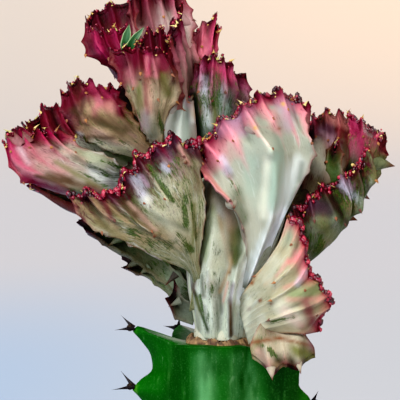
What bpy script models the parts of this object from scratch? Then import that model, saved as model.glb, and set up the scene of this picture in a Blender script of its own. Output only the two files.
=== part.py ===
"""Potted coral cactus: a crested spurge grafted on a thorny winged rootstock, in a plain clay pot.

Lengths in the tables are millimetres. The crest's tables count x and y from the pot's axis and z
from the graft, with y growing away from the front.
"""

import math
import random

import bpy
import bmesh
import numpy as np

MM = 0.001
SEED = 41
CREST_TRIANGLES = 11600
STEM_TRIANGLES = 2100

POT_TOP_RADIUS = 56.0
POT_FOOT_RADIUS = 38.0
POT_HEIGHT = 96.0
POT_RIM_HEIGHT = 20.0
POT_RIM_STEP = 3.0
POT_WALL = 5.0
POT_FLOOR = 7.0
DRAIN_RADIUS = 6.0

SOIL_DEPTH_BELOW_RIM = 12.0
SOIL_TOP = POT_HEIGHT - SOIL_DEPTH_BELOW_RIM
GAP = 0.3

GRAFT_HEIGHT = 168.0
STEM_AXIS_X = 4.0
STEM_FOOT = 30.0
STEM_HOLE_RADIUS = 12.3

FOOT_CENTRE = (5.0, -1.4)
FOOT_RADII = (6.8, 6.6)

# Each lobe lists its ribs, one row each. A row runs from the growing edge down to the root.
LOBES = {
    "front_fan": {
        "ribs": [
            [(-0.8, -15, 44), (3.8, -18, 38.8), (8.3, -20, 34.3), (11.6, -17, 26.8),
             (11, -13.6, 18), (8.5, -8, 9)],
            [(1.5, -15, 49), (5.5, -16, 43.8), (9.5, -17.5, 37.5), (13, -16.2, 28),
             (12, -13.3, 18.5), (9.2, -8, 9)],
            [(5.5, -14, 54.8), (9, -16, 48.8), (12.5, -17, 40), (15, -16, 29.5), (13, -13.4, 19),
             (10, -8, 9)],
            [(11, -12.5, 58.8), (14.5, -17.5, 52.5), (18, -20.5, 46.3), (18.3, -18.5, 33.8),
             (14.5, -15, 21), (11, -8, 9)],
            [(15.5, -10.5, 60.8), (18, -12.5, 54.5), (21, -13, 46.3), (20, -12.4, 33.8),
             (15.5, -11, 21), (12, -7, 9)],
            [(20.8, -9, 61.5), (22.5, -10.5, 55), (24.5, -11, 47.5), (22, -10.6, 35.5),
             (16.8, -9.5, 22), (12.6, -6, 10)],
            [(25, -6, 60), (26.5, -10, 51.3), (28, -13, 46.5), (23.3, -12, 36.3), (18, -9.5, 24),
             (13, -5, 11)],
        ],
        "thick": (10, 6), "valley": 1.2, "beads": True,
        "teeth": [((25.5, -9, 46.8), (28.6, -11.5, 46.2), 2.2),
                  ((12.6, -13, 52.6), (14.2, -18.4, 51.8), 1.8),
                  ((7.8, -17, 34.8), (8.5, -21.4, 33.8), 1.6), ((17.4, -16, 46.4), (18.3, -20.4, 45.4), 1.6)],
    },
    "left_fan": {
        "ribs": [
            [(-32, -17, 35.8), (-27.5, -19, 29.8), (-17.5, -19, 24.8), (-10, -15.5, 20.5),
             (-2.5, -9.5, 16.5), (1.5, -5, 9)],
            [(-27.5, -19, 36.3), (-23, -21.5, 32), (-13.3, -21, 27), (-7, -17, 22.3),
             (-2, -12, 17), (1.6, -6, 9)],
            [(-23, -20, 36.8), (-17.5, -22.5, 32.3), (-11, -22.5, 27.5), (-5, -17.5, 22.8),
             (-1.6, -12.5, 17), (1.8, -7, 9)],
            [(-18.3, -19, 40.8), (-14.5, -21, 36), (-8.8, -21.5, 29.5), (-3.8, -17.5, 24),
             (-1.2, -12.8, 17.3), (2, -7, 9)],
            [(-15, -18, 45.5), (-12, -20, 41.3), (-7, -20.5, 33.3), (-2.8, -17.5, 26),
             (-0.8, -13, 17.6), (2.2, -7, 9)],
            [(-10.5, -18, 48.3), (-7.5, -20.5, 43.8), (-4, -20, 36.3), (-1.5, -17.3, 27),
             (-0.4, -13, 18), (2.4, -7, 9)],
            [(-6, -17.5, 51), (-3.5, -20.5, 45.3), (-1.3, -19.5, 38.8), (-0.4, -16.8, 28.5),
             (0, -13, 18), (2.6, -7, 9)],
            [(0, -15, 48.3), (0, -17.5, 42.5), (1, -17.6, 32.5), (0.2, -15.5, 25),
             (0.3, -12.6, 18), (2.8, -7, 9)],
        ],
        "thick": (9, 6), "valley": 1.5, "beads": True,
        "teeth": [((-4, -18, 45.6), (-3.3, -22.4, 44.8), 1.6),
                  ((-10.6, -20, 27.8), (-11.4, -24.4, 26.8), 1.6)],
    },
    "left_hand": {
        "ribs": [
            [(-48.3, -9, 47.5), (-46.5, -11, 43), (-41, -11, 39), (-32.5, -9, 36),
             (-17.5, -4, 33.8), (-6, 0, 29)],
            [(-48, -7, 50.8), (-45.5, -12, 45), (-36.8, -14, 40.5), (-28.8, -12, 37),
             (-17.5, -5, 35.5), (-6, 0, 31)],
            [(-45, -5, 51.8), (-41.5, -9, 47), (-34.5, -11, 42.5), (-26.3, -9, 38.8),
             (-17.5, -5, 37.5), (-6, 0, 33)],
            [(-40.5, -4, 52.5), (-37, -8, 48), (-30, -10, 43.8), (-23.8, -8, 40.5),
             (-17, -4, 39.5), (-6, 0, 35)],
            [(-38, -3, 53), (-34, -8, 49), (-27.5, -10.5, 44.8), (-21.3, -8, 42),
             (-16.3, -4, 41.3), (-6, 0, 37)],
            [(-34.5, -1, 52), (-30, -7, 48.3), (-24.3, -9.5, 46.3), (-19.5, -7, 43.5),
             (-15.8, -3, 43), (-6, 0, 39)],
        ],
        "thick": (9, 5), "valley": 1.4, "beads": False,
        "teeth": [((-45, -6, 48.6), (-48.4, -6.6, 51.2), 1.8), ((-45, -6, 49), (-46.4, -6.6, 52.2), 1.6),
                  ((-43, -5, 49.4), (-44.4, -5.4, 52.4), 1.6)],
    },
    "small_cup": {
        "ribs": [
            [(-34.8, -4, 61), (-33.5, -6, 56), (-29.5, -7, 51.3), (-23, -6, 47.5), (-15, -2, 45),
             (-6, 1, 40)],
            [(-33, -4, 63.8), (-30.5, -8, 58.8), (-27, -10, 53.8), (-20.5, -8, 49.5),
             (-14.3, -3, 45.8), (-6, 1, 41)],
            [(-30.5, -3, 65.3), (-28, -7, 60.8), (-24.5, -9, 55), (-18.8, -8, 50.5),
             (-13.5, -3, 46.5), (-6, 1, 42)],
            [(-27, -2, 65), (-25, -6, 60.8), (-22, -8, 55.5), (-17.5, -7.5, 51.3),
             (-12.5, -3, 47), (-6, 1, 43)],
            [(-24, -1, 63.8), (-22, -5, 60), (-19.8, -7.5, 55.8), (-16, -7, 51.5),
             (-12, -3, 47.5), (-6, 1, 44)],
            [(-21.8, 1, 63), (-20, -3, 58.3), (-18.3, -5, 55), (-15, -5, 51.3), (-11.5, -2, 48),
             (-6, 1, 45)],
        ],
        "thick": (8, 5), "valley": 1.3, "beads": False,
    },
    "vase_front": {
        "ribs": [
            [(-22.3, -8, 71.3), (-19.8, -10, 65.5), (-17.3, -10, 58.8), (-14.5, -8, 52.5),
             (-11, -3, 47.5), (-5, 1, 38)],
            [(-19, -11, 72.3), (-17.3, -13, 66.3), (-15.5, -12.5, 58.8), (-13.5, -9, 52.5),
             (-10.5, -3, 47.5), (-5, 1, 38.5)],
            [(-15.5, -12, 72.8), (-14.5, -15, 65.8), (-13.5, -14, 58), (-12.3, -10, 52.5),
             (-10, -4, 47.5), (-4, 1, 39)],
            [(-11.8, -12, 72.3), (-10.8, -13, 66), (-10.8, -12.5, 58.8), (-10.8, -9, 52.5),
             (-9.5, -4, 47.5), (-4, 1, 39.5)],
            [(-8.8, -10, 71.8), (-7.5, -11, 65.5), (-8.5, -10, 59), (-9.3, -8, 53),
             (-9, -4, 47.5), (-3, 1, 40)],
            [(-7, -5, 70.5), (-6.4, -7, 64.8), (-6.8, -6, 60), (-8, -5, 54.5), (-8, -2, 48), (-3, 1, 40.5)],
        ],
        "thick": (8, 4.5), "valley": 1.3, "beads": False,
        "teeth": [((-8.6, -6, 65.4), (-5.4, -7.4, 64.6), 2.0), ((-15, -12, 66), (-14.7, -16.4, 65.2), 1.6)],
    },
    "vase_back": {
        "ribs": [
            [(-15.5, -2, 73.8), (-14.5, -3, 67.5), (-13, -4, 58.8), (-11, -2, 50)],
            [(-12.5, 0, 76.3), (-11.8, -1, 68.8), (-11, -2, 60), (-10, -1, 50)],
            [(-10, 0, 76.3), (-9.3, -1, 68.8), (-9.3, -2, 60), (-9.3, -1, 50)],
            [(-7.5, -2, 73.3), (-6.5, -3, 67), (-7.5, -3, 59.3), (-8.5, -1, 50)],
        ],
        "thick": (7, 4.5), "valley": 1.1, "beads": False,
    },
    "upper_bowl": {
        "ribs": [
            [(-29, 2, 77.3), (-28.5, 0, 73.5), (-26.3, -1, 70.8), (-22, 0, 67.5), (-15, 2, 62.5),
             (-8, 4, 52)],
            [(-27, -1, 77.5), (-25.8, -3, 74), (-23.3, -3, 71), (-19.5, -2, 67.5),
             (-13.8, 1, 62.5), (-7, 4, 52)],
            [(-24.3, -2, 77), (-23, -4, 74), (-20.8, -4, 71), (-17.5, -2, 67.5), (-13, 1, 62.5),
             (-6, 4, 52)],
            [(-21.3, -2, 77.5), (-20.3, -4, 74.5), (-18.5, -4, 71.5), (-15.8, -2, 68),
             (-12.5, 1, 62.5), (-5, 4, 53)],
            [(-18, -1, 78), (-17.5, -3, 74.5), (-16.3, -3, 71.5), (-14.3, -1, 68), (-12, 2, 62.5),
             (-4, 4, 54)],
        ],
        "thick": (7, 4.5), "valley": 1.2, "beads": False,
    },
    "upper_bowl_back": {
        "ribs": [
            [(-28.3, 5, 79.5), (-27, 4, 75), (-24, 4, 70.5), (-16.3, 5, 62.5), (-9, 5, 52)],
            [(-25.8, 7, 81.3), (-24.3, 6, 76), (-21.8, 6, 71), (-15, 6, 62.5), (-8, 6, 52)],
            [(-22.5, 9, 83), (-21.3, 8, 77), (-19.5, 7, 71.5), (-13.8, 7, 62.5), (-7, 6, 52)],
            [(-19, 10, 84.3), (-18.3, 9, 77.5), (-17, 8, 71.5), (-12.5, 8, 62.5), (-6, 6, 52)],
        ],
        "thick": (8, 5), "valley": 1.2, "beads": False,
    },
    "tall_fan": {
        "ribs": [
            [(-17.5, 10, 85.5), (-16.3, 8, 77.5), (-12.5, 7, 67.5), (-7.5, 6, 56.3), (-2.5, 4, 45)],
            [(-13.8, 11, 88), (-12.5, 9, 78.8), (-9.5, 8, 67.5), (-5.8, 7, 57), (-1.8, 4, 45)],
            [(-10, 12, 89), (-9, 9, 78.8), (-7, 7, 67.5), (-4.3, 6, 57), (-1, 4, 45)],
            [(-6.5, 13, 88), (-5.8, 10, 79.5), (-4.5, 8, 68), (-3, 6, 57), (-0.3, 4, 45)],
            [(-4, 15, 86), (-2.5, 13, 78.3), (-3, 11, 70), (-2.3, 8, 57.5), (0.5, 5, 45)],
        ],
        "thick": (11, 6), "valley": 1.8, "beads": False,
        "teeth": [((-4.6, 13, 79.4), (-0.8, 12.6, 78.6), 2.2), ((-5, 12, 74.6), (-2, 11, 74.2), 1.6)],
    },
    "pale_root": {
        "ribs": [
            [(-5.8, -2, 59.3), (-7.8, -4, 56.3), (-9, -5, 52), (-7.5, -6, 45), (-3, -6, 36)],
            [(-3.5, -1, 60.5), (-4.8, -4, 56), (-5.5, -5.5, 50), (-4.5, -6, 44), (-1.5, -6, 36)],
            [(-1.5, 2, 60), (-1.5, -2, 54), (-1, -4, 48), (-0.5, -5, 42), (1, -5, 36)],
        ],
        "thick": (9, 6), "valley": 0.9, "beads": False,
        "teeth": [((-7.6, -2.5, 57), (-5.4, -5.4, 59.6), 1.8)],
    },
    "centre_fan": {
        "ribs": [
            [(-1.8, 6, 67), (-2.5, 5, 62.5), (-2.3, 4, 57), (-0.8, 2, 50.5), (2, 0, 41.3)],
            [(0.3, 3, 70), (-0.3, 0, 63.8), (0, -1, 57.5), (1.3, -2, 50.5), (3, -2, 41.3)],
            [(3.3, 2, 71), (3.3, 0, 63.8), (3, -1, 57.5), (3.3, -3, 50.5), (4.3, -3, 41.3)],
            [(6.5, 2, 69.5), (6.3, -1, 62.5), (5.5, -2, 56.3), (5.5, -3, 50), (5.5, -3, 41.3)],
            [(9, 4, 68), (9, 2, 62.5), (8, 0, 56.3), (7.5, -2, 50), (6.8, -2, 41.3)],
            [(11.8, 8, 65), (11.5, 6, 60), (10.5, 4, 55), (9.5, 2, 48.8), (8, 0, 41.3)],
        ],
        "thick": (9, 5), "valley": 1.5, "beads": False,
    },
    "centre_back": {
        "ribs": [
            [(-2.5, 16, 76.5), (-2.3, 15, 71.3), (-1.3, 13, 63.8), (1.3, 8, 52.5), (2, 4, 38)],
            [(0.8, 17, 77.8), (0.3, 16, 72), (0.5, 13, 63.8), (2.5, 8, 52.5), (3, 4, 38)],
            [(4.3, 18, 80.3), (3, 17, 73.8), (2.5, 14, 65), (3.8, 8, 52.5), (4, 4, 38)],
            [(5, 18, 76), (4, 17, 72), (4.3, 14, 63.8), (5, 8, 52.5), (5, 4, 38)],
        ],
        "thick": (9, 5), "valley": 1.3, "beads": False,
    },
    "low_right_fan": {
        "ribs": [
            [(21.5, -15, 31), (19.5, -18, 25), (16.3, -17, 19.5), (12, -13, 13.8), (9.5, -8, 6.3)],
            [(24.3, -17, 29.5), (22, -20.5, 23.8), (17.5, -20, 18), (13, -15, 12.5), (10, -9, 5.5)],
            [(25.8, -19, 24.3), (23, -22, 19.5), (18.8, -21.5, 15.5), (13.8, -16, 10.5), (10.3, -9.5, 5)],
            [(26.5, -20, 19.5), (23.8, -23, 15.5), (19.3, -22, 12), (14.3, -16.5, 8.8), (10.5, -10, 4.5)],
            [(29, -20, 15.5), (25, -23.5, 13.3), (20, -22.5, 10), (14.8, -17, 7), (10.8, -10, 3.8)],
            [(31.5, -19, 12), (27, -23, 10), (21, -22.5, 7.8), (15.3, -17, 5.3), (11, -10, 3)],
            [(32.3, -18, 9), (27.5, -22, 7), (21.5, -22, 5.5), (15.5, -17, 3.8), (11, -10, 2.5)],
            [(29, -16, 2.8), (25, -20, 2.8), (20.5, -20, 2.8), (15.5, -16, 2.8), (11.5, -9, 2.5)],
        ],
        "thick": (5, 6), "valley": 1.3, "beads": True,
    },
    "hanging_lobe": {
        "ribs": [
            [(12.6, -21, -2), (12.4, -20.5, 0), (13.6, -18.5, 2.4), (15.5, -14, 4.9)],
            [(17.3, -22.5, -6.6), (16.6, -24, -3), (16.6, -22.5, 1), (17, -16, 4.9)],
            [(20.8, -23.5, -4.6), (20.5, -24.6, -2), (20, -23, 1.2), (19.5, -16, 4.9)],
            [(24.4, -22, -5.6), (24.2, -23.6, -2.6), (23.5, -22.5, 1.2), (22, -16, 4.9)],
            [(28.4, -18.5, -2.2), (28, -19.4, -0.4), (26.3, -18.5, 1.8), (24.3, -15, 4.7)],
        ],
        "thick": (5, 4), "valley": 0.9, "beads": False,
        "teeth": [((17.4, -22.4, -5.4), (17.8, -23.6, -8.4), 2.0),
                  ((24.2, -21.6, -4.2), (24.8, -22.4, -7), 1.6)],
    },
    "right_front": {
        "ribs": [
            [(23.5, -12, 31.5), (24.5, -12, 27.5), (25.5, -10, 23), (24, -6, 18.8), (20, -2, 15)],
            [(27.3, -12, 35), (28.5, -13, 29.5), (28.5, -11, 24.3), (26, -6, 19.5), (21, -2, 16)],
            [(30.5, -11, 37.8), (33.3, -14, 30.8), (31.5, -11, 24.5), (27.5, -6, 19.5), (22, -2, 16.5)],
            [(35, -10, 40), (37, -12, 33.8), (34.5, -10, 26.3), (29, -5, 20.5), (22.5, -1, 17)],
            [(39.3, -9, 42.5), (40, -10.5, 37), (36.6, -9.5, 29.5), (30.2, -5, 22.6), (23, -0.5, 17.5)],
            [(42.8, -8, 46), (43.5, -8, 41.3), (40.4, -6, 34.5), (33.5, -2, 25.5), (24.6, 1, 18)],
            [(45.2, -5, 49.5), (44.2, -3, 43.5), (39.6, 0, 36.5), (33, 2, 27.5), (26, 3, 18.5)],
        ],
        "thick": (9, 6), "valley": 2.2, "beads": True,
        "teeth": [((43.5, -3, 44.5), (48.8, -3.6, 43.4), 2.6), ((38.6, 0, 37.5), (42.6, -1, 35), 2.4),
                  ((34.8, 1, 31.4), (39.6, 0.4, 29.6), 2.6), ((32.6, -11, 31.6), (33.4, -15.6, 30.2), 2.0)],
    },
    "right_curl": {
        "ribs": [
            [(37.5, 2, 55.5), (38, -1, 51.3), (37.5, -3, 46.3), (35.5, 0, 38.8)],
            [(41, 0, 54.8), (41, -4, 50.5), (40, -5, 45.5), (37, 0, 38)],
            [(44.5, -1, 52), (43.8, -5, 48.5), (42, -5, 43.8), (38.5, 0, 37)],
            [(46.5, 1, 48.3), (45, -2, 45), (43, -3, 41.3), (39.5, 0, 36)],
        ],
        "thick": (8, 5), "valley": 1.4, "beads": True,
    },
    "right_back": {
        "ribs": [
            [(26, 10, 53), (26.5, 8, 47.5), (26.5, 6, 40), (23.8, 4, 27.5)],
            [(28.8, 10, 55.3), (29.5, 7, 48.8), (29, 5, 40.5), (25, 4, 27.5)],
            [(32, 10, 56.3), (32.5, 7, 49.3), (31.5, 5, 40.5), (26.3, 4, 27.5)],
            [(35, 9, 56), (35.3, 6, 49.3), (34, 4, 40.5), (27.5, 4, 27.5)],
            [(37.5, 7, 55.3), (38, 4, 48.8), (36.5, 3, 40), (29, 4, 27.5)],
        ],
        "thick": (9, 5), "valley": 1.4, "beads": False,
    },
    "right_horn": {
        "ribs": [
            [(33.5, -4, 49.3), (31.5, -6, 45), (32.5, -7, 40.5), (33, -4, 34)],
            [(35, -3, 48.5), (35.3, -6, 44), (35, -7, 40), (34, -4, 34)],
        ],
        "thick": (5, 3), "valley": 0.6, "beads": False,
    },
    "left_wing": {
        "ribs": [
            [(-27, 12, 25.5), (-23, 13, 22.5), (-17.5, 12, 19.5), (-10, 8, 13.8), (-2.5, 3, 7.5)],
            [(-28.8, 14, 28.8), (-22.5, 16, 26), (-15, 15, 22.5), (-7.5, 9, 16.3), (-1.5, 4, 10)],
            [(-29, 16, 32.5), (-21.3, 18, 29.5), (-12.5, 16, 25), (-5.5, 10, 18.8), (-0.5, 4, 12.5)],
            [(-28, 18, 36), (-19.5, 20, 33), (-11, 17, 28), (-4, 10, 21.3), (0, 4, 15)],
        ],
        "thick": (8, 5), "valley": 1.5, "beads": False,
        "teeth": [((-23.5, 13, 27.2), (-27.6, 12.4, 25.4), 2.0),
                  ((-20, 13, 24.6), (-23.8, 12.4, 22.2), 2.0)],
    },
    "low_wing": {
        "ribs": [
            [(-18.5, 12, 16.5), (-13.8, 11, 14.8), (-8.8, 7, 11), (-1, 2, 5.5)],
            [(-18, 14, 19.5), (-13, 13, 18), (-8, 8, 14), (-1, 3, 8.5)],
            [(-16.5, 16, 22), (-12, 15, 21), (-7, 9, 17), (-0.5, 3, 11)],
        ],
        "thick": (7, 4), "valley": 1.0, "beads": False,
        "teeth": [((-16, 13, 18.4), (-19.4, 12.6, 16.4), 2.0), ((-13, 11.5, 17), (-15.8, 10.6, 14.8), 1.8)],
    },
    "neck_wing": {
        "ribs": [
            [(-7.5, 0, 8), (-5.5, 1, 4.8), (-1.5, 2, 3)],
            [(-6, 2, 13.5), (-4.5, 2, 10), (-1, 2, 8)],
        ],
        "thick": (5, 3), "valley": 0.4, "beads": False,
        "teeth": [((-5, 0.5, 9.4), (-8, 0, 7.8), 1.8), ((-6, 2, 16), (-8.8, 1.6, 13), 1.8)],
    },
    "under_hand": {
        "ribs": [
            [(-41.3, 4, 38), (-38, 4, 35.8), (-32.5, 4, 33), (-22.5, 2, 29.5), (-13, 0, 27), (-4, 0, 20)],
            [(-41.8, 6, 39.5), (-37.5, 7, 38), (-31.3, 6, 35), (-22, 4, 31), (-13, 1, 29), (-4, 1, 23)],
            [(-41, 8, 42.5), (-36, 9, 40.5), (-28.8, 8, 37.5), (-20.5, 5, 33), (-13, 2, 31), (-4, 2, 26)],
        ],
        "thick": (8, 5), "valley": 1.2, "beads": False,
    },
    "behind_hand": {
        "ribs": [
            [(-43.5, 10, 52.3), (-41.3, 9, 47.5), (-35, 8, 42.5), (-22.5, 5, 37.5), (-6, 3, 30)],
            [(-39.3, 12, 57), (-37, 11, 51.3), (-31.3, 10, 45.5), (-21.3, 6, 39.5), (-6, 3, 32)],
            [(-35.5, 13, 57.8), (-33, 12, 52.5), (-28, 11, 47), (-19.5, 6, 41.3), (-6, 3, 34)],
            [(-31.3, 14, 57), (-29, 13, 52.5), (-24.5, 11, 48), (-17.5, 6, 43), (-6, 3, 36)],
        ],
        "thick": (9, 5), "valley": 1.4, "beads": False,
    },
    "rear_fan": {
        "ribs": [
            [(-20, 25, 50), (-17, 25, 42), (-11, 19, 32), (-2, 8, 22)],
            [(-15, 29, 55), (-12, 28, 46), (-8, 20, 34), (-1, 8, 23)],
            [(-9, 31, 59), (-7, 28, 50), (-4, 20, 36), (1, 8, 24)],
            [(-3, 29, 59), (-2, 27, 50), (0, 20, 36), (3, 8, 24)],
            [(4, 30, 59), (4, 28, 49), (4, 21, 36), (4, 8, 24)],
            [(10, 28, 55), (9, 26, 46), (7, 20, 34), (6, 8, 23)],
            [(15, 24, 50), (13, 24, 42), (10, 18, 31), (7, 8, 22)],
        ],
        "thick": (9, 5), "valley": 1.9, "beads": True, "facing": (0, 1, 0.2),
    },
    "rear_right": {
        "ribs": [
            [(20, 24, 48), (18, 22, 41), (14, 15, 31), (9, 6, 21)],
            [(27, 21, 44), (24, 20, 37), (18, 14, 28), (10, 6, 19)],
            [(33, 17, 38), (29, 16, 32), (21, 11, 24), (11, 5, 17)],
            [(35, 12, 31), (30, 11, 26), (22, 8, 19), (11, 4, 15)],
        ],
        "thick": (9, 6), "valley": 1.6, "beads": True, "facing": (0.4, 1, 0),
    },
    "rear_low": {
        "ribs": [
            [(-12, 22, 25), (-10, 21, 19), (-5, 15, 12), (3, 5, 6)],
            [(-4, 25, 23), (-2, 23, 17), (0, 16, 10), (5, 5, 5)],
            [(6, 25, 22), (6, 23, 16), (6, 16, 9.5), (7, 5, 4.5)],
            [(16, 20, 23), (15, 19, 17), (11, 13, 11), (9, 5, 5)],
        ],
        "thick": (6, 6), "valley": 1.4, "beads": True, "facing": (0, 1, 0),
    },
    "top_bridge": {
        "ribs": [
            [(-6.5, -3, 73.5), (-5.5, -3, 67), (-6, -3, 58), (-4, 0, 46)],
            [(-4.5, 2, 76), (-4, 1, 68), (-4, 1, 58), (-2, 1, 46)],
            [(-4, 8, 79), (-3, 6, 70), (-3, 5, 58), (-1, 3, 46)],
            [(-4, 14, 82), (-3, 11, 72), (-2, 8, 58), (0, 4, 46)],
        ],
        "thick": (8, 4), "valley": 1.4, "beads": False, "facing": (1, 0, 0),
    },
    "right_bridge": {
        "ribs": [
            [(46.5, 1, 48.5), (44.5, 0, 44), (41, 0, 37), (33, 2, 25)],
            [(47, 6, 49.5), (44.5, 5, 44), (40, 4, 36), (32, 4, 25)],
            [(44, 11, 51), (42, 9, 45), (37, 7, 36), (30, 5, 24)],
            [(39, 13, 53), (37, 11, 47), (33, 9, 37), (28, 6, 24)],
        ],
        "thick": (8, 4.5), "valley": 1.5, "beads": False, "facing": (1, 0.4, 0),
    },
    "left_bridge": {
        "ribs": [
            [(-47.5, -6, 50), (-44, -7, 44), (-36, -5, 39), (-20, -2, 32)],
            [(-49, 0, 50), (-45, -1, 45), (-36, 0, 39), (-20, 0, 32)],
            [(-47.5, 6, 50.5), (-44, 5, 46), (-36, 4, 39), (-20, 2, 32)],
            [(-44.5, 11, 52), (-41, 9, 47), (-34, 7, 40), (-20, 4, 33)],
        ],
        "thick": (8, 4.5), "valley": 1.5, "beads": False, "facing": (-1, 0.2, 0),
    },
    "centre_bridge": {
        "ribs": [
            [(25.5, -5, 59), (25, -6, 52), (23, -6, 42), (16, -4, 28)],
            [(28, 0, 57.5), (26.5, -1, 51), (23.5, -2, 42), (16, -2, 28)],
            [(28.5, 6, 56), (27, 4, 50), (24, 2, 41), (16, 0, 28)],
            [(27, 11, 54), (26, 9, 48), (23, 6, 40), (16, 3, 28)],
        ],
        "thick": (8, 4.5), "valley": 1.4, "beads": False, "facing": (1, 0, 0.2),
    },
    "left_rear": {
        "ribs": [
            [(-31, 14, 56), (-26, 12, 48), (-18, 9, 38), (-5, 5, 24)],
            [(-28, 19, 55), (-23, 17, 46), (-15, 12, 36), (-4, 6, 24)],
            [(-23, 25, 51), (-19, 22, 44), (-12, 14, 34), (-3, 7, 24)],
        ],
        "thick": (8, 5), "valley": 1.6, "beads": False, "facing": (-0.7, 0.7, 0),
    },
    "inner_fan": {
        "ribs": [
            [(-38, 5, 43), (-30, 5, 39), (-18, 4, 31), (-6, 2, 20), (2, 0, 10)],
            [(-28, 5, 54), (-22, 5, 48), (-12, 4, 37), (-4, 2, 23), (3, 0, 10)],
            [(-14, 5, 68), (-11, 4, 59), (-7, 4, 44), (-1, 2, 26), (5, 0, 10)],
            [(0, 7, 63), (-1, 5, 54), (1, 4, 42), (4, 2, 28), (7, 0, 10)],
            [(16, 7, 54), (13, 6, 47), (10, 4, 37), (9, 2, 24), (9, 0, 10)],
            [(34, 5, 40), (28, 4, 34), (20, 3, 27), (14, 1, 18), (11, 0, 10)],
        ],
        "thick": (11, 7), "valley": 1.0, "beads": False,
    },
    "neck_folds": {
        "ribs": [
            [(-2, -6, 38), (-1.2, -8, 31.6), (-1.9, -8.4, 22.8), (-2.4, -7.8, 16.6),
             (-2, -6.4, 10.3), (-0.6, -4.4, 2)],
            [(1, -9, 40), (0.7, -11, 33), (-0.5, -11.2, 20), (-1.2, -10.4, 14.2), (-0.6, -8.8, 8),
             (0.8, -6.4, 1.9)],
            [(4, -11, 42), (3.3, -14, 34.4), (2.9, -15.6, 24.6), (2.2, -15, 17),
             (2.8, -12.4, 9.4), (3.2, -8, 1.9)],
            [(9, -10, 42), (8, -12, 34), (8.6, -11, 25.4), (7, -11, 18.4), (5.7, -9.6, 10.5),
             (5.2, -7.4, 1.9)],
            [(14, -9, 40), (12.8, -12, 31.6), (11, -15, 23.2), (9.2, -16, 18.6),
             (7.9, -13.2, 10.6), (7, -8.2, 1.9)],
            [(18, -7, 36), (16.8, -10, 26.6), (13, -11.2, 20), (10.4, -11, 14.4), (9, -9.6, 9.2),
             (8.6, -6.8, 1.6)],
            [(22, -6, 34), (20.6, -8.6, 28.6), (16.8, -10, 19.8), (13.8, -10.6, 14),
             (11.6, -9, 8), (10.6, -5, 1.4)],
        ],
        "thick": (8, 8), "valley": 0.15, "beads": False, "own_roots": True,
    },
    "trunk": {
        "ribs": [
            [(-2.5, -1, 38), (-4.6, -2, 26), (-3.6, -2, 18), (-2.6, -2, 10), (-1, -1.8, 1.5)],
            [(0.5, -5, 40), (-0.6, -7.5, 27), (-0.6, -7, 18), (-0.4, -5.6, 10), (0.6, -5, 1.5)],
            [(3.4, -7, 42), (3.2, -9, 27), (2.8, -8.8, 18), (2.4, -7.4, 10), (2.6, -6.8, 1.5)],
            [(7, -7, 42), (7.4, -9.6, 27), (7, -9.6, 17), (5.8, -8, 9), (5, -7.4, 1.5)],
            [(11.5, -7, 42), (11.5, -8.4, 27), (10.6, -9, 17), (8.6, -7.6, 9), (7.4, -6.8, 1.5)],
            [(18, -5, 40), (17, -7, 27), (14.6, -7.4, 17), (11.6, -6, 9), (9.8, -5, 1.5)],
            [(22, -1, 38), (20, -2, 26), (17.4, -2.5, 17), (14, -2.4, 9), (11.2, -1.8, 1.5)],
        ],
        "thick": (12, 18), "valley": 0.8, "beads": False, "own_roots": True,
    },
}

SMOOTH_LOBES = ("neck_folds", "trunk")

LEAVES = [
    [(-18.8, -6.5, 71.5), (-18.4, -8, 75), (-17.6, -8.5, 78.8)],
    [(-18, -7, 71.5), (-16.4, -8.6, 75), (-13.9, -9.2, 78.2)],
]


def clear_startup():
    """Removes the startup objects."""
    for thing in list(bpy.data.objects):
        bpy.data.objects.remove(thing, do_unlink=True)


def plain_material(name, colour, roughness):
    """One principled material."""
    material = bpy.data.materials.new(name)
    material.use_nodes = True
    shader = material.node_tree.nodes["Principled BSDF"]
    shader.inputs["Base Color"].default_value = (*colour, 1.0)
    shader.inputs["Roughness"].default_value = roughness
    material.diffuse_color = (*colour, 1.0)
    return material


def new_object(name, points, faces, material=None):
    """A mesh object from points in millimetres, with its faces turned outward."""
    mesh = bpy.data.meshes.new(name)
    mesh.from_pydata([tuple(float(c) * MM for c in point) for point in points], [], faces)
    work = bmesh.new()
    work.from_mesh(mesh)
    bmesh.ops.triangulate(work, faces=work.faces[:])
    bmesh.ops.recalc_face_normals(work, faces=work.faces[:])
    work.to_mesh(mesh)
    work.free()
    thing = bpy.data.objects.new(name, mesh)
    bpy.context.collection.objects.link(thing)
    if material:
        mesh.materials.append(material)
    return thing


def spline(points, t):
    """A smooth curve through the points, at fractions t of its way."""
    points = np.asarray(points, float)
    count = len(points)
    place = np.clip(np.asarray(t, float), 0, 1) * (count - 1)
    index = np.minimum(place.astype(int), count - 2)
    f = (place - index).reshape((-1,) + (1,) * (points.ndim - 1))
    p1 = points[index]
    p2 = points[index + 1]
    p0 = np.where((index > 0).reshape(f.shape), points[np.maximum(index - 1, 0)], 2 * p1 - p2)
    last = (index + 2 < count).reshape(f.shape)
    p3 = np.where(last, points[np.minimum(index + 2, count - 1)], 2 * p2 - p1)
    a = 2 * p1
    b = p2 - p0
    c = 2 * p0 - 5 * p1 + 4 * p2 - p3
    d = 3 * p1 - p0 - 3 * p2 + p3
    return 0.5 * (a + b * f + c * f * f + d * f * f * f)


def unit(vectors):
    """Vectors made one long."""
    size = np.linalg.norm(vectors, axis=-1, keepdims=True)
    return vectors / np.maximum(size, 1e-9)


def smoothed(grid, passes):
    """A grid of vectors, each blended with its neighbours."""
    for _ in range(passes):
        wide = np.pad(grid, ((1, 1), (1, 1), (0, 0)), mode="edge")
        grid = (4 * grid + wide[:-2, 1:-1] + wide[2:, 1:-1] + wide[1:-1, :-2] + wide[1:-1, 2:]) / 8
    return grid


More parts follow.
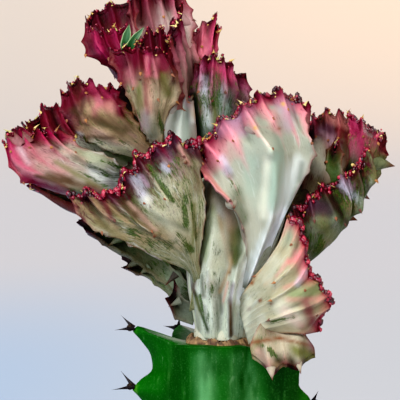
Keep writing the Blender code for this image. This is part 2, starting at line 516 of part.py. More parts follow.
def spread_roots(ribs):
    """Keeps the buried root ends of the ribs apart, in the order of the ribs."""
    count = len(ribs)
    way = unit(ribs[-1, -2] - ribs[0, -2] + 0.3 * (ribs[-1, 0] - ribs[0, 0]))
    wide = max(1.5 * (count - 1), np.linalg.norm(ribs[-1, -1] - ribs[0, -1]))
    middle = ribs[:, -1].mean(axis=0)
    for index in range(count):
        ribs[index, -1] = middle + way * wide * (index / (count - 1) - 0.5)
    return ribs


def lobe_sheet(lobe, per_gap, rows):
    """The front face of a lobe before its ribs are cut, with its outward directions."""
    down = np.linspace(0, 1, rows)
    ribs = np.array(lobe["ribs"], float)
    if not lobe.get("own_roots"):
        ribs = spread_roots(ribs)
    lines = np.stack([spline(line, down) for line in ribs])
    across = np.linspace(0, 1, per_gap * (len(lines) - 1) + 1)
    sheet = spline(lines, across)
    along_u = np.gradient(sheet, axis=0)
    along_v = np.gradient(sheet, axis=1)
    normal = unit(np.cross(along_u, along_v))
    facing = np.asarray(lobe.get("facing", (0, -1, 0)), float)
    if (normal @ facing).mean() < 0:
        normal = -normal
    normal = unit(smoothed(normal, 3) + 0.35 * unit(facing))
    return sheet, normal


def lobe_shell(lobe, per_gap, rows, grow=0.0):
    """Points and faces of one closed, ribbed lobe."""
    sheet, normal = lobe_sheet(lobe, per_gap, rows)
    columns = sheet.shape[0]
    gaps = len(lobe["ribs"]) - 1
    u = np.linspace(0, 1, columns)[:, None]
    v = 1 - np.linspace(0, 1, rows)[None, :]
    phase = (u * gaps) % 1.0
    furrow = np.abs(np.sin(np.pi * phase)) ** 0.8
    depth = lobe["valley"] * furrow * (0.1 + 1.35 * np.clip((v - 0.2) / 0.75, 0, 1) ** 1.1)
    root, rim = lobe["thick"]
    edge = np.minimum(u, 1 - u) * gaps
    lens = 0.22 + 0.78 * np.sin(0.5 * np.pi * np.clip(edge / 1.1, 0, 1)) ** 0.8
    thick = (root + (rim - root) * v) * lens + grow
    front = sheet + normal * (grow / 2 - depth)[..., None]
    back = sheet - normal * (thick - 0.7 * depth)[..., None]
    rise = unit(sheet[:, 0] - sheet[:, 1])
    tooth = (0.6 * (1 - 2 * furrow[:, 0]))[:, None]
    middle = (front[:, 0] + back[:, 0]) / 2
    front[:, 0] += rise * tooth
    back[:, 0] += rise * tooth
    shoulder_front = middle + (front[:, 0] - middle) * 0.5 + rise * (1.3 + tooth)
    shoulder_back = middle + (back[:, 0] - middle) * 0.5 + rise * (1.3 + tooth)
    front = np.concatenate([shoulder_front[:, None], front], axis=1)
    back = np.concatenate([shoulder_back[:, None], back], axis=1)
    levels = rows + 1
    points = np.concatenate([front.reshape(-1, 3), back.reshape(-1, 3)])

    def at(side, column, level):
        return side * columns * levels + column * levels + level

    faces = []
    for c in range(columns - 1):
        for r in range(levels - 1):
            faces.append((at(0, c, r), at(0, c + 1, r), at(0, c + 1, r + 1), at(0, c, r + 1)))
            faces.append((at(1, c, r), at(1, c, r + 1), at(1, c + 1, r + 1), at(1, c + 1, r)))
        faces.append((at(0, c, 0), at(1, c, 0), at(1, c + 1, 0), at(0, c + 1, 0)))
        last = levels - 1
        faces.append((at(0, c, last), at(0, c + 1, last), at(1, c + 1, last), at(1, c, last)))
    for r in range(levels - 1):
        faces.append((at(0, 0, r), at(0, 0, r + 1), at(1, 0, r + 1), at(1, 0, r)))
        last = columns - 1
        faces.append((at(0, last, r), at(1, last, r), at(1, last, r + 1), at(0, last, r + 1)))
    return points, faces, front, back


def spike(base, tip, radius, sides=4):
    """A pyramid from a sunken base to a tip."""
    base = np.asarray(base, float)
    tip = np.asarray(tip, float)
    axis = unit(tip - base)
    helper = np.array([0.31, 0.52, 0.79])
    side = unit(np.cross(axis, helper))
    other = np.cross(axis, side)
    turns = [2 * math.pi * k / sides for k in range(sides)]
    points = [base + radius * (math.cos(a) * side + math.sin(a) * other) for a in turns]
    points.append(tip)
    faces = [tuple(range(sides))[::-1]]
    faces += [(k, (k + 1) % sides, sides) for k in range(sides)]
    return points, faces


def bead(centre, size, turn):
    """A small eight-sided lump."""
    c = np.asarray(centre, float)
    a = math.cos(turn) * size
    b = math.sin(turn) * size
    points = [c + (a, b, 0), c + (-b, a, 0), c + (-a, -b, 0), c + (b, -a, 0)]
    points += [c + (0, 0, size * 1.1), c - (0, 0, size * 1.1)]
    faces = [(0, 1, 4), (1, 2, 4), (2, 3, 4), (3, 0, 4), (1, 0, 5), (2, 1, 5), (3, 2, 5), (0, 3, 5)]
    return points, faces


def fuse(base, parts, solver):
    """Joins the parts to the base in one Boolean, then removes them."""
    group = bpy.data.collections.new(base.name + "_parts")
    bpy.context.scene.collection.children.link(group)
    for thing in parts:
        bpy.context.collection.objects.unlink(thing)
        group.objects.link(thing)
    union = base.modifiers.new("union", "BOOLEAN")
    union.operation = "UNION"
    union.operand_type = "COLLECTION"
    union.collection = group
    union.solver = solver
    bpy.context.view_layer.objects.active = base
    base.select_set(True)
    bpy.ops.object.modifier_apply(modifier=union.name)
    for thing in list(group.objects):
        bpy.data.objects.remove(thing, do_unlink=True)
    bpy.data.collections.remove(group)


def keep_largest(thing):
    """Drops loose scraps and fills sealed hollows, by keeping the largest shell alone."""
    work = bmesh.new()
    work.from_mesh(thing.data)
    left = set(work.verts)
    shells = []
    while left:
        stack = [left.pop()]
        shell = list(stack)
        while stack:
            for edge in stack.pop().link_edges:
                for vert in edge.verts:
                    if vert in left:
                        left.remove(vert)
                        shell.append(vert)
                        stack.append(vert)
        shells.append(shell)
    shells.sort(key=len)
    for shell in shells[:-1]:
        bmesh.ops.delete(work, geom=shell, context="VERTS")
    work.to_mesh(thing.data)
    work.free()


def drop_flaps(thing):
    """Removes pairs of faces that lie back to back on the same three corners."""
    work = bmesh.new()
    work.from_mesh(thing.data)
    bmesh.ops.triangulate(work, faces=work.faces[:])
    while True:
        seen = {}
        flaps = []
        for face in work.faces:
            key = tuple(sorted(vert.index for vert in face.verts))
            if key in seen:
                flaps += [face, seen.pop(key)]
            else:
                seen[key] = face
        if not flaps:
            break
        bmesh.ops.delete(work, geom=flaps, context="FACES")
        work.verts.index_update()
    work.to_mesh(thing.data)
    work.free()


def drop_slivers(thing):
    """Takes out triangles that have no height to speak of."""
    work = bmesh.new()
    work.from_mesh(thing.data)
    bmesh.ops.dissolve_degenerate(work, dist=0.003 * MM, edges=work.edges[:])
    bmesh.ops.triangulate(work, faces=work.faces[:])
    work.to_mesh(thing.data)
    work.free()


def thin_out(thing, most):
    """Merges the slivers that a union leaves, down to a number of triangles."""
    total = sum(len(face.vertices) - 2 for face in thing.data.polygons)
    if total <= most:
        return
    fewer = thing.modifiers.new("fewer", "DECIMATE")
    fewer.ratio = most / total
    fewer.use_collapse_triangulate = True
    bpy.context.view_layer.objects.active = thing
    bpy.ops.object.modifier_apply(modifier=fewer.name)


def lobe_spines(lobe, front, back, rng):
    """Spines on the ribs of both faces, and teeth on the two borders."""
    made = []
    gaps = len(lobe["ribs"]) - 1
    columns = front.shape[0]
    per_gap = (columns - 1) // gaps
    levels = front.shape[1]
    for rib in range(gaps + 1):
        column = rib * per_gap
        border = rib in (0, gaps)
        stops = (1.6, 3.3) if border else (rng.choice((1.2, 2.2)),)
        if border and len(lobe["ribs"][0]) < 5:
            stops = (1.8,)
        for stop in stops:
            place = stop + rng.uniform(-0.2, 0.2)
            low = min(int(place), levels - 2)
            f = place - low
            for side, other in ((front, back), (back, front)):
                if border and side is back:
                    continue
                if not border and rng.random() < (0.5 if side is front else 0.7):
                    continue
                point = side[column, low] * (1 - f) + side[column, low + 1] * f
                far = other[column, low] * (1 - f) + other[column, low + 1] * f
                out = unit(point - far)
                if border:
                    inner = column + (1 if rib == 0 else -1)
                    out = unit(point - side[inner, low])
                    point = (point + far) / 2
                tall = rng.uniform(1.3, 1.9)
                made.append(spike(point - out * 1.4, point + out * tall, 1.1 if border else 0.85, 3))
    for base, tip, radius in lobe.get("teeth", ()):
        made.append(spike(base, tip, radius, 5))
    return made


def rim_beads(front, back, rng):
    """Lumps along the growing edge."""
    made = []
    edge = (front[:, 0] + back[:, 0]) / 2
    length = np.linalg.norm(np.diff(edge, axis=0), axis=1).sum()
    count = max(3, int(length / 3.3))
    for k in range(count):
        t = (k + 0.5) / count
        a = spline(front[:, 0], [t])[0]
        b = spline(back[:, 0], [t])[0]
        middle = (a + b) / 2
        spot = middle + (a - middle) * rng.uniform(0.1, 0.9)
        spot = spot + np.array([0, 0, rng.uniform(-0.1, 0.4)])
        made.append(bead(spot, rng.uniform(0.9, 1.15), rng.uniform(0, 1.5)))
    return made


def lift(points):
    """Moves crest points up to the graft."""
    return [(p[0], p[1], p[2] + GRAFT_HEIGHT) for p in points]


def foot_column(grow, bottom, top, name):
    """The oval column by which the crest stands on the cut."""
    points = []
    sides = 20
    for z in (bottom, top):
        for k in range(sides):
            turn = 2 * math.pi * k / sides
            wave = 1 + 0.05 * math.cos(5 * turn)
            x = FOOT_CENTRE[0] + (FOOT_RADII[0] * wave + grow) * math.cos(turn)
            y = FOOT_CENTRE[1] + (FOOT_RADII[1] * wave + grow) * math.sin(turn)
            points.append((x, y, z + GRAFT_HEIGHT))
    faces = [tuple(range(sides))[::-1], tuple(range(sides, 2 * sides))]
    for k in range(sides):
        n = (k + 1) % sides
        faces.append((k, n, sides + n, sides + k))
    return new_object(name, points, faces)


def leaf_shell(line):
    """A small pointed leaf, folded along its middle."""
    spots = spline(line, [0, 0.35, 0.75, 1])
    widths = (0.7, 1.25, 0.95, 0.05)
    points = []
    for spot, width in zip(spots, widths):
        points += [spot + (-width, -0.25, 0.15), spot + (0, 0.35, 0), spot + (width, -0.25, 0.15)]
        points += [spot + (0, -0.25, 0)]
    faces = [(0, 1, 2, 3), (15, 14, 13, 12)]
    for k in range(3):
        for s in range(4):
            n = (s + 1) % 4
            faces.append((4 * k + s, 4 * k + 4 + s, 4 * k + 4 + n, 4 * k + n))
    return points, faces


def build_crest(material):
    """The grafted crest, fused from its lobes, with spines, teeth and beads."""
    rng = random.Random(SEED)
    base = foot_column(0, 0, 6, "crest")
    base.data.materials.append(material)
    parts = []
    for name, lobe in LOBES.items():
        rows = 5 if len(lobe["ribs"][0]) > 3 else 3
        points, faces, front, back = lobe_shell(lobe, 2, rows)
        parts.append(new_object(name, lift(points), faces))
        if name in SMOOTH_LOBES:
            continue
        extras = lobe_spines(lobe, front, back, rng)
        if lobe["beads"]:
            extras += rim_beads(front, back, rng)
        for index, (more, sides) in enumerate(extras):
            parts.append(new_object(f"{name}_{index}", lift(more), sides))
    for index, line in enumerate(LEAVES):
        points, faces = leaf_shell(line)
        parts.append(new_object(f"leaf_{index}", lift(points), faces))
    fuse(base, parts, "MANIFOLD")
    keep_largest(base)
    drop_flaps(base)
    thin_out(base, CREST_TRIANGLES)
    drop_slivers(base)
    drop_flaps(base)
    return base


STEM_RIBS = [
    {"turn": 186, "blade": 10.2, "notch": 3.0, "shift": 3.5, "top": 3.5},
    {"turn": 262, "blade": 4.0, "notch": 1.2, "shift": -17.0, "top": -12.0},
    {"turn": 338, "blade": 15.0, "notch": 9.4, "shift": 0.2, "top": -5.0},
    {"turn": 50, "blade": 10.0, "notch": 3.5, "shift": -3.0, "top": -3.0},
    {"turn": 118, "blade": 10.0, "notch": 3.5, "shift": 1.6, "top": 1.6},
]
STEM_CORE = 13.2
STEM_STEP = 14.8


def margin(rib, z):
    """How far a wing's edge stands off the core: a shelf above each thorn pad, a slope below it."""
    below = ((rib["shift"] - z) / STEM_STEP) % 1.0
    if below < 0.52:
        swell = 1 - (below / 0.52) ** 0.8
    elif below < 0.9:
        swell = 0.0
    else:
        swell = (below - 0.9) / 0.1
    return rib["notch"] + (rib["blade"] - rib["notch"]) * swell


def stem_radius(turn, z):
    """The stem's radius at an angle in degrees and a height from the graft."""
    best = 0.0
    for rib in STEM_RIBS:
        off = abs((turn - rib["turn"] + 180) % 360 - 180) / 37.0
        if off < 1:
            start = min(1.0, max(0.0, (rib["top"] - z) / 4 + 1))
            best = max(best, margin(rib, z) * start * (1 - off) ** 1.9)
    low = z - (STEM_FOOT - GRAFT_HEIGHT)
    if low < 57:
        best *= 0.0
    slim = 0.82 + 0.18 * min(1.0, max(0.0, low - 57) / 12)
    return (STEM_CORE + best) * (0.9 if low < 57 else slim)


def stem_top(turn):
    """How high the stem's outer edge reaches above the graft at an angle."""
    rise = -1.3
    for rib in STEM_RIBS:
        off = abs((turn - rib["turn"] + 180) % 360 - 180) / 34.0
        if off < 1 and rib["top"] > -6:
            lift_here = -1.3 + (rib["top"] + 1.3) * (1 - off) ** 1.3
            rise = max(rise, lift_here) if rib["top"] > -1.3 else lift_here
    return rise


def stem_heights():
    """Levels along the stem, close together where a thorn pad's shelf is."""
    levels = [STEM_FOOT - GRAFT_HEIGHT, -100.0, SOIL_TOP - GRAFT_HEIGHT + 2.6]
    z = -76.0
    while z < -5:
        levels.append(z)
        z += 3.7
    return levels


def build_stem(material):
    """The winged green rootstock with its cut top, corky rim and paired thorns."""
    rng = random.Random(SEED + 1)
    turns = [(2 + 360 * k / 40) % 360 for k in range(40)]
    columns = len(turns)
    points = []
    levels = stem_heights()
    for z in levels:
        for turn in turns:
            a = math.radians(turn)
            radius = stem_radius(turn, z)
            points.append((STEM_AXIS_X + radius * math.cos(a), radius * math.sin(a), z + GRAFT_HEIGHT))
    for turn in turns:
        a = math.radians(turn)
        top = stem_top(turn)
        radius = stem_radius(turn, top)
        points.append((STEM_AXIS_X + radius * math.cos(a), radius * math.sin(a), top + GRAFT_HEIGHT))
    for turn in turns:
        a = math.radians(turn)
        points.append((STEM_AXIS_X + 9.6 * math.cos(a), 9.2 * math.sin(a), GRAFT_HEIGHT - GAP - 0.5))
    rings = len(levels) + 2
    faces = [tuple(range(columns))[::-1], tuple(range((rings - 1) * columns, rings * columns))]
    for r in range(rings - 1):
        for k in range(columns):
            n = (k + 1) % columns
            faces.append((r * columns + k, r * columns + n, (r + 1) * columns + n, (r + 1) * columns + k))
    stem = new_object("rootstock", points, faces, material)
    parts = stem_thorns(rng) + [cork_rim(rng)]
    fuse(stem, parts, "EXACT")
    keep_largest(stem)
    drop_flaps(stem)
    thin_out(stem, STEM_TRIANGLES)
    drop_flaps(stem)
    return stem


def stem_thorns(rng):
    """A pair of thorns on each pad of each wing."""
    parts = []
    for rib in STEM_RIBS:
        a = math.radians(rib["turn"])
        out = np.array([math.cos(a), math.sin(a), 0.0])
        side = np.array([-math.sin(a), math.cos(a), 0.0])
        level = rib["shift"]
        while level > SOIL_TOP - GRAFT_HEIGHT + 6:
            if level <= rib["top"]:
                radius = stem_radius(rib["turn"], level - 0.8)
                spot = np.array([STEM_AXIS_X, 0, GRAFT_HEIGHT + level - 0.8]) + out * radius
                for way in (-1, 1):
                    reach = rng.uniform(3.2, 4.4) if way > 0 else rng.uniform(0.8, 2.0)
                    climb = rng.uniform(-0.8, 1.0) if way > 0 else rng.uniform(3.0, 4.2)
                    tip = spot + out * reach + side * way * 1.8 + np.array([0, 0, climb])
                    more, sides = spike(spot - out * 2.4 + side * way * 0.2, tip, 0.95)
                    parts.append(new_object("thorn", more, sides))
            level -= STEM_STEP
    return parts


def cork_rim(rng):
    """The dried rim of the cut, an uneven ring round the crest's foot."""
    steps = 26
    points = []
    for k in range(steps):
        turn = 2 * math.pi * k / steps
        wave = 1 + 0.05 * math.cos(5 * turn)
        lip = rng.uniform(-0.3, 0.5) + 0.8 * max(0.0, -math.cos(turn + 0.4))
        for off, z in ((0.35, -2.0), (0.4, lip), (1.1, lip + 0.1), (2.3, -1.8)):
            x = FOOT_CENTRE[0] + (FOOT_RADII[0] * wave + off) * math.cos(turn)
            y = FOOT_CENTRE[1] + (FOOT_RADII[1] * wave + off) * math.sin(turn)
            points.append((x, y, GRAFT_HEIGHT + z))
    faces = []
    for k in range(steps):
        n = (k + 1) % steps
        for s in range(4):
            t = (s + 1) % 4
            faces.append((4 * k + s, 4 * n + s, 4 * n + t, 4 * k + t))
    return new_object("cork", points, faces)


def turned(name, outline, segments, material=None):
    """A solid turned round the pot's axis from a closed outline of radii and heights."""
    points = []
    for radius, z in outline:
        for k in range(segments):
            a = 2 * math.pi * k / segments
            points.append((radius * math.cos(a), radius * math.sin(a), z))
    faces = []
    count = len(outline)
    for r in range(count):
        for k in range(segments):
            n = (k + 1) % segments
            up = (r + 1) % count
            faces.append((r * segments + k, r * segments + n, up * segments + n, up * segments + k))
    return new_object(name, points, faces, material)


def build_pot(material):
    """A plain clay pot with a rim band and a drain hole."""
    def outer(z):
        return POT_FOOT_RADIUS + (POT_TOP_RADIUS - POT_RIM_STEP - POT_FOOT_RADIUS) * z / POT_HEIGHT

    band = POT_HEIGHT - POT_RIM_HEIGHT
    outline = [
        (DRAIN_RADIUS, 0.0), (POT_FOOT_RADIUS - 1.5, 0.0), (POT_FOOT_RADIUS, 1.5),
        (outer(band - 2), band - 2), (outer(band) + 1.0, band - 1.0), (POT_TOP_RADIUS - 1.5, band),
        (POT_TOP_RADIUS, band + 2.0), (POT_TOP_RADIUS, POT_HEIGHT - 2.0),
        (POT_TOP_RADIUS - 2.0, POT_HEIGHT), (POT_TOP_RADIUS - POT_WALL + 1.0, POT_HEIGHT),
        (POT_TOP_RADIUS - POT_WALL - 0.5, POT_HEIGHT - 2.0),
        (outer(SOIL_TOP) - POT_WALL, SOIL_TOP - 4.0), (POT_FOOT_RADIUS - POT_WALL + 1.5, POT_FLOOR + 2.0),
        (POT_FOOT_RADIUS - POT_WALL - 0.5, POT_FLOOR), (DRAIN_RADIUS, POT_FLOOR),
    ]
    return turned("pot", outline, 56, material)


def build_soil(material):
    """The potting mix, with a rough top and a hole for the stem."""
    rng = random.Random(SEED + 2)
    inside = POT_FOOT_RADIUS - POT_WALL + 1.5
    wide = POT_FOOT_RADIUS + (POT_TOP_RADIUS - POT_RIM_STEP - POT_FOOT_RADIUS) * SOIL_TOP / POT_HEIGHT
    wide -= POT_WALL
    hole = STEM_HOLE_RADIUS
    segments = 40
    rings = [(inside - 2.5, POT_FLOOR + GAP), (inside - GAP - 0.2, POT_FLOOR + 2.0 + GAP)]
    rings += [(wide - GAP - 0.2, SOIL_TOP - 4.0), (wide - 0.7, SOIL_TOP - 1.0)]
    rings += [(wide - 5, SOIL_TOP), (wide - 12, SOIL_TOP + 0.4), (wide - 20, SOIL_TOP + 0.8)]
    points = []
    for index, (radius, z) in enumerate(rings):
        for k in range(segments):
            a = 2 * math.pi * k / segments
            rough = rng.uniform(-0.9, 0.9) if index > 3 else 0.0
            points.append((radius * math.cos(a), radius * math.sin(a), z + rough))
    faces = [tuple(range(segments))[::-1]]
    for r in range(len(rings) - 1):
        for k in range(segments):
            n = (k + 1) % segments
            faces.append((r * segments + k, r * segments + n, (r + 1) * segments + n, (r + 1) * segments + k))
    top = (len(rings) - 1) * segments
    centre = len(points)
    points.append((0, 0, SOIL_TOP + 1))
    faces += [(top + k, top + (k + 1) % segments, centre) for k in range(segments)]
    soil = new_object("soil", points, faces, material)
    outline = [(0, STEM_FOOT - GAP), (hole, STEM_FOOT - GAP), (hole, SOIL_TOP + 6), (0, SOIL_TOP + 6)]
    cutter_points = []
    sides = 40
    for z in (outline[1][1], outline[2][1]):
        for k in range(sides):
            a = 2 * math.pi * k / sides
            cutter_points.append((STEM_AXIS_X + hole * math.cos(a), hole * math.sin(a), z))
    cutter_faces = [tuple(range(sides))[::-1], tuple(range(sides, 2 * sides))]
    cutter_faces += [(k, (k + 1) % sides, sides + (k + 1) % sides, sides + k) for k in range(sides)]
    cutter = new_object("stem_hole", cutter_points, cutter_faces)
    cut = soil.modifiers.new("hole", "BOOLEAN")
    cut.operation = "DIFFERENCE"
    cut.object = cutter
    cut.solver = "EXACT"
    bpy.context.view_layer.objects.active = soil
    bpy.ops.object.modifier_apply(modifier=cut.name)
    bpy.data.objects.remove(cutter, do_unlink=True)
    return soil


def main():
    clear_startup()
    build_pot(plain_material("terracotta", (0.62, 0.29, 0.17), 0.9))
    build_soil(plain_material("potting_mix", (0.09, 0.06, 0.04), 1.0))
    build_stem(plain_material("green_stem", (0.05, 0.26, 0.05), 0.5))
    build_crest(plain_material("crest_skin", (0.72, 0.62, 0.58), 0.5))


main()
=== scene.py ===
"""Looks for the potted coral cactus: the same ribs and pot as the part, drawn finely and coloured.

Lengths in the tables are millimetres. The crest's tables count x and y from the pot's axis and z
from the graft, with y growing away from the front.
"""

import itertools
import math
import random
from collections import namedtuple

import bpy
import bmesh
import numpy as np
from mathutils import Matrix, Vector


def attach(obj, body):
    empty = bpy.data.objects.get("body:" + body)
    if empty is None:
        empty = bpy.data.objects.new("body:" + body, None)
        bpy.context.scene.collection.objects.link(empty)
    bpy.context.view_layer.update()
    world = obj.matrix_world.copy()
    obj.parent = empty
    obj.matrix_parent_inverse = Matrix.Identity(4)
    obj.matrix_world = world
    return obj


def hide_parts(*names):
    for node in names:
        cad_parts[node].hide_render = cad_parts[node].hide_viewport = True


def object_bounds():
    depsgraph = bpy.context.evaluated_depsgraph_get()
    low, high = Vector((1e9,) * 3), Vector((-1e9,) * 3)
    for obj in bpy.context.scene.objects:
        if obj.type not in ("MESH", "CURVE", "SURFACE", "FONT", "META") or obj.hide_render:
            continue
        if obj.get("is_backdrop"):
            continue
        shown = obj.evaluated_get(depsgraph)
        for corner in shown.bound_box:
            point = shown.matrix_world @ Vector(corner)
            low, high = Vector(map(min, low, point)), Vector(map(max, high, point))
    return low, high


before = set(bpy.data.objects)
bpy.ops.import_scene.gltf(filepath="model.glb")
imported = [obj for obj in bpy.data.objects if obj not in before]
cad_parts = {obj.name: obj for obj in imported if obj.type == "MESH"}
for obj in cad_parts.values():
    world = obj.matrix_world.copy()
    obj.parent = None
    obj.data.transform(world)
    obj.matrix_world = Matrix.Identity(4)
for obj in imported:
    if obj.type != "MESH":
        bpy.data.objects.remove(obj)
CAD_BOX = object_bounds()

MM = 0.001
SEED = 41

POT_TOP_RADIUS = 56.0
POT_FOOT_RADIUS = 38.0
POT_HEIGHT = 96.0
POT_RIM_HEIGHT = 20.0
POT_RIM_STEP = 3.0
POT_WALL = 5.0
POT_FLOOR = 7.0
DRAIN_RADIUS = 6.0

SOIL_DEPTH_BELOW_RIM = 12.0
SOIL_TOP = POT_HEIGHT - SOIL_DEPTH_BELOW_RIM

GRAFT_HEIGHT = 168.0
STEM_AXIS_X = 4.0
STEM_FOOT = 30.0

FOOT_CENTRE = (5.0, -1.4)
FOOT_RADII = (6.8, 6.6)

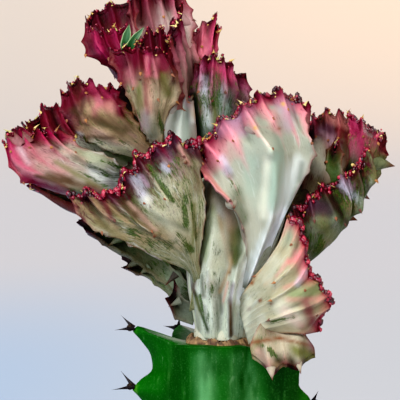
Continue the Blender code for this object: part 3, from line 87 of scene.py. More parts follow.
# Each lobe lists its ribs, one row each. A row runs from the growing edge down to the root. Then
# come its thickness at the root and at the edge, the depth of its valleys, whether its edge is
# crowded with beads, and its teeth: foot, tip and radius.
LOBES = {
    "front_fan": {
        "ribs": [
            [(-0.8, -15, 44), (3.8, -18, 38.8), (8.3, -20, 34.3), (11.6, -17, 26.8),
             (11, -13.6, 18), (8.5, -8, 9)],
            [(1.5, -15, 49), (5.5, -16, 43.8), (9.5, -17.5, 37.5), (13, -16.2, 28),
             (12, -13.3, 18.5), (9.2, -8, 9)],
            [(5.5, -14, 54.8), (9, -16, 48.8), (12.5, -17, 40), (15, -16, 29.5), (13, -13.4, 19),
             (10, -8, 9)],
            [(11, -12.5, 58.8), (14.5, -17.5, 52.5), (18, -20.5, 46.3), (18.3, -18.5, 33.8),
             (14.5, -15, 21), (11, -8, 9)],
            [(15.5, -10.5, 60.8), (18, -12.5, 54.5), (21, -13, 46.3), (20, -12.4, 33.8),
             (15.5, -11, 21), (12, -7, 9)],
            [(20.8, -9, 61.5), (22.5, -10.5, 55), (24.5, -11, 47.5), (22, -10.6, 35.5),
             (16.8, -9.5, 22), (12.6, -6, 10)],
            [(25, -6, 60), (26.5, -10, 51.3), (28, -13, 46.5), (23.3, -12, 36.3), (18, -9.5, 24),
             (13, -5, 11)],
        ],
        "thick": (10, 6), "valley": 1.2, "beads": True,
        "teeth": [((25.5, -9, 46.8), (28.6, -11.5, 46.2), 2.2),
                  ((12.6, -13, 52.6), (14.2, -18.4, 51.8), 1.8),
                  ((7.8, -17, 34.8), (8.5, -21.4, 33.8), 1.6),
                  ((17.4, -16, 46.4), (18.3, -20.4, 45.4), 1.6)],
    },
    "left_fan": {
        "ribs": [
            [(-32, -17, 35.8), (-27.5, -19, 29.8), (-17.5, -19, 24.8), (-10, -15.5, 20.5),
             (-2.5, -9.5, 16.5), (1.5, -5, 9)],
            [(-27.5, -19, 36.3), (-23, -21.5, 32), (-13.3, -21, 27), (-7, -17, 22.3),
             (-2, -12, 17), (1.6, -6, 9)],
            [(-23, -20, 36.8), (-17.5, -22.5, 32.3), (-11, -22.5, 27.5), (-5, -17.5, 22.8),
             (-1.6, -12.5, 17), (1.8, -7, 9)],
            [(-18.3, -19, 40.8), (-14.5, -21, 36), (-8.8, -21.5, 29.5), (-3.8, -17.5, 24),
             (-1.2, -12.8, 17.3), (2, -7, 9)],
            [(-15, -18, 45.5), (-12, -20, 41.3), (-7, -20.5, 33.3), (-2.8, -17.5, 26),
             (-0.8, -13, 17.6), (2.2, -7, 9)],
            [(-10.5, -18, 48.3), (-7.5, -20.5, 43.8), (-4, -20, 36.3), (-1.5, -17.3, 27),
             (-0.4, -13, 18), (2.4, -7, 9)],
            [(-6, -17.5, 51), (-3.5, -20.5, 45.3), (-1.3, -19.5, 38.8), (-0.4, -16.8, 28.5),
             (0, -13, 18), (2.6, -7, 9)],
            [(0, -15, 48.3), (0, -17.5, 42.5), (1, -17.6, 32.5), (0.2, -15.5, 25),
             (0.3, -12.6, 18), (2.8, -7, 9)],
        ],
        "thick": (9, 6), "valley": 1.5, "beads": True,
        "teeth": [((-4, -18, 45.6), (-3.3, -22.4, 44.8), 1.6),
                  ((-10.6, -20, 27.8), (-11.4, -24.4, 26.8), 1.6)],
    },
    "left_hand": {
        "ribs": [
            [(-48.3, -9, 47.5), (-46.5, -11, 43), (-41, -11, 39), (-32.5, -9, 36),
             (-17.5, -4, 33.8), (-6, 0, 29)],
            [(-48, -7, 50.8), (-45.5, -12, 45), (-36.8, -14, 40.5), (-28.8, -12, 37),
             (-17.5, -5, 35.5), (-6, 0, 31)],
            [(-45, -5, 51.8), (-41.5, -9, 47), (-34.5, -11, 42.5), (-26.3, -9, 38.8),
             (-17.5, -5, 37.5), (-6, 0, 33)],
            [(-40.5, -4, 52.5), (-37, -8, 48), (-30, -10, 43.8), (-23.8, -8, 40.5),
             (-17, -4, 39.5), (-6, 0, 35)],
            [(-38, -3, 53), (-34, -8, 49), (-27.5, -10.5, 44.8), (-21.3, -8, 42),
             (-16.3, -4, 41.3), (-6, 0, 37)],
            [(-34.5, -1, 52), (-30, -7, 48.3), (-24.3, -9.5, 46.3), (-19.5, -7, 43.5),
             (-15.8, -3, 43), (-6, 0, 39)],
        ],
        "thick": (9, 5), "valley": 1.4, "beads": False,
        "teeth": [((-45, -6, 48.6), (-48.4, -6.6, 51.2), 1.8), ((-45, -6, 49), (-46.4, -6.6, 52.2), 1.6),
                  ((-43, -5, 49.4), (-44.4, -5.4, 52.4), 1.6)],
    },
    "small_cup": {
        "ribs": [
            [(-34.8, -4, 61), (-33.5, -6, 56), (-29.5, -7, 51.3), (-23, -6, 47.5), (-15, -2, 45),
             (-6, 1, 40)],
            [(-33, -4, 63.8), (-30.5, -8, 58.8), (-27, -10, 53.8), (-20.5, -8, 49.5),
             (-14.3, -3, 45.8), (-6, 1, 41)],
            [(-30.5, -3, 65.3), (-28, -7, 60.8), (-24.5, -9, 55), (-18.8, -8, 50.5),
             (-13.5, -3, 46.5), (-6, 1, 42)],
            [(-27, -2, 65), (-25, -6, 60.8), (-22, -8, 55.5), (-17.5, -7.5, 51.3),
             (-12.5, -3, 47), (-6, 1, 43)],
            [(-24, -1, 63.8), (-22, -5, 60), (-19.8, -7.5, 55.8), (-16, -7, 51.5),
             (-12, -3, 47.5), (-6, 1, 44)],
            [(-21.8, 1, 63), (-20, -3, 58.3), (-18.3, -5, 55), (-15, -5, 51.3), (-11.5, -2, 48),
             (-6, 1, 45)],
        ],
        "thick": (8, 5), "valley": 1.3, "beads": False,
    },
    "vase_front": {
        "ribs": [
            [(-22.3, -8, 71.3), (-19.8, -10, 65.5), (-17.3, -10, 58.8), (-14.5, -8, 52.5),
             (-11, -3, 47.5), (-5, 1, 38)],
            [(-19, -11, 72.3), (-17.3, -13, 66.3), (-15.5, -12.5, 58.8), (-13.5, -9, 52.5),
             (-10.5, -3, 47.5), (-5, 1, 38.5)],
            [(-15.5, -12, 72.8), (-14.5, -15, 65.8), (-13.5, -14, 58), (-12.3, -10, 52.5),
             (-10, -4, 47.5), (-4, 1, 39)],
            [(-11.8, -12, 72.3), (-10.8, -13, 66), (-10.8, -12.5, 58.8), (-10.8, -9, 52.5),
             (-9.5, -4, 47.5), (-4, 1, 39.5)],
            [(-8.8, -10, 71.8), (-7.5, -11, 65.5), (-8.5, -10, 59), (-9.3, -8, 53),
             (-9, -4, 47.5), (-3, 1, 40)],
            [(-7, -5, 70.5), (-6.4, -7, 64.8), (-6.8, -6, 60), (-8, -5, 54.5), (-8, -2, 48), (-3, 1, 40.5)],
        ],
        "thick": (8, 4.5), "valley": 1.3, "beads": False,
        "teeth": [((-8.6, -6, 65.4), (-5.4, -7.4, 64.6), 2.0), ((-15, -12, 66), (-14.7, -16.4, 65.2), 1.6)],
    },
    "vase_back": {
        "ribs": [
            [(-15.5, -2, 73.8), (-14.5, -3, 67.5), (-13, -4, 58.8), (-11, -2, 50)],
            [(-12.5, 0, 76.3), (-11.8, -1, 68.8), (-11, -2, 60), (-10, -1, 50)],
            [(-10, 0, 76.3), (-9.3, -1, 68.8), (-9.3, -2, 60), (-9.3, -1, 50)],
            [(-7.5, -2, 73.3), (-6.5, -3, 67), (-7.5, -3, 59.3), (-8.5, -1, 50)],
        ],
        "thick": (7, 4.5), "valley": 1.1, "beads": False,
    },
    "upper_bowl": {
        "ribs": [
            [(-29, 2, 77.3), (-28.5, 0, 73.5), (-26.3, -1, 70.8), (-22, 0, 67.5), (-15, 2, 62.5),
             (-8, 4, 52)],
            [(-27, -1, 77.5), (-25.8, -3, 74), (-23.3, -3, 71), (-19.5, -2, 67.5),
             (-13.8, 1, 62.5), (-7, 4, 52)],
            [(-24.3, -2, 77), (-23, -4, 74), (-20.8, -4, 71), (-17.5, -2, 67.5), (-13, 1, 62.5),
             (-6, 4, 52)],
            [(-21.3, -2, 77.5), (-20.3, -4, 74.5), (-18.5, -4, 71.5), (-15.8, -2, 68),
             (-12.5, 1, 62.5), (-5, 4, 53)],
            [(-18, -1, 78), (-17.5, -3, 74.5), (-16.3, -3, 71.5), (-14.3, -1, 68), (-12, 2, 62.5),
             (-4, 4, 54)],
        ],
        "thick": (7, 4.5), "valley": 1.2, "beads": False,
    },
    "upper_bowl_back": {
        "ribs": [
            [(-28.3, 5, 79.5), (-27, 4, 75), (-24, 4, 70.5), (-16.3, 5, 62.5), (-9, 5, 52)],
            [(-25.8, 7, 81.3), (-24.3, 6, 76), (-21.8, 6, 71), (-15, 6, 62.5), (-8, 6, 52)],
            [(-22.5, 9, 83), (-21.3, 8, 77), (-19.5, 7, 71.5), (-13.8, 7, 62.5), (-7, 6, 52)],
            [(-19, 10, 84.3), (-18.3, 9, 77.5), (-17, 8, 71.5), (-12.5, 8, 62.5), (-6, 6, 52)],
        ],
        "thick": (8, 5), "valley": 1.2, "beads": False,
    },
    "tall_fan": {
        "ribs": [
            [(-17.5, 10, 85.5), (-16.3, 8, 77.5), (-12.5, 7, 67.5), (-7.5, 6, 56.3), (-2.5, 4, 45)],
            [(-13.8, 11, 88), (-12.5, 9, 78.8), (-9.5, 8, 67.5), (-5.8, 7, 57), (-1.8, 4, 45)],
            [(-10, 12, 89), (-9, 9, 78.8), (-7, 7, 67.5), (-4.3, 6, 57), (-1, 4, 45)],
            [(-6.5, 13, 88), (-5.8, 10, 79.5), (-4.5, 8, 68), (-3, 6, 57), (-0.3, 4, 45)],
            [(-4, 15, 86), (-2.5, 13, 78.3), (-3, 11, 70), (-2.3, 8, 57.5), (0.5, 5, 45)],
        ],
        "thick": (11, 6), "valley": 1.8, "beads": False,
        "teeth": [((-4.6, 13, 79.4), (-0.8, 12.6, 78.6), 2.2), ((-5, 12, 74.6), (-2, 11, 74.2), 1.6)],
    },
    "pale_root": {
        "ribs": [
            [(-5.8, -2, 59.3), (-7.8, -4, 56.3), (-9, -5, 52), (-7.5, -6, 45), (-3, -6, 36)],
            [(-3.5, -1, 60.5), (-4.8, -4, 56), (-5.5, -5.5, 50), (-4.5, -6, 44), (-1.5, -6, 36)],
            [(-1.5, 2, 60), (-1.5, -2, 54), (-1, -4, 48), (-0.5, -5, 42), (1, -5, 36)],
        ],
        "thick": (9, 6), "valley": 0.9, "beads": False,
        "teeth": [((-7.6, -2.5, 57), (-5.4, -5.4, 59.6), 1.8)],
    },
    "centre_fan": {
        "ribs": [
            [(-1.8, 6, 67), (-2.5, 5, 62.5), (-2.3, 4, 57), (-0.8, 2, 50.5), (2, 0, 41.3)],
            [(0.3, 3, 70), (-0.3, 0, 63.8), (0, -1, 57.5), (1.3, -2, 50.5), (3, -2, 41.3)],
            [(3.3, 2, 71), (3.3, 0, 63.8), (3, -1, 57.5), (3.3, -3, 50.5), (4.3, -3, 41.3)],
            [(6.5, 2, 69.5), (6.3, -1, 62.5), (5.5, -2, 56.3), (5.5, -3, 50), (5.5, -3, 41.3)],
            [(9, 4, 68), (9, 2, 62.5), (8, 0, 56.3), (7.5, -2, 50), (6.8, -2, 41.3)],
            [(11.8, 8, 65), (11.5, 6, 60), (10.5, 4, 55), (9.5, 2, 48.8), (8, 0, 41.3)],
        ],
        "thick": (9, 5), "valley": 1.5, "beads": False,
    },
    "centre_back": {
        "ribs": [
            [(-2.5, 16, 76.5), (-2.3, 15, 71.3), (-1.3, 13, 63.8), (1.3, 8, 52.5), (2, 4, 38)],
            [(0.8, 17, 77.8), (0.3, 16, 72), (0.5, 13, 63.8), (2.5, 8, 52.5), (3, 4, 38)],
            [(4.3, 18, 80.3), (3, 17, 73.8), (2.5, 14, 65), (3.8, 8, 52.5), (4, 4, 38)],
            [(5, 18, 76), (4, 17, 72), (4.3, 14, 63.8), (5, 8, 52.5), (5, 4, 38)],
        ],
        "thick": (9, 5), "valley": 1.3, "beads": False,
    },
    "low_right_fan": {
        "ribs": [
            [(21.5, -15, 31), (19.5, -18, 25), (16.3, -17, 19.5), (12, -13, 13.8), (9.5, -8, 6.3)],
            [(24.3, -17, 29.5), (22, -20.5, 23.8), (17.5, -20, 18), (13, -15, 12.5), (10, -9, 5.5)],
            [(25.8, -19, 24.3), (23, -22, 19.5), (18.8, -21.5, 15.5), (13.8, -16, 10.5), (10.3, -9.5, 5)],
            [(26.5, -20, 19.5), (23.8, -23, 15.5), (19.3, -22, 12), (14.3, -16.5, 8.8), (10.5, -10, 4.5)],
            [(29, -20, 15.5), (25, -23.5, 13.3), (20, -22.5, 10), (14.8, -17, 7), (10.8, -10, 3.8)],
            [(31.5, -19, 12), (27, -23, 10), (21, -22.5, 7.8), (15.3, -17, 5.3), (11, -10, 3)],
            [(32.3, -18, 9), (27.5, -22, 7), (21.5, -22, 5.5), (15.5, -17, 3.8), (11, -10, 2.5)],
            [(29, -16, 2.8), (25, -20, 2.8), (20.5, -20, 2.8), (15.5, -16, 2.8), (11.5, -9, 2.5)],
        ],
        "thick": (5, 6), "valley": 1.3, "beads": True,
    },
    "hanging_lobe": {
        "ribs": [
            [(12.6, -21, -2), (12.4, -20.5, 0), (13.6, -18.5, 2.4), (15.5, -14, 4.9)],
            [(17.3, -22.5, -6.6), (16.6, -24, -3), (16.6, -22.5, 1), (17, -16, 4.9)],
            [(20.8, -23.5, -4.6), (20.5, -24.6, -2), (20, -23, 1.2), (19.5, -16, 4.9)],
            [(24.4, -22, -5.6), (24.2, -23.6, -2.6), (23.5, -22.5, 1.2), (22, -16, 4.9)],
            [(28.4, -18.5, -2.2), (28, -19.4, -0.4), (26.3, -18.5, 1.8), (24.3, -15, 4.7)],
        ],
        "thick": (5, 4), "valley": 0.9, "beads": False,
        "teeth": [((17.4, -22.4, -5.4), (17.8, -23.6, -8.4), 2.0),
                  ((24.2, -21.6, -4.2), (24.8, -22.4, -7), 1.6)],
    },
    "right_front": {
        "ribs": [
            [(23.5, -12, 31.5), (24.5, -12, 27.5), (25.5, -10, 23), (24, -6, 18.8), (20, -2, 15)],
            [(27.3, -12, 35), (28.5, -13, 29.5), (28.5, -11, 24.3), (26, -6, 19.5), (21, -2, 16)],
            [(30.5, -11, 37.8), (33.3, -14, 30.8), (31.5, -11, 24.5), (27.5, -6, 19.5), (22, -2, 16.5)],
            [(35, -10, 40), (37, -12, 33.8), (34.5, -10, 26.3), (29, -5, 20.5), (22.5, -1, 17)],
            [(39.3, -9, 42.5), (40, -10.5, 37), (36.6, -9.5, 29.5), (30.2, -5, 22.6), (23, -0.5, 17.5)],
            [(42.8, -8, 46), (43.5, -8, 41.3), (40.4, -6, 34.5), (33.5, -2, 25.5), (24.6, 1, 18)],
            [(45.2, -5, 49.5), (44.2, -3, 43.5), (39.6, 0, 36.5), (33, 2, 27.5), (26, 3, 18.5)],
        ],
        "thick": (9, 6), "valley": 2.2, "beads": True,
        "teeth": [((43.5, -3, 44.5), (48.8, -3.6, 43.4), 2.6), ((38.6, 0, 37.5), (42.6, -1, 35), 2.4),
                  ((34.8, 1, 31.4), (39.6, 0.4, 29.6), 2.6), ((32.6, -11, 31.6), (33.4, -15.6, 30.2), 2.0)],
    },
    "right_curl": {
        "ribs": [
            [(37.5, 2, 55.5), (38, -1, 51.3), (37.5, -3, 46.3), (35.5, 0, 38.8)],
            [(41, 0, 54.8), (41, -4, 50.5), (40, -5, 45.5), (37, 0, 38)],
            [(44.5, -1, 52), (43.8, -5, 48.5), (42, -5, 43.8), (38.5, 0, 37)],
            [(46.5, 1, 48.3), (45, -2, 45), (43, -3, 41.3), (39.5, 0, 36)],
        ],
        "thick": (8, 5), "valley": 1.4, "beads": True,
    },
    "right_back": {
        "ribs": [
            [(26, 10, 53), (26.5, 8, 47.5), (26.5, 6, 40), (23.8, 4, 27.5)],
            [(28.8, 10, 55.3), (29.5, 7, 48.8), (29, 5, 40.5), (25, 4, 27.5)],
            [(32, 10, 56.3), (32.5, 7, 49.3), (31.5, 5, 40.5), (26.3, 4, 27.5)],
            [(35, 9, 56), (35.3, 6, 49.3), (34, 4, 40.5), (27.5, 4, 27.5)],
            [(37.5, 7, 55.3), (38, 4, 48.8), (36.5, 3, 40), (29, 4, 27.5)],
        ],
        "thick": (9, 5), "valley": 1.4, "beads": False,
    },
    "right_horn": {
        "ribs": [
            [(33.5, -4, 49.3), (31.5, -6, 45), (32.5, -7, 40.5), (33, -4, 34)],
            [(35, -3, 48.5), (35.3, -6, 44), (35, -7, 40), (34, -4, 34)],
        ],
        "thick": (5, 3), "valley": 0.6, "beads": False,
    },
    "left_wing": {
        "ribs": [
            [(-27, 12, 25.5), (-23, 13, 22.5), (-17.5, 12, 19.5), (-10, 8, 13.8), (-2.5, 3, 7.5)],
            [(-28.8, 14, 28.8), (-22.5, 16, 26), (-15, 15, 22.5), (-7.5, 9, 16.3), (-1.5, 4, 10)],
            [(-29, 16, 32.5), (-21.3, 18, 29.5), (-12.5, 16, 25), (-5.5, 10, 18.8), (-0.5, 4, 12.5)],
            [(-28, 18, 36), (-19.5, 20, 33), (-11, 17, 28), (-4, 10, 21.3), (0, 4, 15)],
        ],
        "thick": (8, 5), "valley": 1.5, "beads": False,
        "teeth": [((-23.5, 13, 27.2), (-27.6, 12.4, 25.4), 2.0),
                  ((-20, 13, 24.6), (-23.8, 12.4, 22.2), 2.0)],
    },
    "low_wing": {
        "ribs": [
            [(-18.5, 12, 16.5), (-13.8, 11, 14.8), (-8.8, 7, 11), (-1, 2, 5.5)],
            [(-18, 14, 19.5), (-13, 13, 18), (-8, 8, 14), (-1, 3, 8.5)],
            [(-16.5, 16, 22), (-12, 15, 21), (-7, 9, 17), (-0.5, 3, 11)],
        ],
        "thick": (7, 4), "valley": 1.0, "beads": False,
        "teeth": [((-16, 13, 18.4), (-19.4, 12.6, 16.4), 2.0), ((-13, 11.5, 17), (-15.8, 10.6, 14.8), 1.8)],
    },
    "neck_wing": {
        "ribs": [
            [(-7.5, 0, 8), (-5.5, 1, 4.8), (-1.5, 2, 3)],
            [(-6, 2, 13.5), (-4.5, 2, 10), (-1, 2, 8)],
        ],
        "thick": (5, 3), "valley": 0.4, "beads": False,
        "teeth": [((-5, 0.5, 9.4), (-8, 0, 7.8), 1.8), ((-6, 2, 16), (-8.8, 1.6, 13), 1.8)],
    },
    "under_hand": {
        "ribs": [
            [(-41.3, 4, 38), (-38, 4, 35.8), (-32.5, 4, 33), (-22.5, 2, 29.5), (-13, 0, 27), (-4, 0, 20)],
            [(-41.8, 6, 39.5), (-37.5, 7, 38), (-31.3, 6, 35), (-22, 4, 31), (-13, 1, 29), (-4, 1, 23)],
            [(-41, 8, 42.5), (-36, 9, 40.5), (-28.8, 8, 37.5), (-20.5, 5, 33), (-13, 2, 31), (-4, 2, 26)],
        ],
        "thick": (8, 5), "valley": 1.2, "beads": False,
    },
    "behind_hand": {
        "ribs": [
            [(-43.5, 10, 52.3), (-41.3, 9, 47.5), (-35, 8, 42.5), (-22.5, 5, 37.5), (-6, 3, 30)],
            [(-39.3, 12, 57), (-37, 11, 51.3), (-31.3, 10, 45.5), (-21.3, 6, 39.5), (-6, 3, 32)],
            [(-35.5, 13, 57.8), (-33, 12, 52.5), (-28, 11, 47), (-19.5, 6, 41.3), (-6, 3, 34)],
            [(-31.3, 14, 57), (-29, 13, 52.5), (-24.5, 11, 48), (-17.5, 6, 43), (-6, 3, 36)],
        ],
        "thick": (9, 5), "valley": 1.4, "beads": False,
    },
    "rear_fan": {
        "ribs": [
            [(-20, 25, 50), (-17, 25, 42), (-11, 19, 32), (-2, 8, 22)],
            [(-15, 29, 55), (-12, 28, 46), (-8, 20, 34), (-1, 8, 23)],
            [(-9, 31, 59), (-7, 28, 50), (-4, 20, 36), (1, 8, 24)],
            [(-3, 29, 59), (-2, 27, 50), (0, 20, 36), (3, 8, 24)],
            [(4, 30, 59), (4, 28, 49), (4, 21, 36), (4, 8, 24)],
            [(10, 28, 55), (9, 26, 46), (7, 20, 34), (6, 8, 23)],
            [(15, 24, 50), (13, 24, 42), (10, 18, 31), (7, 8, 22)],
        ],
        "thick": (9, 5), "valley": 1.9, "beads": True, "facing": (0, 1, 0.2),
    },
    "rear_right": {
        "ribs": [
            [(20, 24, 48), (18, 22, 41), (14, 15, 31), (9, 6, 21)],
            [(27, 21, 44), (24, 20, 37), (18, 14, 28), (10, 6, 19)],
            [(33, 17, 38), (29, 16, 32), (21, 11, 24), (11, 5, 17)],
            [(35, 12, 31), (30, 11, 26), (22, 8, 19), (11, 4, 15)],
        ],
        "thick": (9, 6), "valley": 1.6, "beads": True, "facing": (0.4, 1, 0),
    },
    "rear_low": {
        "ribs": [
            [(-12, 22, 25), (-10, 21, 19), (-5, 15, 12), (3, 5, 6)],
            [(-4, 25, 23), (-2, 23, 17), (0, 16, 10), (5, 5, 5)],
            [(6, 25, 22), (6, 23, 16), (6, 16, 9.5), (7, 5, 4.5)],
            [(16, 20, 23), (15, 19, 17), (11, 13, 11), (9, 5, 5)],
        ],
        "thick": (6, 6), "valley": 1.4, "beads": True, "facing": (0, 1, 0),
    },
    "top_bridge": {
        "ribs": [
            [(-6.5, -3, 73.5), (-5.5, -3, 67), (-6, -3, 58), (-4, 0, 46)],
            [(-4.5, 2, 76), (-4, 1, 68), (-4, 1, 58), (-2, 1, 46)],
            [(-4, 8, 79), (-3, 6, 70), (-3, 5, 58), (-1, 3, 46)],
            [(-4, 14, 82), (-3, 11, 72), (-2, 8, 58), (0, 4, 46)],
        ],
        "thick": (8, 4), "valley": 1.4, "beads": False, "facing": (1, 0, 0),
    },
    "right_bridge": {
        "ribs": [
            [(46.5, 1, 48.5), (44.5, 0, 44), (41, 0, 37), (33, 2, 25)],
            [(47, 6, 49.5), (44.5, 5, 44), (40, 4, 36), (32, 4, 25)],
            [(44, 11, 51), (42, 9, 45), (37, 7, 36), (30, 5, 24)],
            [(39, 13, 53), (37, 11, 47), (33, 9, 37), (28, 6, 24)],
        ],
        "thick": (8, 4.5), "valley": 1.5, "beads": False, "facing": (1, 0.4, 0),
    },
    "left_bridge": {
        "ribs": [
            [(-47.5, -6, 50), (-44, -7, 44), (-36, -5, 39), (-20, -2, 32)],
            [(-49, 0, 50), (-45, -1, 45), (-36, 0, 39), (-20, 0, 32)],
            [(-47.5, 6, 50.5), (-44, 5, 46), (-36, 4, 39), (-20, 2, 32)],
            [(-44.5, 11, 52), (-41, 9, 47), (-34, 7, 40), (-20, 4, 33)],
        ],
        "thick": (8, 4.5), "valley": 1.5, "beads": False, "facing": (-1, 0.2, 0),
    },
    "centre_bridge": {
        "ribs": [
            [(25.5, -5, 59), (25, -6, 52), (23, -6, 42), (16, -4, 28)],
            [(28, 0, 57.5), (26.5, -1, 51), (23.5, -2, 42), (16, -2, 28)],
            [(28.5, 6, 56), (27, 4, 50), (24, 2, 41), (16, 0, 28)],
            [(27, 11, 54), (26, 9, 48), (23, 6, 40), (16, 3, 28)],
        ],
        "thick": (8, 4.5), "valley": 1.4, "beads": False, "facing": (1, 0, 0.2),
    },
    "left_rear": {
        "ribs": [
            [(-31, 14, 56), (-26, 12, 48), (-18, 9, 38), (-5, 5, 24)],
            [(-28, 19, 55), (-23, 17, 46), (-15, 12, 36), (-4, 6, 24)],
            [(-23, 25, 51), (-19, 22, 44), (-12, 14, 34), (-3, 7, 24)],
        ],
        "thick": (8, 5), "valley": 1.6, "beads": False, "facing": (-0.7, 0.7, 0),
    },
    "inner_fan": {
        "ribs": [
            [(-38, 5, 43), (-30, 5, 39), (-18, 4, 31), (-6, 2, 20), (2, 0, 10)],
            [(-28, 5, 54), (-22, 5, 48), (-12, 4, 37), (-4, 2, 23), (3, 0, 10)],
            [(-14, 5, 68), (-11, 4, 59), (-7, 4, 44), (-1, 2, 26), (5, 0, 10)],
            [(0, 7, 63), (-1, 5, 54), (1, 4, 42), (4, 2, 28), (7, 0, 10)],
            [(16, 7, 54), (13, 6, 47), (10, 4, 37), (9, 2, 24), (9, 0, 10)],
            [(34, 5, 40), (28, 4, 34), (20, 3, 27), (14, 1, 18), (11, 0, 10)],
        ],
        "thick": (11, 7), "valley": 1.0, "beads": False,
    },
    "neck_folds": {
        "ribs": [
            [(-2, -6, 38), (-1.2, -8, 31.6), (-1.9, -8.4, 22.8), (-2.4, -7.8, 16.6),
             (-2, -6.4, 10.3), (-0.6, -4.4, 2)],
            [(1, -9, 40), (0.7, -11, 33), (-0.5, -11.2, 20), (-1.2, -10.4, 14.2), (-0.6, -8.8, 8),
             (0.8, -6.4, 1.9)],
            [(4, -11, 42), (3.3, -14, 34.4), (2.9, -15.6, 24.6), (2.2, -15, 17),
             (2.8, -12.4, 9.4), (3.2, -8, 1.9)],
            [(9, -10, 42), (8, -12, 34), (8.6, -11, 25.4), (7, -11, 18.4), (5.7, -9.6, 10.5),
             (5.2, -7.4, 1.9)],
            [(14, -9, 40), (12.8, -12, 31.6), (11, -15, 23.2), (9.2, -16, 18.6),
             (7.9, -13.2, 10.6), (7, -8.2, 1.9)],
            [(18, -7, 36), (16.8, -10, 26.6), (13, -11.2, 20), (10.4, -11, 14.4), (9, -9.6, 9.2),
             (8.6, -6.8, 1.6)],
            [(22, -6, 34), (20.6, -8.6, 28.6), (16.8, -10, 19.8), (13.8, -10.6, 14),
             (11.6, -9, 8), (10.6, -5, 1.4)],
        ],
        "thick": (8, 8), "valley": 0.15, "beads": False, "own_roots": True,
    },
    "trunk": {
        "ribs": [
            [(-2.5, -1, 38), (-4.6, -2, 26), (-3.6, -2, 18), (-2.6, -2, 10), (-1, -1.8, 1.5)],
            [(0.5, -5, 40), (-0.6, -7.5, 27), (-0.6, -7, 18), (-0.4, -5.6, 10), (0.6, -5, 1.5)],
            [(3.4, -7, 42), (3.2, -9, 27), (2.8, -8.8, 18), (2.4, -7.4, 10), (2.6, -6.8, 1.5)],
            [(7, -7, 42), (7.4, -9.6, 27), (7, -9.6, 17), (5.8, -8, 9), (5, -7.4, 1.5)],
            [(11.5, -7, 42), (11.5, -8.4, 27), (10.6, -9, 17), (8.6, -7.6, 9), (7.4, -6.8, 1.5)],
            [(18, -5, 40), (17, -7, 27), (14.6, -7.4, 17), (11.6, -6, 9), (9.8, -5, 1.5)],
            [(22, -1, 38), (20, -2, 26), (17.4, -2.5, 17), (14, -2.4, 9), (11.2, -1.8, 1.5)],
        ],
        "thick": (12, 18), "valley": 0.8, "beads": False, "own_roots": True,
    },
}

# Lobes without ridges, creases and beads.
SMOOTH_LOBES = ("neck_folds", "trunk")

# The middle lines of the young leaves.
LEAVES = [
    [(-18.8, -6.5, 71.5), (-18.4, -8, 75), (-17.6, -8.5, 78.8)],
    [(-18, -7, 71.5), (-16.4, -8.6, 75), (-13.9, -9.2, 78.2)],
]


def spline(points, t):
    """A smooth curve through the points, at fractions t of its way."""
    points = np.asarray(points, float)
    count = len(points)
    place = np.clip(np.asarray(t, float), 0, 1) * (count - 1)
    index = np.minimum(place.astype(int), count - 2)
    f = (place - index).reshape((-1,) + (1,) * (points.ndim - 1))
    p1 = points[index]
    p2 = points[index + 1]
    p0 = np.where((index > 0).reshape(f.shape), points[np.maximum(index - 1, 0)], 2 * p1 - p2)
    last = (index + 2 < count).reshape(f.shape)
    p3 = np.where(last, points[np.minimum(index + 2, count - 1)], 2 * p2 - p1)
    a = 2 * p1
    b = p2 - p0
    c = 2 * p0 - 5 * p1 + 4 * p2 - p3
    d = 3 * p1 - p0 - 3 * p2 + p3
    return 0.5 * (a + b * f + c * f * f + d * f * f * f)


def unit(vectors):
    """Vectors made one long."""
    size = np.linalg.norm(vectors, axis=-1, keepdims=True)
    return vectors / np.maximum(size, 1e-9)


def smoothed(grid, passes):
    """A grid of vectors, each blended with its neighbours."""
    for _ in range(passes):
        wide = np.pad(grid, ((1, 1), (1, 1), (0, 0)), mode="edge")
        grid = (4 * grid + wide[:-2, 1:-1] + wide[2:, 1:-1] + wide[1:-1, :-2] + wide[1:-1, 2:]) / 8
    return grid


def spread_roots(ribs):
    """Keeps the buried root ends of the ribs apart, in the order of the ribs."""
    count = len(ribs)
    way = unit(ribs[-1, -2] - ribs[0, -2] + 0.3 * (ribs[-1, 0] - ribs[0, 0]))
    wide = max(1.5 * (count - 1), np.linalg.norm(ribs[-1, -1] - ribs[0, -1]))
    middle = ribs[:, -1].mean(axis=0)
    for index in range(count):
        ribs[index, -1] = middle + way * wide * (index / (count - 1) - 0.5)
    return ribs


def lobe_sheet(lobe, per_gap, rows):
    """The front face of a lobe before its ribs are cut, with its outward directions."""
    down = np.linspace(0, 1, rows)
    ribs = np.array(lobe["ribs"], float)
    if not lobe.get("own_roots"):
        ribs = spread_roots(ribs)
    lines = np.stack([spline(line, down) for line in ribs])
    across = np.linspace(0, 1, per_gap * (len(lines) - 1) + 1)
    sheet = spline(lines, across)
    along_u = np.gradient(sheet, axis=0)
    along_v = np.gradient(sheet, axis=1)
    normal = unit(np.cross(along_u, along_v))
    facing = np.asarray(lobe.get("facing", (0, -1, 0)), float)
    if (normal @ facing).mean() < 0:
        normal = -normal
    normal = unit(smoothed(normal, 3) + 0.35 * unit(facing))
    return sheet, normal


# The rootstock's wings: the angle in degrees, how far the edge stands off the core at a thorn pad
# and between the pads, the height of one pad and the height where the wing ends, in mm.
STEM_RIBS = [
    {"turn": 186, "blade": 10.2, "notch": 3.0, "shift": 3.5, "top": 3.5},
    {"turn": 262, "blade": 4.0, "notch": 1.2, "shift": -17.0, "top": -12.0},
    {"turn": 338, "blade": 15.0, "notch": 9.4, "shift": 0.2, "top": -5.0},
    {"turn": 50, "blade": 10.0, "notch": 3.5, "shift": -3.0, "top": -3.0},
    {"turn": 118, "blade": 10.0, "notch": 3.5, "shift": 1.6, "top": 1.6},
]
STEM_CORE = 13.2
STEM_STEP = 14.8


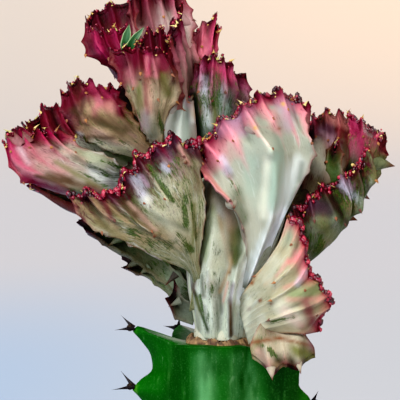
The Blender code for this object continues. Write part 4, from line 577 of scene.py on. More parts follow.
def margin(rib, z):
    """How far a wing's edge stands off the core: a shelf above each thorn pad, a slope below it."""
    below = ((rib["shift"] - z) / STEM_STEP) % 1.0
    if below < 0.52:
        swell = 1 - (below / 0.52) ** 0.8
    elif below < 0.9:
        swell = 0.0
    else:
        swell = (below - 0.9) / 0.1
    return rib["notch"] + (rib["blade"] - rib["notch"]) * swell


def stem_radius(turn, z):
    """The stem's radius at an angle in degrees and a height from the graft."""
    best = 0.0
    for rib in STEM_RIBS:
        off = abs((turn - rib["turn"] + 180) % 360 - 180) / 37.0
        if off < 1:
            start = min(1.0, max(0.0, (rib["top"] - z) / 4 + 1))
            best = max(best, margin(rib, z) * start * (1 - off) ** 1.9)
    low = z - (STEM_FOOT - GRAFT_HEIGHT)
    if low < 57:
        best *= 0.0
    slim = 0.82 + 0.18 * min(1.0, max(0.0, low - 57) / 12)
    return (STEM_CORE + best) * (0.9 if low < 57 else slim)


def stem_top(turn):
    """How high the stem's outer edge reaches above the graft at an angle."""
    rise = -1.3
    for rib in STEM_RIBS:
        off = abs((turn - rib["turn"] + 180) % 360 - 180) / 34.0
        if off < 1 and rib["top"] > -6:
            lift_here = -1.3 + (rib["top"] + 1.3) * (1 - off) ** 1.3
            rise = max(rise, lift_here) if rib["top"] > -1.3 else lift_here
    return rise


Look = namedtuple("Look", "edge flush reach body shade root green wine pale")

# Colours of each lobe, as sRGB bytes: the thin edge, the flush below it and how far it runs in mm,
# the skin on the ribs, the skin in the furrows, and the skin near the root. Then come the amounts
# of green streaks, wine streaks and pale streaks, from 0 to 1.
LOOKS = {
    "front_fan": Look((110, 16, 44), (210, 108, 128), 8, (158, 158, 140),
                      (138, 146, 130), (104, 108, 94), 0.1, 0.2, 0.3),
    "left_fan": Look((42, 6, 24), (84, 36, 58), 6.5, (172, 168, 134),
                     (96, 100, 54), (160, 156, 108), 0.6, 0.6, 0.5),
    "left_hand": Look((112, 12, 44), (150, 44, 72), 13, (168, 156, 140),
                      (118, 142, 120), (138, 160, 154), 0.45, 0.3, 0.6),
    "small_cup": Look((52, 3, 20), (76, 3, 28), 10.5, (190, 160, 124),
                      (92, 88, 44), (226, 212, 178), 0.65, 0.45, 0.15),
    "vase_front": Look((60, 3, 24), (64, 0, 26), 11.5, (216, 200, 164),
                       (118, 110, 62), (184, 184, 164), 0.5, 0.35, 0.2),
    "vase_back": Look((60, 0, 22), (100, 2, 40), 18, (104, 16, 46),
                      (48, 4, 20), (100, 60, 54), 0.2, 0.6, 0.05),
    "upper_bowl": Look((58, 0, 22), (98, 0, 38), 20, (102, 6, 42),
                       (46, 2, 18), (84, 44, 42), 0.25, 0.5, 0.0),
    "upper_bowl_back": Look((58, 0, 22), (92, 0, 36), 20, (98, 8, 42),
                            (46, 2, 18), (80, 44, 42), 0.2, 0.5, 0.0),
    "tall_fan": Look((80, 6, 34), (128, 26, 60), 13, (200, 176, 168),
                     (150, 122, 116), (200, 184, 166), 0.35, 0.3, 0.2),
    "pale_root": Look((170, 176, 170), (196, 202, 196), 2, (206, 210, 208),
                      (214, 220, 218), (204, 210, 206), 0.1, 0.0, 0.0),
    "centre_fan": Look((80, 6, 34), (166, 76, 112), 9, (140, 152, 152),
                       (54, 62, 42), (78, 92, 66), 0.65, 0.35, 0.35),
    "centre_back": Look((130, 22, 54), (200, 80, 114), 16, (190, 106, 128),
                        (110, 46, 66), (110, 86, 82), 0.2, 0.25, 0.15),
    "low_right_fan": Look((136, 20, 50), (210, 128, 118), 5, (172, 164, 132),
                          (140, 138, 102), (178, 178, 154), 0.3, 0.15, 0.35),
    "hanging_lobe": Look((120, 64, 60), (176, 128, 112), 2, (192, 182, 156),
                         (128, 126, 80), (96, 62, 56), 0.4, 0.2, 0.25),
    "right_front": Look((66, 6, 26), (92, 20, 46), 5, (108, 114, 92),
                        (34, 60, 28), (84, 112, 68), 0.9, 0.5, 0.4),
    "right_curl": Look((96, 8, 40), (132, 30, 64), 11, (100, 92, 82),
                       (50, 66, 40), (66, 92, 52), 0.7, 0.5, 0.3),
    "right_back": Look((110, 14, 36), (120, 30, 46), 9, (94, 72, 58),
                       (60, 46, 34), (206, 192, 158), 0.3, 0.4, 0.2),
    "right_horn": Look((60, 16, 26), (66, 44, 40), 3, (66, 88, 46),
                       (40, 62, 28), (56, 74, 36), 0.6, 0.3, 0.3),
    "left_wing": Look((60, 40, 34), (84, 72, 56), 4, (112, 116, 88),
                      (66, 76, 50), (124, 134, 108), 0.6, 0.3, 0.1),
    "low_wing": Look((66, 46, 38), (94, 84, 66), 3, (124, 134, 108),
                     (76, 88, 62), (134, 144, 118), 0.6, 0.2, 0.1),
    "neck_wing": Look((70, 46, 42), (108, 94, 80), 2, (140, 148, 126),
                      (90, 100, 76), (146, 156, 132), 0.5, 0.3, 0.2),
    "under_hand": Look((76, 12, 30), (90, 32, 38), 8, (88, 62, 44),
                       (54, 44, 30), (104, 98, 72), 0.5, 0.5, 0.1),
    "behind_hand": Look((110, 10, 36), (136, 36, 60), 12, (122, 62, 60),
                        (70, 36, 34), (96, 76, 60), 0.4, 0.5, 0.1),
    "rear_fan": Look((116, 16, 46), (188, 98, 116), 8, (190, 186, 160),
                     (130, 140, 104), (166, 172, 140), 0.5, 0.4, 0.35),
    "rear_right": Look((106, 14, 44), (170, 76, 98), 8, (178, 174, 146),
                       (112, 124, 86), (158, 164, 130), 0.55, 0.4, 0.35),
    "rear_low": Look((116, 18, 46), (190, 104, 108), 6, (192, 186, 158),
                     (138, 146, 108), (172, 176, 144), 0.5, 0.3, 0.35),
    "top_bridge": Look((82, 6, 36), (148, 76, 94), 11, (152, 122, 112),
                       (112, 92, 88), (138, 128, 112), 0.4, 0.3, 0.25),
    "right_bridge": Look((86, 8, 34), (110, 34, 54), 10, (120, 108, 82),
                         (52, 60, 34), (88, 96, 62), 0.7, 0.6, 0.25),
    "left_bridge": Look((106, 8, 42), (140, 36, 64), 9, (196, 176, 140),
                        (132, 128, 86), (196, 194, 154), 0.5, 0.4, 0.25),
    "centre_bridge": Look((116, 22, 48), (160, 70, 90), 6, (196, 186, 160),
                          (122, 120, 86), (188, 188, 154), 0.4, 0.3, 0.3),
    "left_rear": Look((106, 14, 44), (158, 60, 82), 10, (166, 152, 124),
                      (96, 104, 68), (136, 142, 106), 0.6, 0.5, 0.25),
    "inner_fan": Look((86, 10, 36), (112, 44, 66), 9, (120, 114, 84),
                      (58, 68, 40), (104, 112, 76), 0.6, 0.5, 0.15),
    "neck_folds": Look((190, 192, 174), (190, 192, 174), 1, (190, 194, 174),
                       (124, 124, 90), (200, 206, 190), 0.4, 0.1, 0.45),
    "trunk": Look((214, 216, 194), (214, 216, 194), 1, (220, 222, 200),
                  (150, 154, 118), (206, 212, 188), 0.4, 0.1, 0.3),
}

# The front view: where it looks, how far off the camera stands, how wide it sees, and its tilt.
VIEW_CENTRE = (0.0, -5.0, 203.0)
VIEW_DISTANCE = 900.0
VIEW_WIDTH = 100.0
VIEW_TILT = 3.0

# How the picture's dark tones are deepened: grey as rendered and as shown, in sRGB bytes.
DARK_TONES = ((40, 20), (52, 35), (66, 54), (90, 82), (115, 111), (142, 140), (170, 169), (210, 210))

# How far the broad swells of the skin rise, in mm.
SWELL = 1.1

# Ridges that are plain to see: the rib's number, how far below the edge it ends in a nose, and how
# high it stands there, in mm.
NOSES = {
    "front_fan": {0: (13, 1.4), 1: (5, 0.8), 2: (6, 0.9), 3: (14.8, 2.6), 4: (6, 0.7), 5: (4, 0.5),
                  6: (13, 2.2)},
    "left_fan": {0: (12, 0.8), 1: (9, 1.1), 2: (14.5, 1.8), 3: (8, 1.0), 4: (12, 1.3), 5: (6, 0.7),
                 6: (6, 1.2), 7: (4, 0.7)},
    "small_cup": {0: (7, 0.8), 1: (11.5, 1.7), 2: (6, 0.9), 3: (7, 0.9), 4: (9, 1.7), 5: (13.5, 1.5)},
    "vase_front": {0: (8, 1.1), 1: (10, 0.9), 2: (7, 1.9), 3: (12, 1.0), 4: (6, 1.0), 5: (11.5, 1.6)},
    "left_hand": {0: (10, 1.0), 1: (5, 0.7), 2: (6, 0.9), 3: (7, 1.5), 4: (12, 1.5), 5: (6, 0.8)},
    "centre_fan": {0: (4.5, 1.3), 1: (9, 1.0), 2: (12, 1.2), 3: (8.5, 1.7), 4: (6, 0.9), 5: (5, 0.9)},
    "low_right_fan": {0: (18, 0.9), 1: (6, 0.3), 2: (12, 1.9), 3: (13.5, 1.9), 4: (5, 0.3), 5: (18, 1.9),
                      6: (5, 0.3), 7: (5, 0.6)},
    "hanging_lobe": {1: (6, 0.9), 2: (4, 0.6), 3: (5, 0.7)},
    "right_front": {0: (6, 1.2), 1: (5, 0.5), 2: (8, 3.0), 3: (12, 0.9), 4: (10, 2.6), 5: (6, 0.9),
                    6: (10, 2.2)},
    "right_back": {1: (6, 1.2), 2: (8, 1.0), 3: (7, 1.2)},
    "right_curl": {0: (6, 1.0), 1: (6, 1.3), 2: (5, 1.1), 3: (5, 1.0)},
    "tall_fan": {0: (10, 1.2), 1: (14, 1.1), 2: (9, 0.7), 3: (13, 1.2), 4: (7, 1.1)},
    "upper_bowl": {0: (7, 1.0), 1: (9, 1.0), 2: (6, 0.7), 3: (8, 1.1), 4: (6, 0.8)},
    "centre_back": {0: (9, 1.2), 1: (5, 0.7), 2: (8, 1.2), 3: (5, 0.8)},
}

# Named paints in sRGB bytes.
PAINTS = {
    # Painted light, for shaded places and a highlight band.
    "snow": (248, 251, 255),
    "white": (216, 224, 224),
    # Painted highlight, bluish white.
    "lavender": (202, 202, 218),
    "cream": (208, 208, 186),
    "sage": (146, 168, 150),
    "blush": (208, 168, 150),
    "pink": (212, 120, 134),
    "coral": (200, 130, 122),
    "magenta": (198, 62, 106),
    "crimson": (104, 18, 44),
    "night": (46, 8, 22),
    "mauve": (172, 136, 158),
    "dusk": (82, 56, 72),
    "tan": (176, 148, 110),
    "bark": (86, 66, 48),
    "olive": (106, 108, 58),
    "moss": (128, 142, 96),
    "forest": (50, 64, 34),
    "scar": (118, 60, 30),
    "gold": (190, 152, 62),
}

# Patches on the lobes: x and z of the two ends as seen from the front, the half width, what it is,
# and how strong. What it is is a paint, or more of the green, wine or pale streaks. Some patches are
# painted highlights, painted light over shaded places or painted shade in hollows, creases and gaps;
# these are marked one by one.
PATCHES = {
    "front_fan": [
        # Painted highlight down the right side of the main ridge, on this line and the next.
        (24.5, 44, 20, 32, 1.8, "white", 0.6),
        (20, 32, 12, 15.5, 1.3, "white", 0.45),
        # Painted light over the side that turns away from the lamps.
        (21.2, 31, 14.5, 15.5, 1.3, "snow", 0.8),
        # Painted shade on the right side of the main ridge.
        (19.5, 50, 17.8, 36, 1.6, "sage", 0.6),
        (13.5, 49, 14.5, 35, 2.2, "sage", 0.25),
        (6.5, 42.5, 8, 39.5, 0.6, "green", 0.5),
        # Painted highlight, bluish white.
        (5.5, 45.5, 7, 42.5, 0.8, "lavender", 0.6),
        (0, 43.2, 8, 34.2, 0.35, "coral", 0.8),
        (11.2, 57, 14.5, 51, 0.3, "coral", 0.7),
        (5.2, 53.2, 8, 49.8, 0.35, "pink", 0.7),
        (15.5, 59, 17.5, 55.5, 0.3, "coral", 0.6),
        (1.5, 48.8, 4.5, 45.5, 0.35, "pink", 0.7),
        (8.8, 54.5, 10.2, 52, 1.2, "mauve", 0.6),
        (21, 58.5, 21.8, 53.5, 1.5, "mauve", 0.5),
        (13.8, 53, 13.8, 53, 0.4, "gold", 1.0),
        (19.8, 52.8, 19.8, 52.8, 0.5, "scar", 0.8),
        (20.8, 59, 20.8, 59, 0.4, "gold", 0.9),
        (12.8, 45, 12.2, 37.5, 1.2, "sage", 0.4),
        # Painted light on the lit left side of the main ridge; the next line paints shade on its right side.
        (16.6, 45, 15.8, 31, 0.9, "cream", 0.7),
        (19.3, 46, 18.4, 33, 0.9, "sage", 0.7),
        (8.6, 38.5, 11, 31, 1.2, "green", 0.6),
        (5.5, 52.5, 12, 57, 1.5, "mauve", 0.35),
        # Painted shade in the hollow under the left border.
        (9.4, 37, 11, 30, 1.1, "forest", 0.6),
        (6.8, 42.8, 7.6, 41, 0.8, "dusk", 0.5),
        (25.4, 44, 24.8, 40, 0.7, "forest", 0.5),
    ],
    "left_fan": [
        # Painted highlight streak, bluish white.
        (-16.2, 40.5, -13.2, 35, 1.0, "lavender", 0.75),
        # The painted highlight runs on, in cream.
        (-13.2, 35, -10, 29.5, 1.0, "cream", 0.5),
        (-13, 43.5, -7, 35, 0.6, "green", 1.2),
        (-3.8, 35.8, -3.5, 28.5, 0.7, "green", 0.9),
        (-2, 33.8, -1.2, 25.5, 0.7, "green", 0.8),
        (-8.8, 47.5, -2.5, 47.5, 1.8, "dusk", 0.5),
        # Painted shade in three creases that run down from the rim.
        (-7.5, 50, -5.8, 47, 0.35, "night", 0.9),
        (-2.5, 50, 0.5, 44.5, 0.4, "night", 0.9),
        (-12.5, 48, -11.2, 45.8, 0.35, "night", 0.9),
        (-10, 48.8, -7.5, 45, 0.4, "crimson", 0.9),
        (-5, 48.5, -2.5, 44, 0.5, "blush", 0.7),
        # Painted glint.
        (-8.8, 43.4, -8, 42.6, 0.7, "lavender", 0.7),
        (-23.8, 35, -20.8, 28, 0.4, "night", 0.8),
        (-17.5, 34.5, -13.4, 30.2, 0.4, "bark", 0.8),
        (-27, 35.6, -24.5, 31, 0.4, "night", 0.7),
        (-14.5, 41, -12.8, 38.5, 0.5, "mauve", 0.7),
        (-12, 31.5, -8.8, 29, 0.9, "forest", 0.5),
        (-10, 30.5, -3, 27.5, 0.6, "forest", 0.6),
        (-1.4, 34, -1.8, 24, 0.4, "olive", 0.8),
        (-7.5, 45, -5, 42, 1.2, "mauve", 0.4),
        (-5, 48, -3, 44, 0.4, "coral", 0.6),
        (-31.2, 35, -24.5, 28.8, 0.5, "tan", 0.7),
        (-27, 35.5, -21.2, 27.8, 0.5, "tan", 0.7),
        (-23, 34.2, -16.5, 27.8, 0.6, "tan", 0.7),
        (-24, 35.2, -22.5, 30.5, 0.6, "crimson", 0.7),
        (-29, 34.5, -23.5, 28.2, 0.4, "bark", 0.8),
        (-26, 29.5, -18.5, 25, 0.8, "olive", 0.6),
        (-17.5, 27, -7.5, 23.8, 1.2, "green", 0.8),
        (-14, 26.5, -5, 24.5, 1.6, "tan", 0.6),
        (-5.5, 26.2, -2.5, 22.5, 1.0, "green", 0.9),
        (-18, 34.2, -11, 27.2, 0.5, "blush", 0.7),
        (-16, 31.5, -10.5, 25.5, 0.6, "bark", 0.7),
        (-10, 40.5, -6, 31.5, 1.0, "cream", 0.4),
        (-8.8, 31.2, -5, 25, 1.2, "cream", 0.4),
        (-19, 34, -16.8, 31, 0.9, "bark", 0.7),
        (-26, 30, -24, 27.5, 1.2, "bark", 0.4),
        (-12, 30, -10, 27.5, 1.0, "bark", 0.3),
        (-20, 26.5, -14, 24.5, 1.3, "tan", 0.5),
        (-5, 43, 0, 43, 1.5, "bark", 0.35),
        (-0.8, 41, -0.8, 37.5, 1.1, "bark", 0.6),
    ],
    "neck_folds": [
        (4, 14, 4.5, 3, 0.8, "forest", 0.35),
        # Painted highlight at the top of the fold.
        (3.8, 34, 5.5, 31, 0.8, "lavender", 0.3),
        (2, 31, 3.5, 23.5, 0.3, "green", 0.6),
        # Painted shade in the hollow under the front fan.
        (9.5, 34, 10.5, 26, 1.2, "forest", 0.45),
        (1.2, 37, 0.6, 22, 1.2, "moss", 0.5),
        # Painted shade in the hollow under the front fan.
        (8.8, 27, 8.6, 19.5, 1.2, "forest", 0.9),
        (7, 32.5, 7.8, 28, 1.0, "blush", 0.6),
        (-1.4, 12, 0, 7.5, 0.35, "forest", 1.0),
        (0, 7.5, 1.9, 2.5, 0.35, "forest", 1.0),
        (3.2, 34, 4.6, 29, 0.8, "moss", 0.4),
        (6.2, 29.5, 7.8, 25, 1.2, "tan", 0.5),
        (1.2, 33, -0.8, 18.5, 0.5, "bark", 0.95),
        (-0.8, 18.5, -2, 11.5, 0.5, "bark", 0.9),
        (3.2, 33, 1, 20, 0.7, "moss", 0.6),
        (9, 31, 8.4, 20, 1.2, "olive", 0.5),
        (0.5, 16, 0.8, 11, 0.4, "forest", 0.7),
        (4.8, 13, 5.4, 7, 0.4, "forest", 0.5),
        (1.2, 32, 1.2, 32, 0.3, "scar", 1.0),
        (-0.8, 18.5, -0.8, 18.5, 0.4, "scar", 1.0),
        (7.2, 16.8, 7.2, 16.8, 0.4, "scar", 1.0),
        (7, 14.5, 5.8, 9.5, 0.3, "blush", 0.7),
        (8, 22, 7.4, 17, 0.4, "bark", 0.6),
        (0, 11.2, 1.5, 3.5, 0.4, "green", 0.7),
        (3, 13.8, 2.5, 10, 0.4, "green", 0.5),
        (18.8, 26.8, 13, 19.8, 0.5, "forest", 1.0),
        (8.2, 13.8, 7.6, 10, 0.4, "bark", 1.0),
        (7.6, 10, 7.8, 1, 0.45, "bark", 1.0),
        # Painted highlight band down the right of the fold.
        (12.5, 19, 9.5, 11, 1.4, "snow", 0.6),
        (7.5, 18.2, 5, 12, 0.4, "tan", 0.7),
        (4.6, 31, 7.6, 19, 0.5, "tan", 0.6),
        (1.8, 17, 2.4, 12, 0.4, "forest", 0.5),
        (1, 8, 2, 2, 0.4, "forest", 0.5),
        (4.2, 9, 4.6, 3, 0.3, "forest", 0.4),
        (3.5, 20, 3, 15, 1.0, "cream", 0.4),
        (5.5, 26, 6, 19, 1.0, "cream", 0.5),
        (3.6, 37, 9, 31, 2.2, "bark", 0.7),
        # Painted shade under the front fan's left edge.
        (9.8, 37, 11.5, 30, 1.3, "forest", 0.6),
        (1.8, 38.5, 1.8, 33, 1.0, "bark", 0.6),
        # Painted shade in the hollow under the front fan.
        (10, 27, 9.8, 21, 1.1, "forest", 0.7),
        (-0.8, 10, -0.2, 2.5, 0.5, "olive", 0.5),
    ],
    "low_right_fan": [
        (18.8, 25, 15.8, 20.2, 0.4, "tan", 0.8),
        (15.8, 20.2, 13, 14.2, 0.4, "tan", 0.8),
        (13, 14.2, 9, 11.2, 0.4, "tan", 0.7),
        (15.8, 20.2, 15.8, 20.2, 0.4, "scar", 1.0),
        (13, 14.2, 13, 14.2, 0.4, "scar", 1.0),
        (12.2, 7.8, 12.2, 7.8, 0.4, "scar", 1.0),
        (15, 9.8, 15, 9.8, 0.4, "scar", 1.0),
        (17.8, 9, 17.8, 9, 0.3, "scar", 1.0),
        (16.5, 14, 19, 16, 0.4, "tan", 0.8),
        (19, 16, 22, 19.8, 0.4, "coral", 0.6),
        (21.2, 29.5, 22.5, 25.5, 1.5, "sage", 0.3),
        (20.5, 30.5, 24, 31, 1.2, "coral", 0.85),
        (23.5, 11, 29, 13, 1.1, "moss", 0.9),
        (22.5, 19.5, 26, 21.5, 0.5, "coral", 0.8),
        (21.2, 13, 28, 16.2, 0.4, "coral", 0.5),
        (22, 10, 30, 10.2, 0.5, "coral", 0.5),
        # Painted highlight, bluish white.
        (24.5, 14, 26.5, 17, 0.6, "lavender", 0.6),
        (21.2, 7, 25.5, 3.5, 1.0, "pink", 0.4),
        (18, 4.5, 23.5, 5.8, 0.5, "green", 0.9),
        (20, 8, 24, 5, 1.6, "cream", 0.6),
        (25.8, 2.5, 28.5, 4.5, 0.8, "bark", 0.7),
        (15.5, 5.5, 14.5, 2.5, 0.8, "cream", 0.5),
        (19, 19.5, 17.5, 15, 1.2, "cream", 0.5),
        (12.5, 10, 11, 2.5, 0.6, "cream", 0.6),
        (27, 8.5, 28.5, 4, 1.3, "crimson", 0.8),
        (27, 1, 27.6, -1.5, 1.2, "dusk", 0.7),
        (24.5, 21.5, 26, 16, 0.9, "pink", 0.45),
    ],
    "hanging_lobe": [
        (12, -0.8, 20, 0.4, 0.45, "scar", 0.8),
        (20, 0.4, 28.5, -1.6, 0.45, "scar", 0.8),
        (14, -4.5, 21, -7, 0.5, "tan", 0.6),
        (24, -2.5, 28, -4.5, 1.3, "olive", 1.0),
        (13, -2.5, 14.5, -5.5, 0.8, "moss", 0.7),
        (17.5, -2.5, 19, -4, 0.6, "green", 1.1),
        (15.5, -1.5, 15.5, -1.5, 0.4, "green", 0.8),
        (21.2, -5, 21.2, -5, 0.5, "green", 0.7),
        (17, -6.8, 18, -9, 0.5, "pink", 0.5),
        (14.5, -3, 17, -5.5, 1.0, "blush", 0.6),
        (27, 1, 28, -1.5, 1.2, "dusk", 0.7),
    ],
    "left_hand": [
        (-45.2, 47.8, -43, 44.2, 0.6, "white", 0.8),
        (-47, 47.5, -41.5, 40.5, 2.2, "magenta", 0.6),
        (-38.8, 45.5, -35, 42, 2.0, "pink", 0.4),
        (-28.8, 45, -19.5, 39, 0.5, "green", 0.8),
        (-30, 42, -22.5, 37.8, 0.4, "green", 0.6),
        (-24.5, 45, -17, 42, 0.5, "green", 0.8),
        (-27, 42.2, -20, 38.5, 1.2, "white", 0.45),
        (-28, 45.8, -24.5, 43.5, 1.0, "cream", 0.6),
        (-41, 41, -36.5, 40, 0.5, "bark", 1.0),
        (-36.5, 40, -32, 37.4, 0.6, "bark", 1.0),
        (-32, 37.4, -26, 36, 0.8, "forest", 0.8),
        (-34, 40, -27, 38, 0.7, "bark", 0.8),
        (-44, 40.2, -34, 37, 1.1, "crimson", 1.0),
        (-38, 41.2, -32.5, 39.6, 0.9, "bark", 0.9),
        (-36, 44.5, -24, 37.5, 0.5, "olive", 0.7),
        (-33.5, 47.5, -29, 45, 0.8, "blush", 0.6),
        (-30, 46.5, -24, 44.8, 1.3, "moss", 0.5),
        (-27, 37, -21, 35, 1.2, "crimson", 0.6),
        (-22, 39, -19.5, 37.2, 1.1, "night", 0.7),
    ],
    "small_cup": [
        (-34, 62, -32.5, 54, 3.0, "crimson", 0.9),
        (-28, 62, -20, 59, 1.6, "crimson", 0.6),
        (-27.5, 63, -23.5, 60.8, 1.5, "magenta", 0.7),
        (-27, 55, -22, 52.8, 0.7, "green", 0.6),
        (-24, 54.6, -19.5, 51, 0.5, "bark", 0.6),
        (-29.5, 49.8, -25, 47.2, 0.9, "green", 1.0),
        (-25, 50.8, -18.5, 46.6, 0.5, "olive", 0.7),
        (-20, 49.8, -17, 47, 0.7, "green", 0.8),
        (-26, 52, -20, 48.5, 1.2, "blush", 0.6),
        # Painted highlight on the nose tip.
        (-17.6, 51.6, -16.2, 50.8, 0.3, "blush", 0.8),
        (-31, 46.5, -20, 42.5, 1.4, "tan", 0.5),
        (-31, 58.5, -30, 54, 0.5, "night", 0.7),
        (-25, 59, -20.5, 57, 1.0, "coral", 0.4),
        (-23, 52.5, -19, 49.5, 0.8, "tan", 0.5),
        (-21, 60, -20, 56.5, 0.8, "crimson", 0.6),
        (-33.5, 52, -29, 47.5, 1.2, "crimson", 0.5),
        (-31.5, 57.2, -25, 54.6, 0.8, "bark", 0.8),
        (-25, 54.2, -19, 52.4, 0.7, "forest", 0.8),
        (-30.5, 51.6, -29.8, 51.2, 0.6, "white", 0.5),
        (-30, 48.2, -18.5, 44.6, 0.35, "bark", 1.0),
        (-25, 49.6, -18.5, 45.6, 0.5, "green", 0.9),
        (-25, 61, -26.4, 56.5, 0.7, "pink", 0.6),
        (-22.5, 58.8, -22.5, 57.8, 0.9, "coral", 0.5),
        (-33, 60.5, -22, 62.5, 1.4, "crimson", 0.5),
        (-20.8, 62.5, -19.6, 56.5, 0.8, "crimson", 0.9),
        (-28.6, 62, -29.6, 57, 0.5, "night", 0.6),
        (-24, 48, -16.5, 45.5, 1.3, "cream", 0.7),
        (-30, 50.5, -21.5, 50.5, 0.5, "bark", 0.7),
        (-26, 55.5, -18, 53.5, 1.4, "bark", 0.75),
        (-21.5, 52, -17.5, 51, 1.1, "bark", 0.5),
        (-26, 48.8, -17, 47.4, 1.0, "cream", 0.8),
        (-33, 55.5, -32, 53, 1.3, "night", 0.7),
    ],
    "vase_front": [
        (-20.5, 70, -19, 64.5, 1.2, "crimson", 0.8),
        # Painted highlight.
        (-13.2, 71, -12.8, 66.5, 0.7, "magenta", 0.9),
        (-10, 70.5, -9, 66, 1.0, "crimson", 0.7),
        (-15.5, 64, -14.5, 58.5, 0.8, "olive", 0.8),
        (-9.2, 66.2, -8, 61.5, 1.0, "olive", 0.9),
        (-18.2, 59, -16.5, 55, 0.8, "olive", 0.5),
        (-10.5, 56.5, -9, 52, 0.8, "green", 1.0),
        (-16.5, 61.2, -13, 54.5, 1.0, "tan", 0.4),
        (-12.5, 64, -11.8, 57, 0.8, "blush", 0.5),
        (-13, 55.5, -11.5, 50.5, 1.5, "cream", 0.45),
        (-24, 67, -21, 60, 0.9, "crimson", 0.6),
        (-17.5, 67.5, -16.5, 64, 0.8, "pink", 0.5),
        (-20.5, 71, -19.6, 58, 0.7, "crimson", 0.7),
        (-19, 70.5, -8, 69.5, 2.0, "crimson", 0.6),
        (-16, 71, -15.6, 66, 0.9, "crimson", 0.6),
        (-11, 69.8, -10.9, 66, 0.7, "pink", 0.6),
        (-13.2, 66, -13, 57.5, 0.9, "coral", 0.5),
        (-13.8, 65.5, -13.6, 59, 0.4, "crimson", 0.5),
        (-11, 63, -10.8, 57, 0.8, "bark", 0.45),
        (-8.8, 65, -8.8, 63, 0.8, "bark", 0.5),
        (-13.2, 70.5, -13.4, 66, 0.4, "pink", 0.8),
        (-6.6, 70, -6.6, 64.5, 0.5, "night", 0.7),
        (-9, 69, -9, 67.8, 1.0, "crimson", 0.8),
        (-10, 56, -11.6, 51.5, 0.9, "forest", 0.5),
        (-14, 56, -14, 54, 1.2, "mauve", 0.5),
        (-13.5, 63.5, -13, 56.5, 0.4, "crimson", 0.4),
        (-15.3, 63, -15.6, 58.5, 0.4, "olive", 0.6),
        (-7.6, 53.5, -7, 50.5, 1.1, "white", 0.5),
    ],
    "upper_bowl": [
        # Painted highlights, on this line and the next.
        (-26.2, 76.5, -25, 72.5, 0.8, "magenta", 0.8),
        (-21.2, 77.5, -20, 73.5, 1.0, "magenta", 0.5),
        # Painted shadow.
        (-28.8, 75, -26, 71, 0.8, "night", 0.7),
        (-28, 77.5, -19, 72.5, 2.6, "crimson", 0.5),
        (-23.5, 79, -22, 72, 0.8, "crimson", 0.6),
        (-18.8, 83, -18.8, 80, 2.5, "crimson", 0.9),
        (-12.5, 81, -12.5, 77, 1.8, "dusk", 0.7),
    ],
    "tall_fan": [
        (-2.5, 63.5, -3.5, 57, 1.0, "green", 0.9),
        (-5.5, 81.2, -6, 70, 0.8, "magenta", 0.4),
        (-7, 67.5, -5.5, 60, 1.4, "cream", 0.4),
        (0, 76, 0.2, 71, 1.5, "pink", 0.8),
        (-13.5, 84, -12, 77.5, 1.8, "crimson", 0.7),
        (-1, 77, -0.8, 74.5, 0.8, "coral", 0.7),
    ],
    "centre_fan": [
        # Painted highlight, white and then bluish on the next line.
        (0.8, 62, 2.2, 54.5, 1.0, "white", 0.7),
        (0.8, 65.5, 1.2, 62.5, 0.8, "lavender", 0.6),
        # Painted shade in the gap beside the pale root.
        (-1.2, 61.2, -0.8, 52, 0.9, "forest", 0.9),
        (3.5, 58, 4.2, 52.5, 0.8, "olive", 0.8),
        (3.2, 68.5, 7.5, 66, 1.2, "magenta", 0.8),
        (8.2, 64, 10, 59.5, 1.0, "crimson", 0.6),
        (6, 60, 7, 54.5, 1.0, "sage", 0.5),
    ],
    "top_bridge": [
        (-0.5, 78, 0.2, 71, 1.3, "pink", 0.7),
        (-1.8, 69.5, -1.8, 63.5, 0.9, "night", 0.6),
    ],
    "centre_back": [
        (-0.5, 78, 0.2, 71, 1.3, "pink", 0.7),
        (-1.8, 69.5, -1.8, 63.5, 0.9, "night", 0.6),
    ],
    "pale_root": [
        (-8, 58, -5, 50, 2.4, "moss", 0.25),
        (-4.2, 60, -3.6, 50, 1.0, "sage", 0.5),
        # Painted shade in the gap beside the centre fan.
        (-1.5, 53.5, -1.4, 47, 0.8, "bark", 0.8),
        (-2, 62, -1.4, 56, 0.9, "tan", 0.5),
        (-6, 62, -3, 59, 1.0, "mauve", 0.5),
    ],
    "inner_fan": [
        # Painted light over the shaded gap below the small cup, in the tone of the cup's lit underside.
        (-31, 48.8, -15, 45, 2.4, "cream", 0.9),
        (-27, 49.6, -18, 46, 0.8, "moss", 1.0),
        (-24, 47.6, -17, 44.6, 0.6, "forest", 0.9),
        (-23, 46.5, -17, 45, 1.2, "moss", 0.5),
    ],
    "right_front": [
        (33.5, 34, 37.5, 31, 1.7, "forest", 0.7),
        (30.5, 35.5, 32, 32, 1.0, "forest", 0.9),
        (45.5, 45, 43.5, 40.5, 1.2, "olive", 0.7),
        (25.8, 35.5, 31, 32.5, 1.7, "dusk", 0.7),
        (33.8, 41, 37.5, 38.5, 1.0, "mauve", 0.6),
        # Painted highlight, bluish white.
        (35, 39.2, 38, 36, 0.8, "lavender", 0.6),
        (43, 45.5, 46.5, 42.5, 1.3, "moss", 0.7),
        (33, 35.5, 37.5, 28, 0.5, "night", 0.7),
        (32.5, 48, 32.5, 41, 1.6, "blush", 0.35),
        (40.8, 42, 42.8, 36.5, 0.4, "night", 0.7),
        (30.5, 29.5, 34.5, 23.5, 1.2, "olive", 0.6),
        (39.5, 40.5, 41.5, 36, 1.0, "forest", 0.6),
    ],
    "right_curl": [
        (38.5, 54, 40.8, 48, 2.0, "magenta", 0.6),
        (43, 47.5, 46, 44, 1.0, "olive", 0.7),
        (41.5, 48, 41.5, 45.5, 1.5, "crimson", 0.45),
    ],
    "right_back": [
        (32.5, 55.2, 36.5, 54, 1.0, "coral", 0.5),
        (30.5, 55.5, 31.5, 50, 0.9, "bark", 0.9),
        (27.8, 54, 29, 49.5, 1.2, "dusk", 0.6),
        (28.5, 46, 33, 42, 1.7, "cream", 0.9),
        (32.5, 48, 32.5, 41, 1.6, "blush", 0.35),
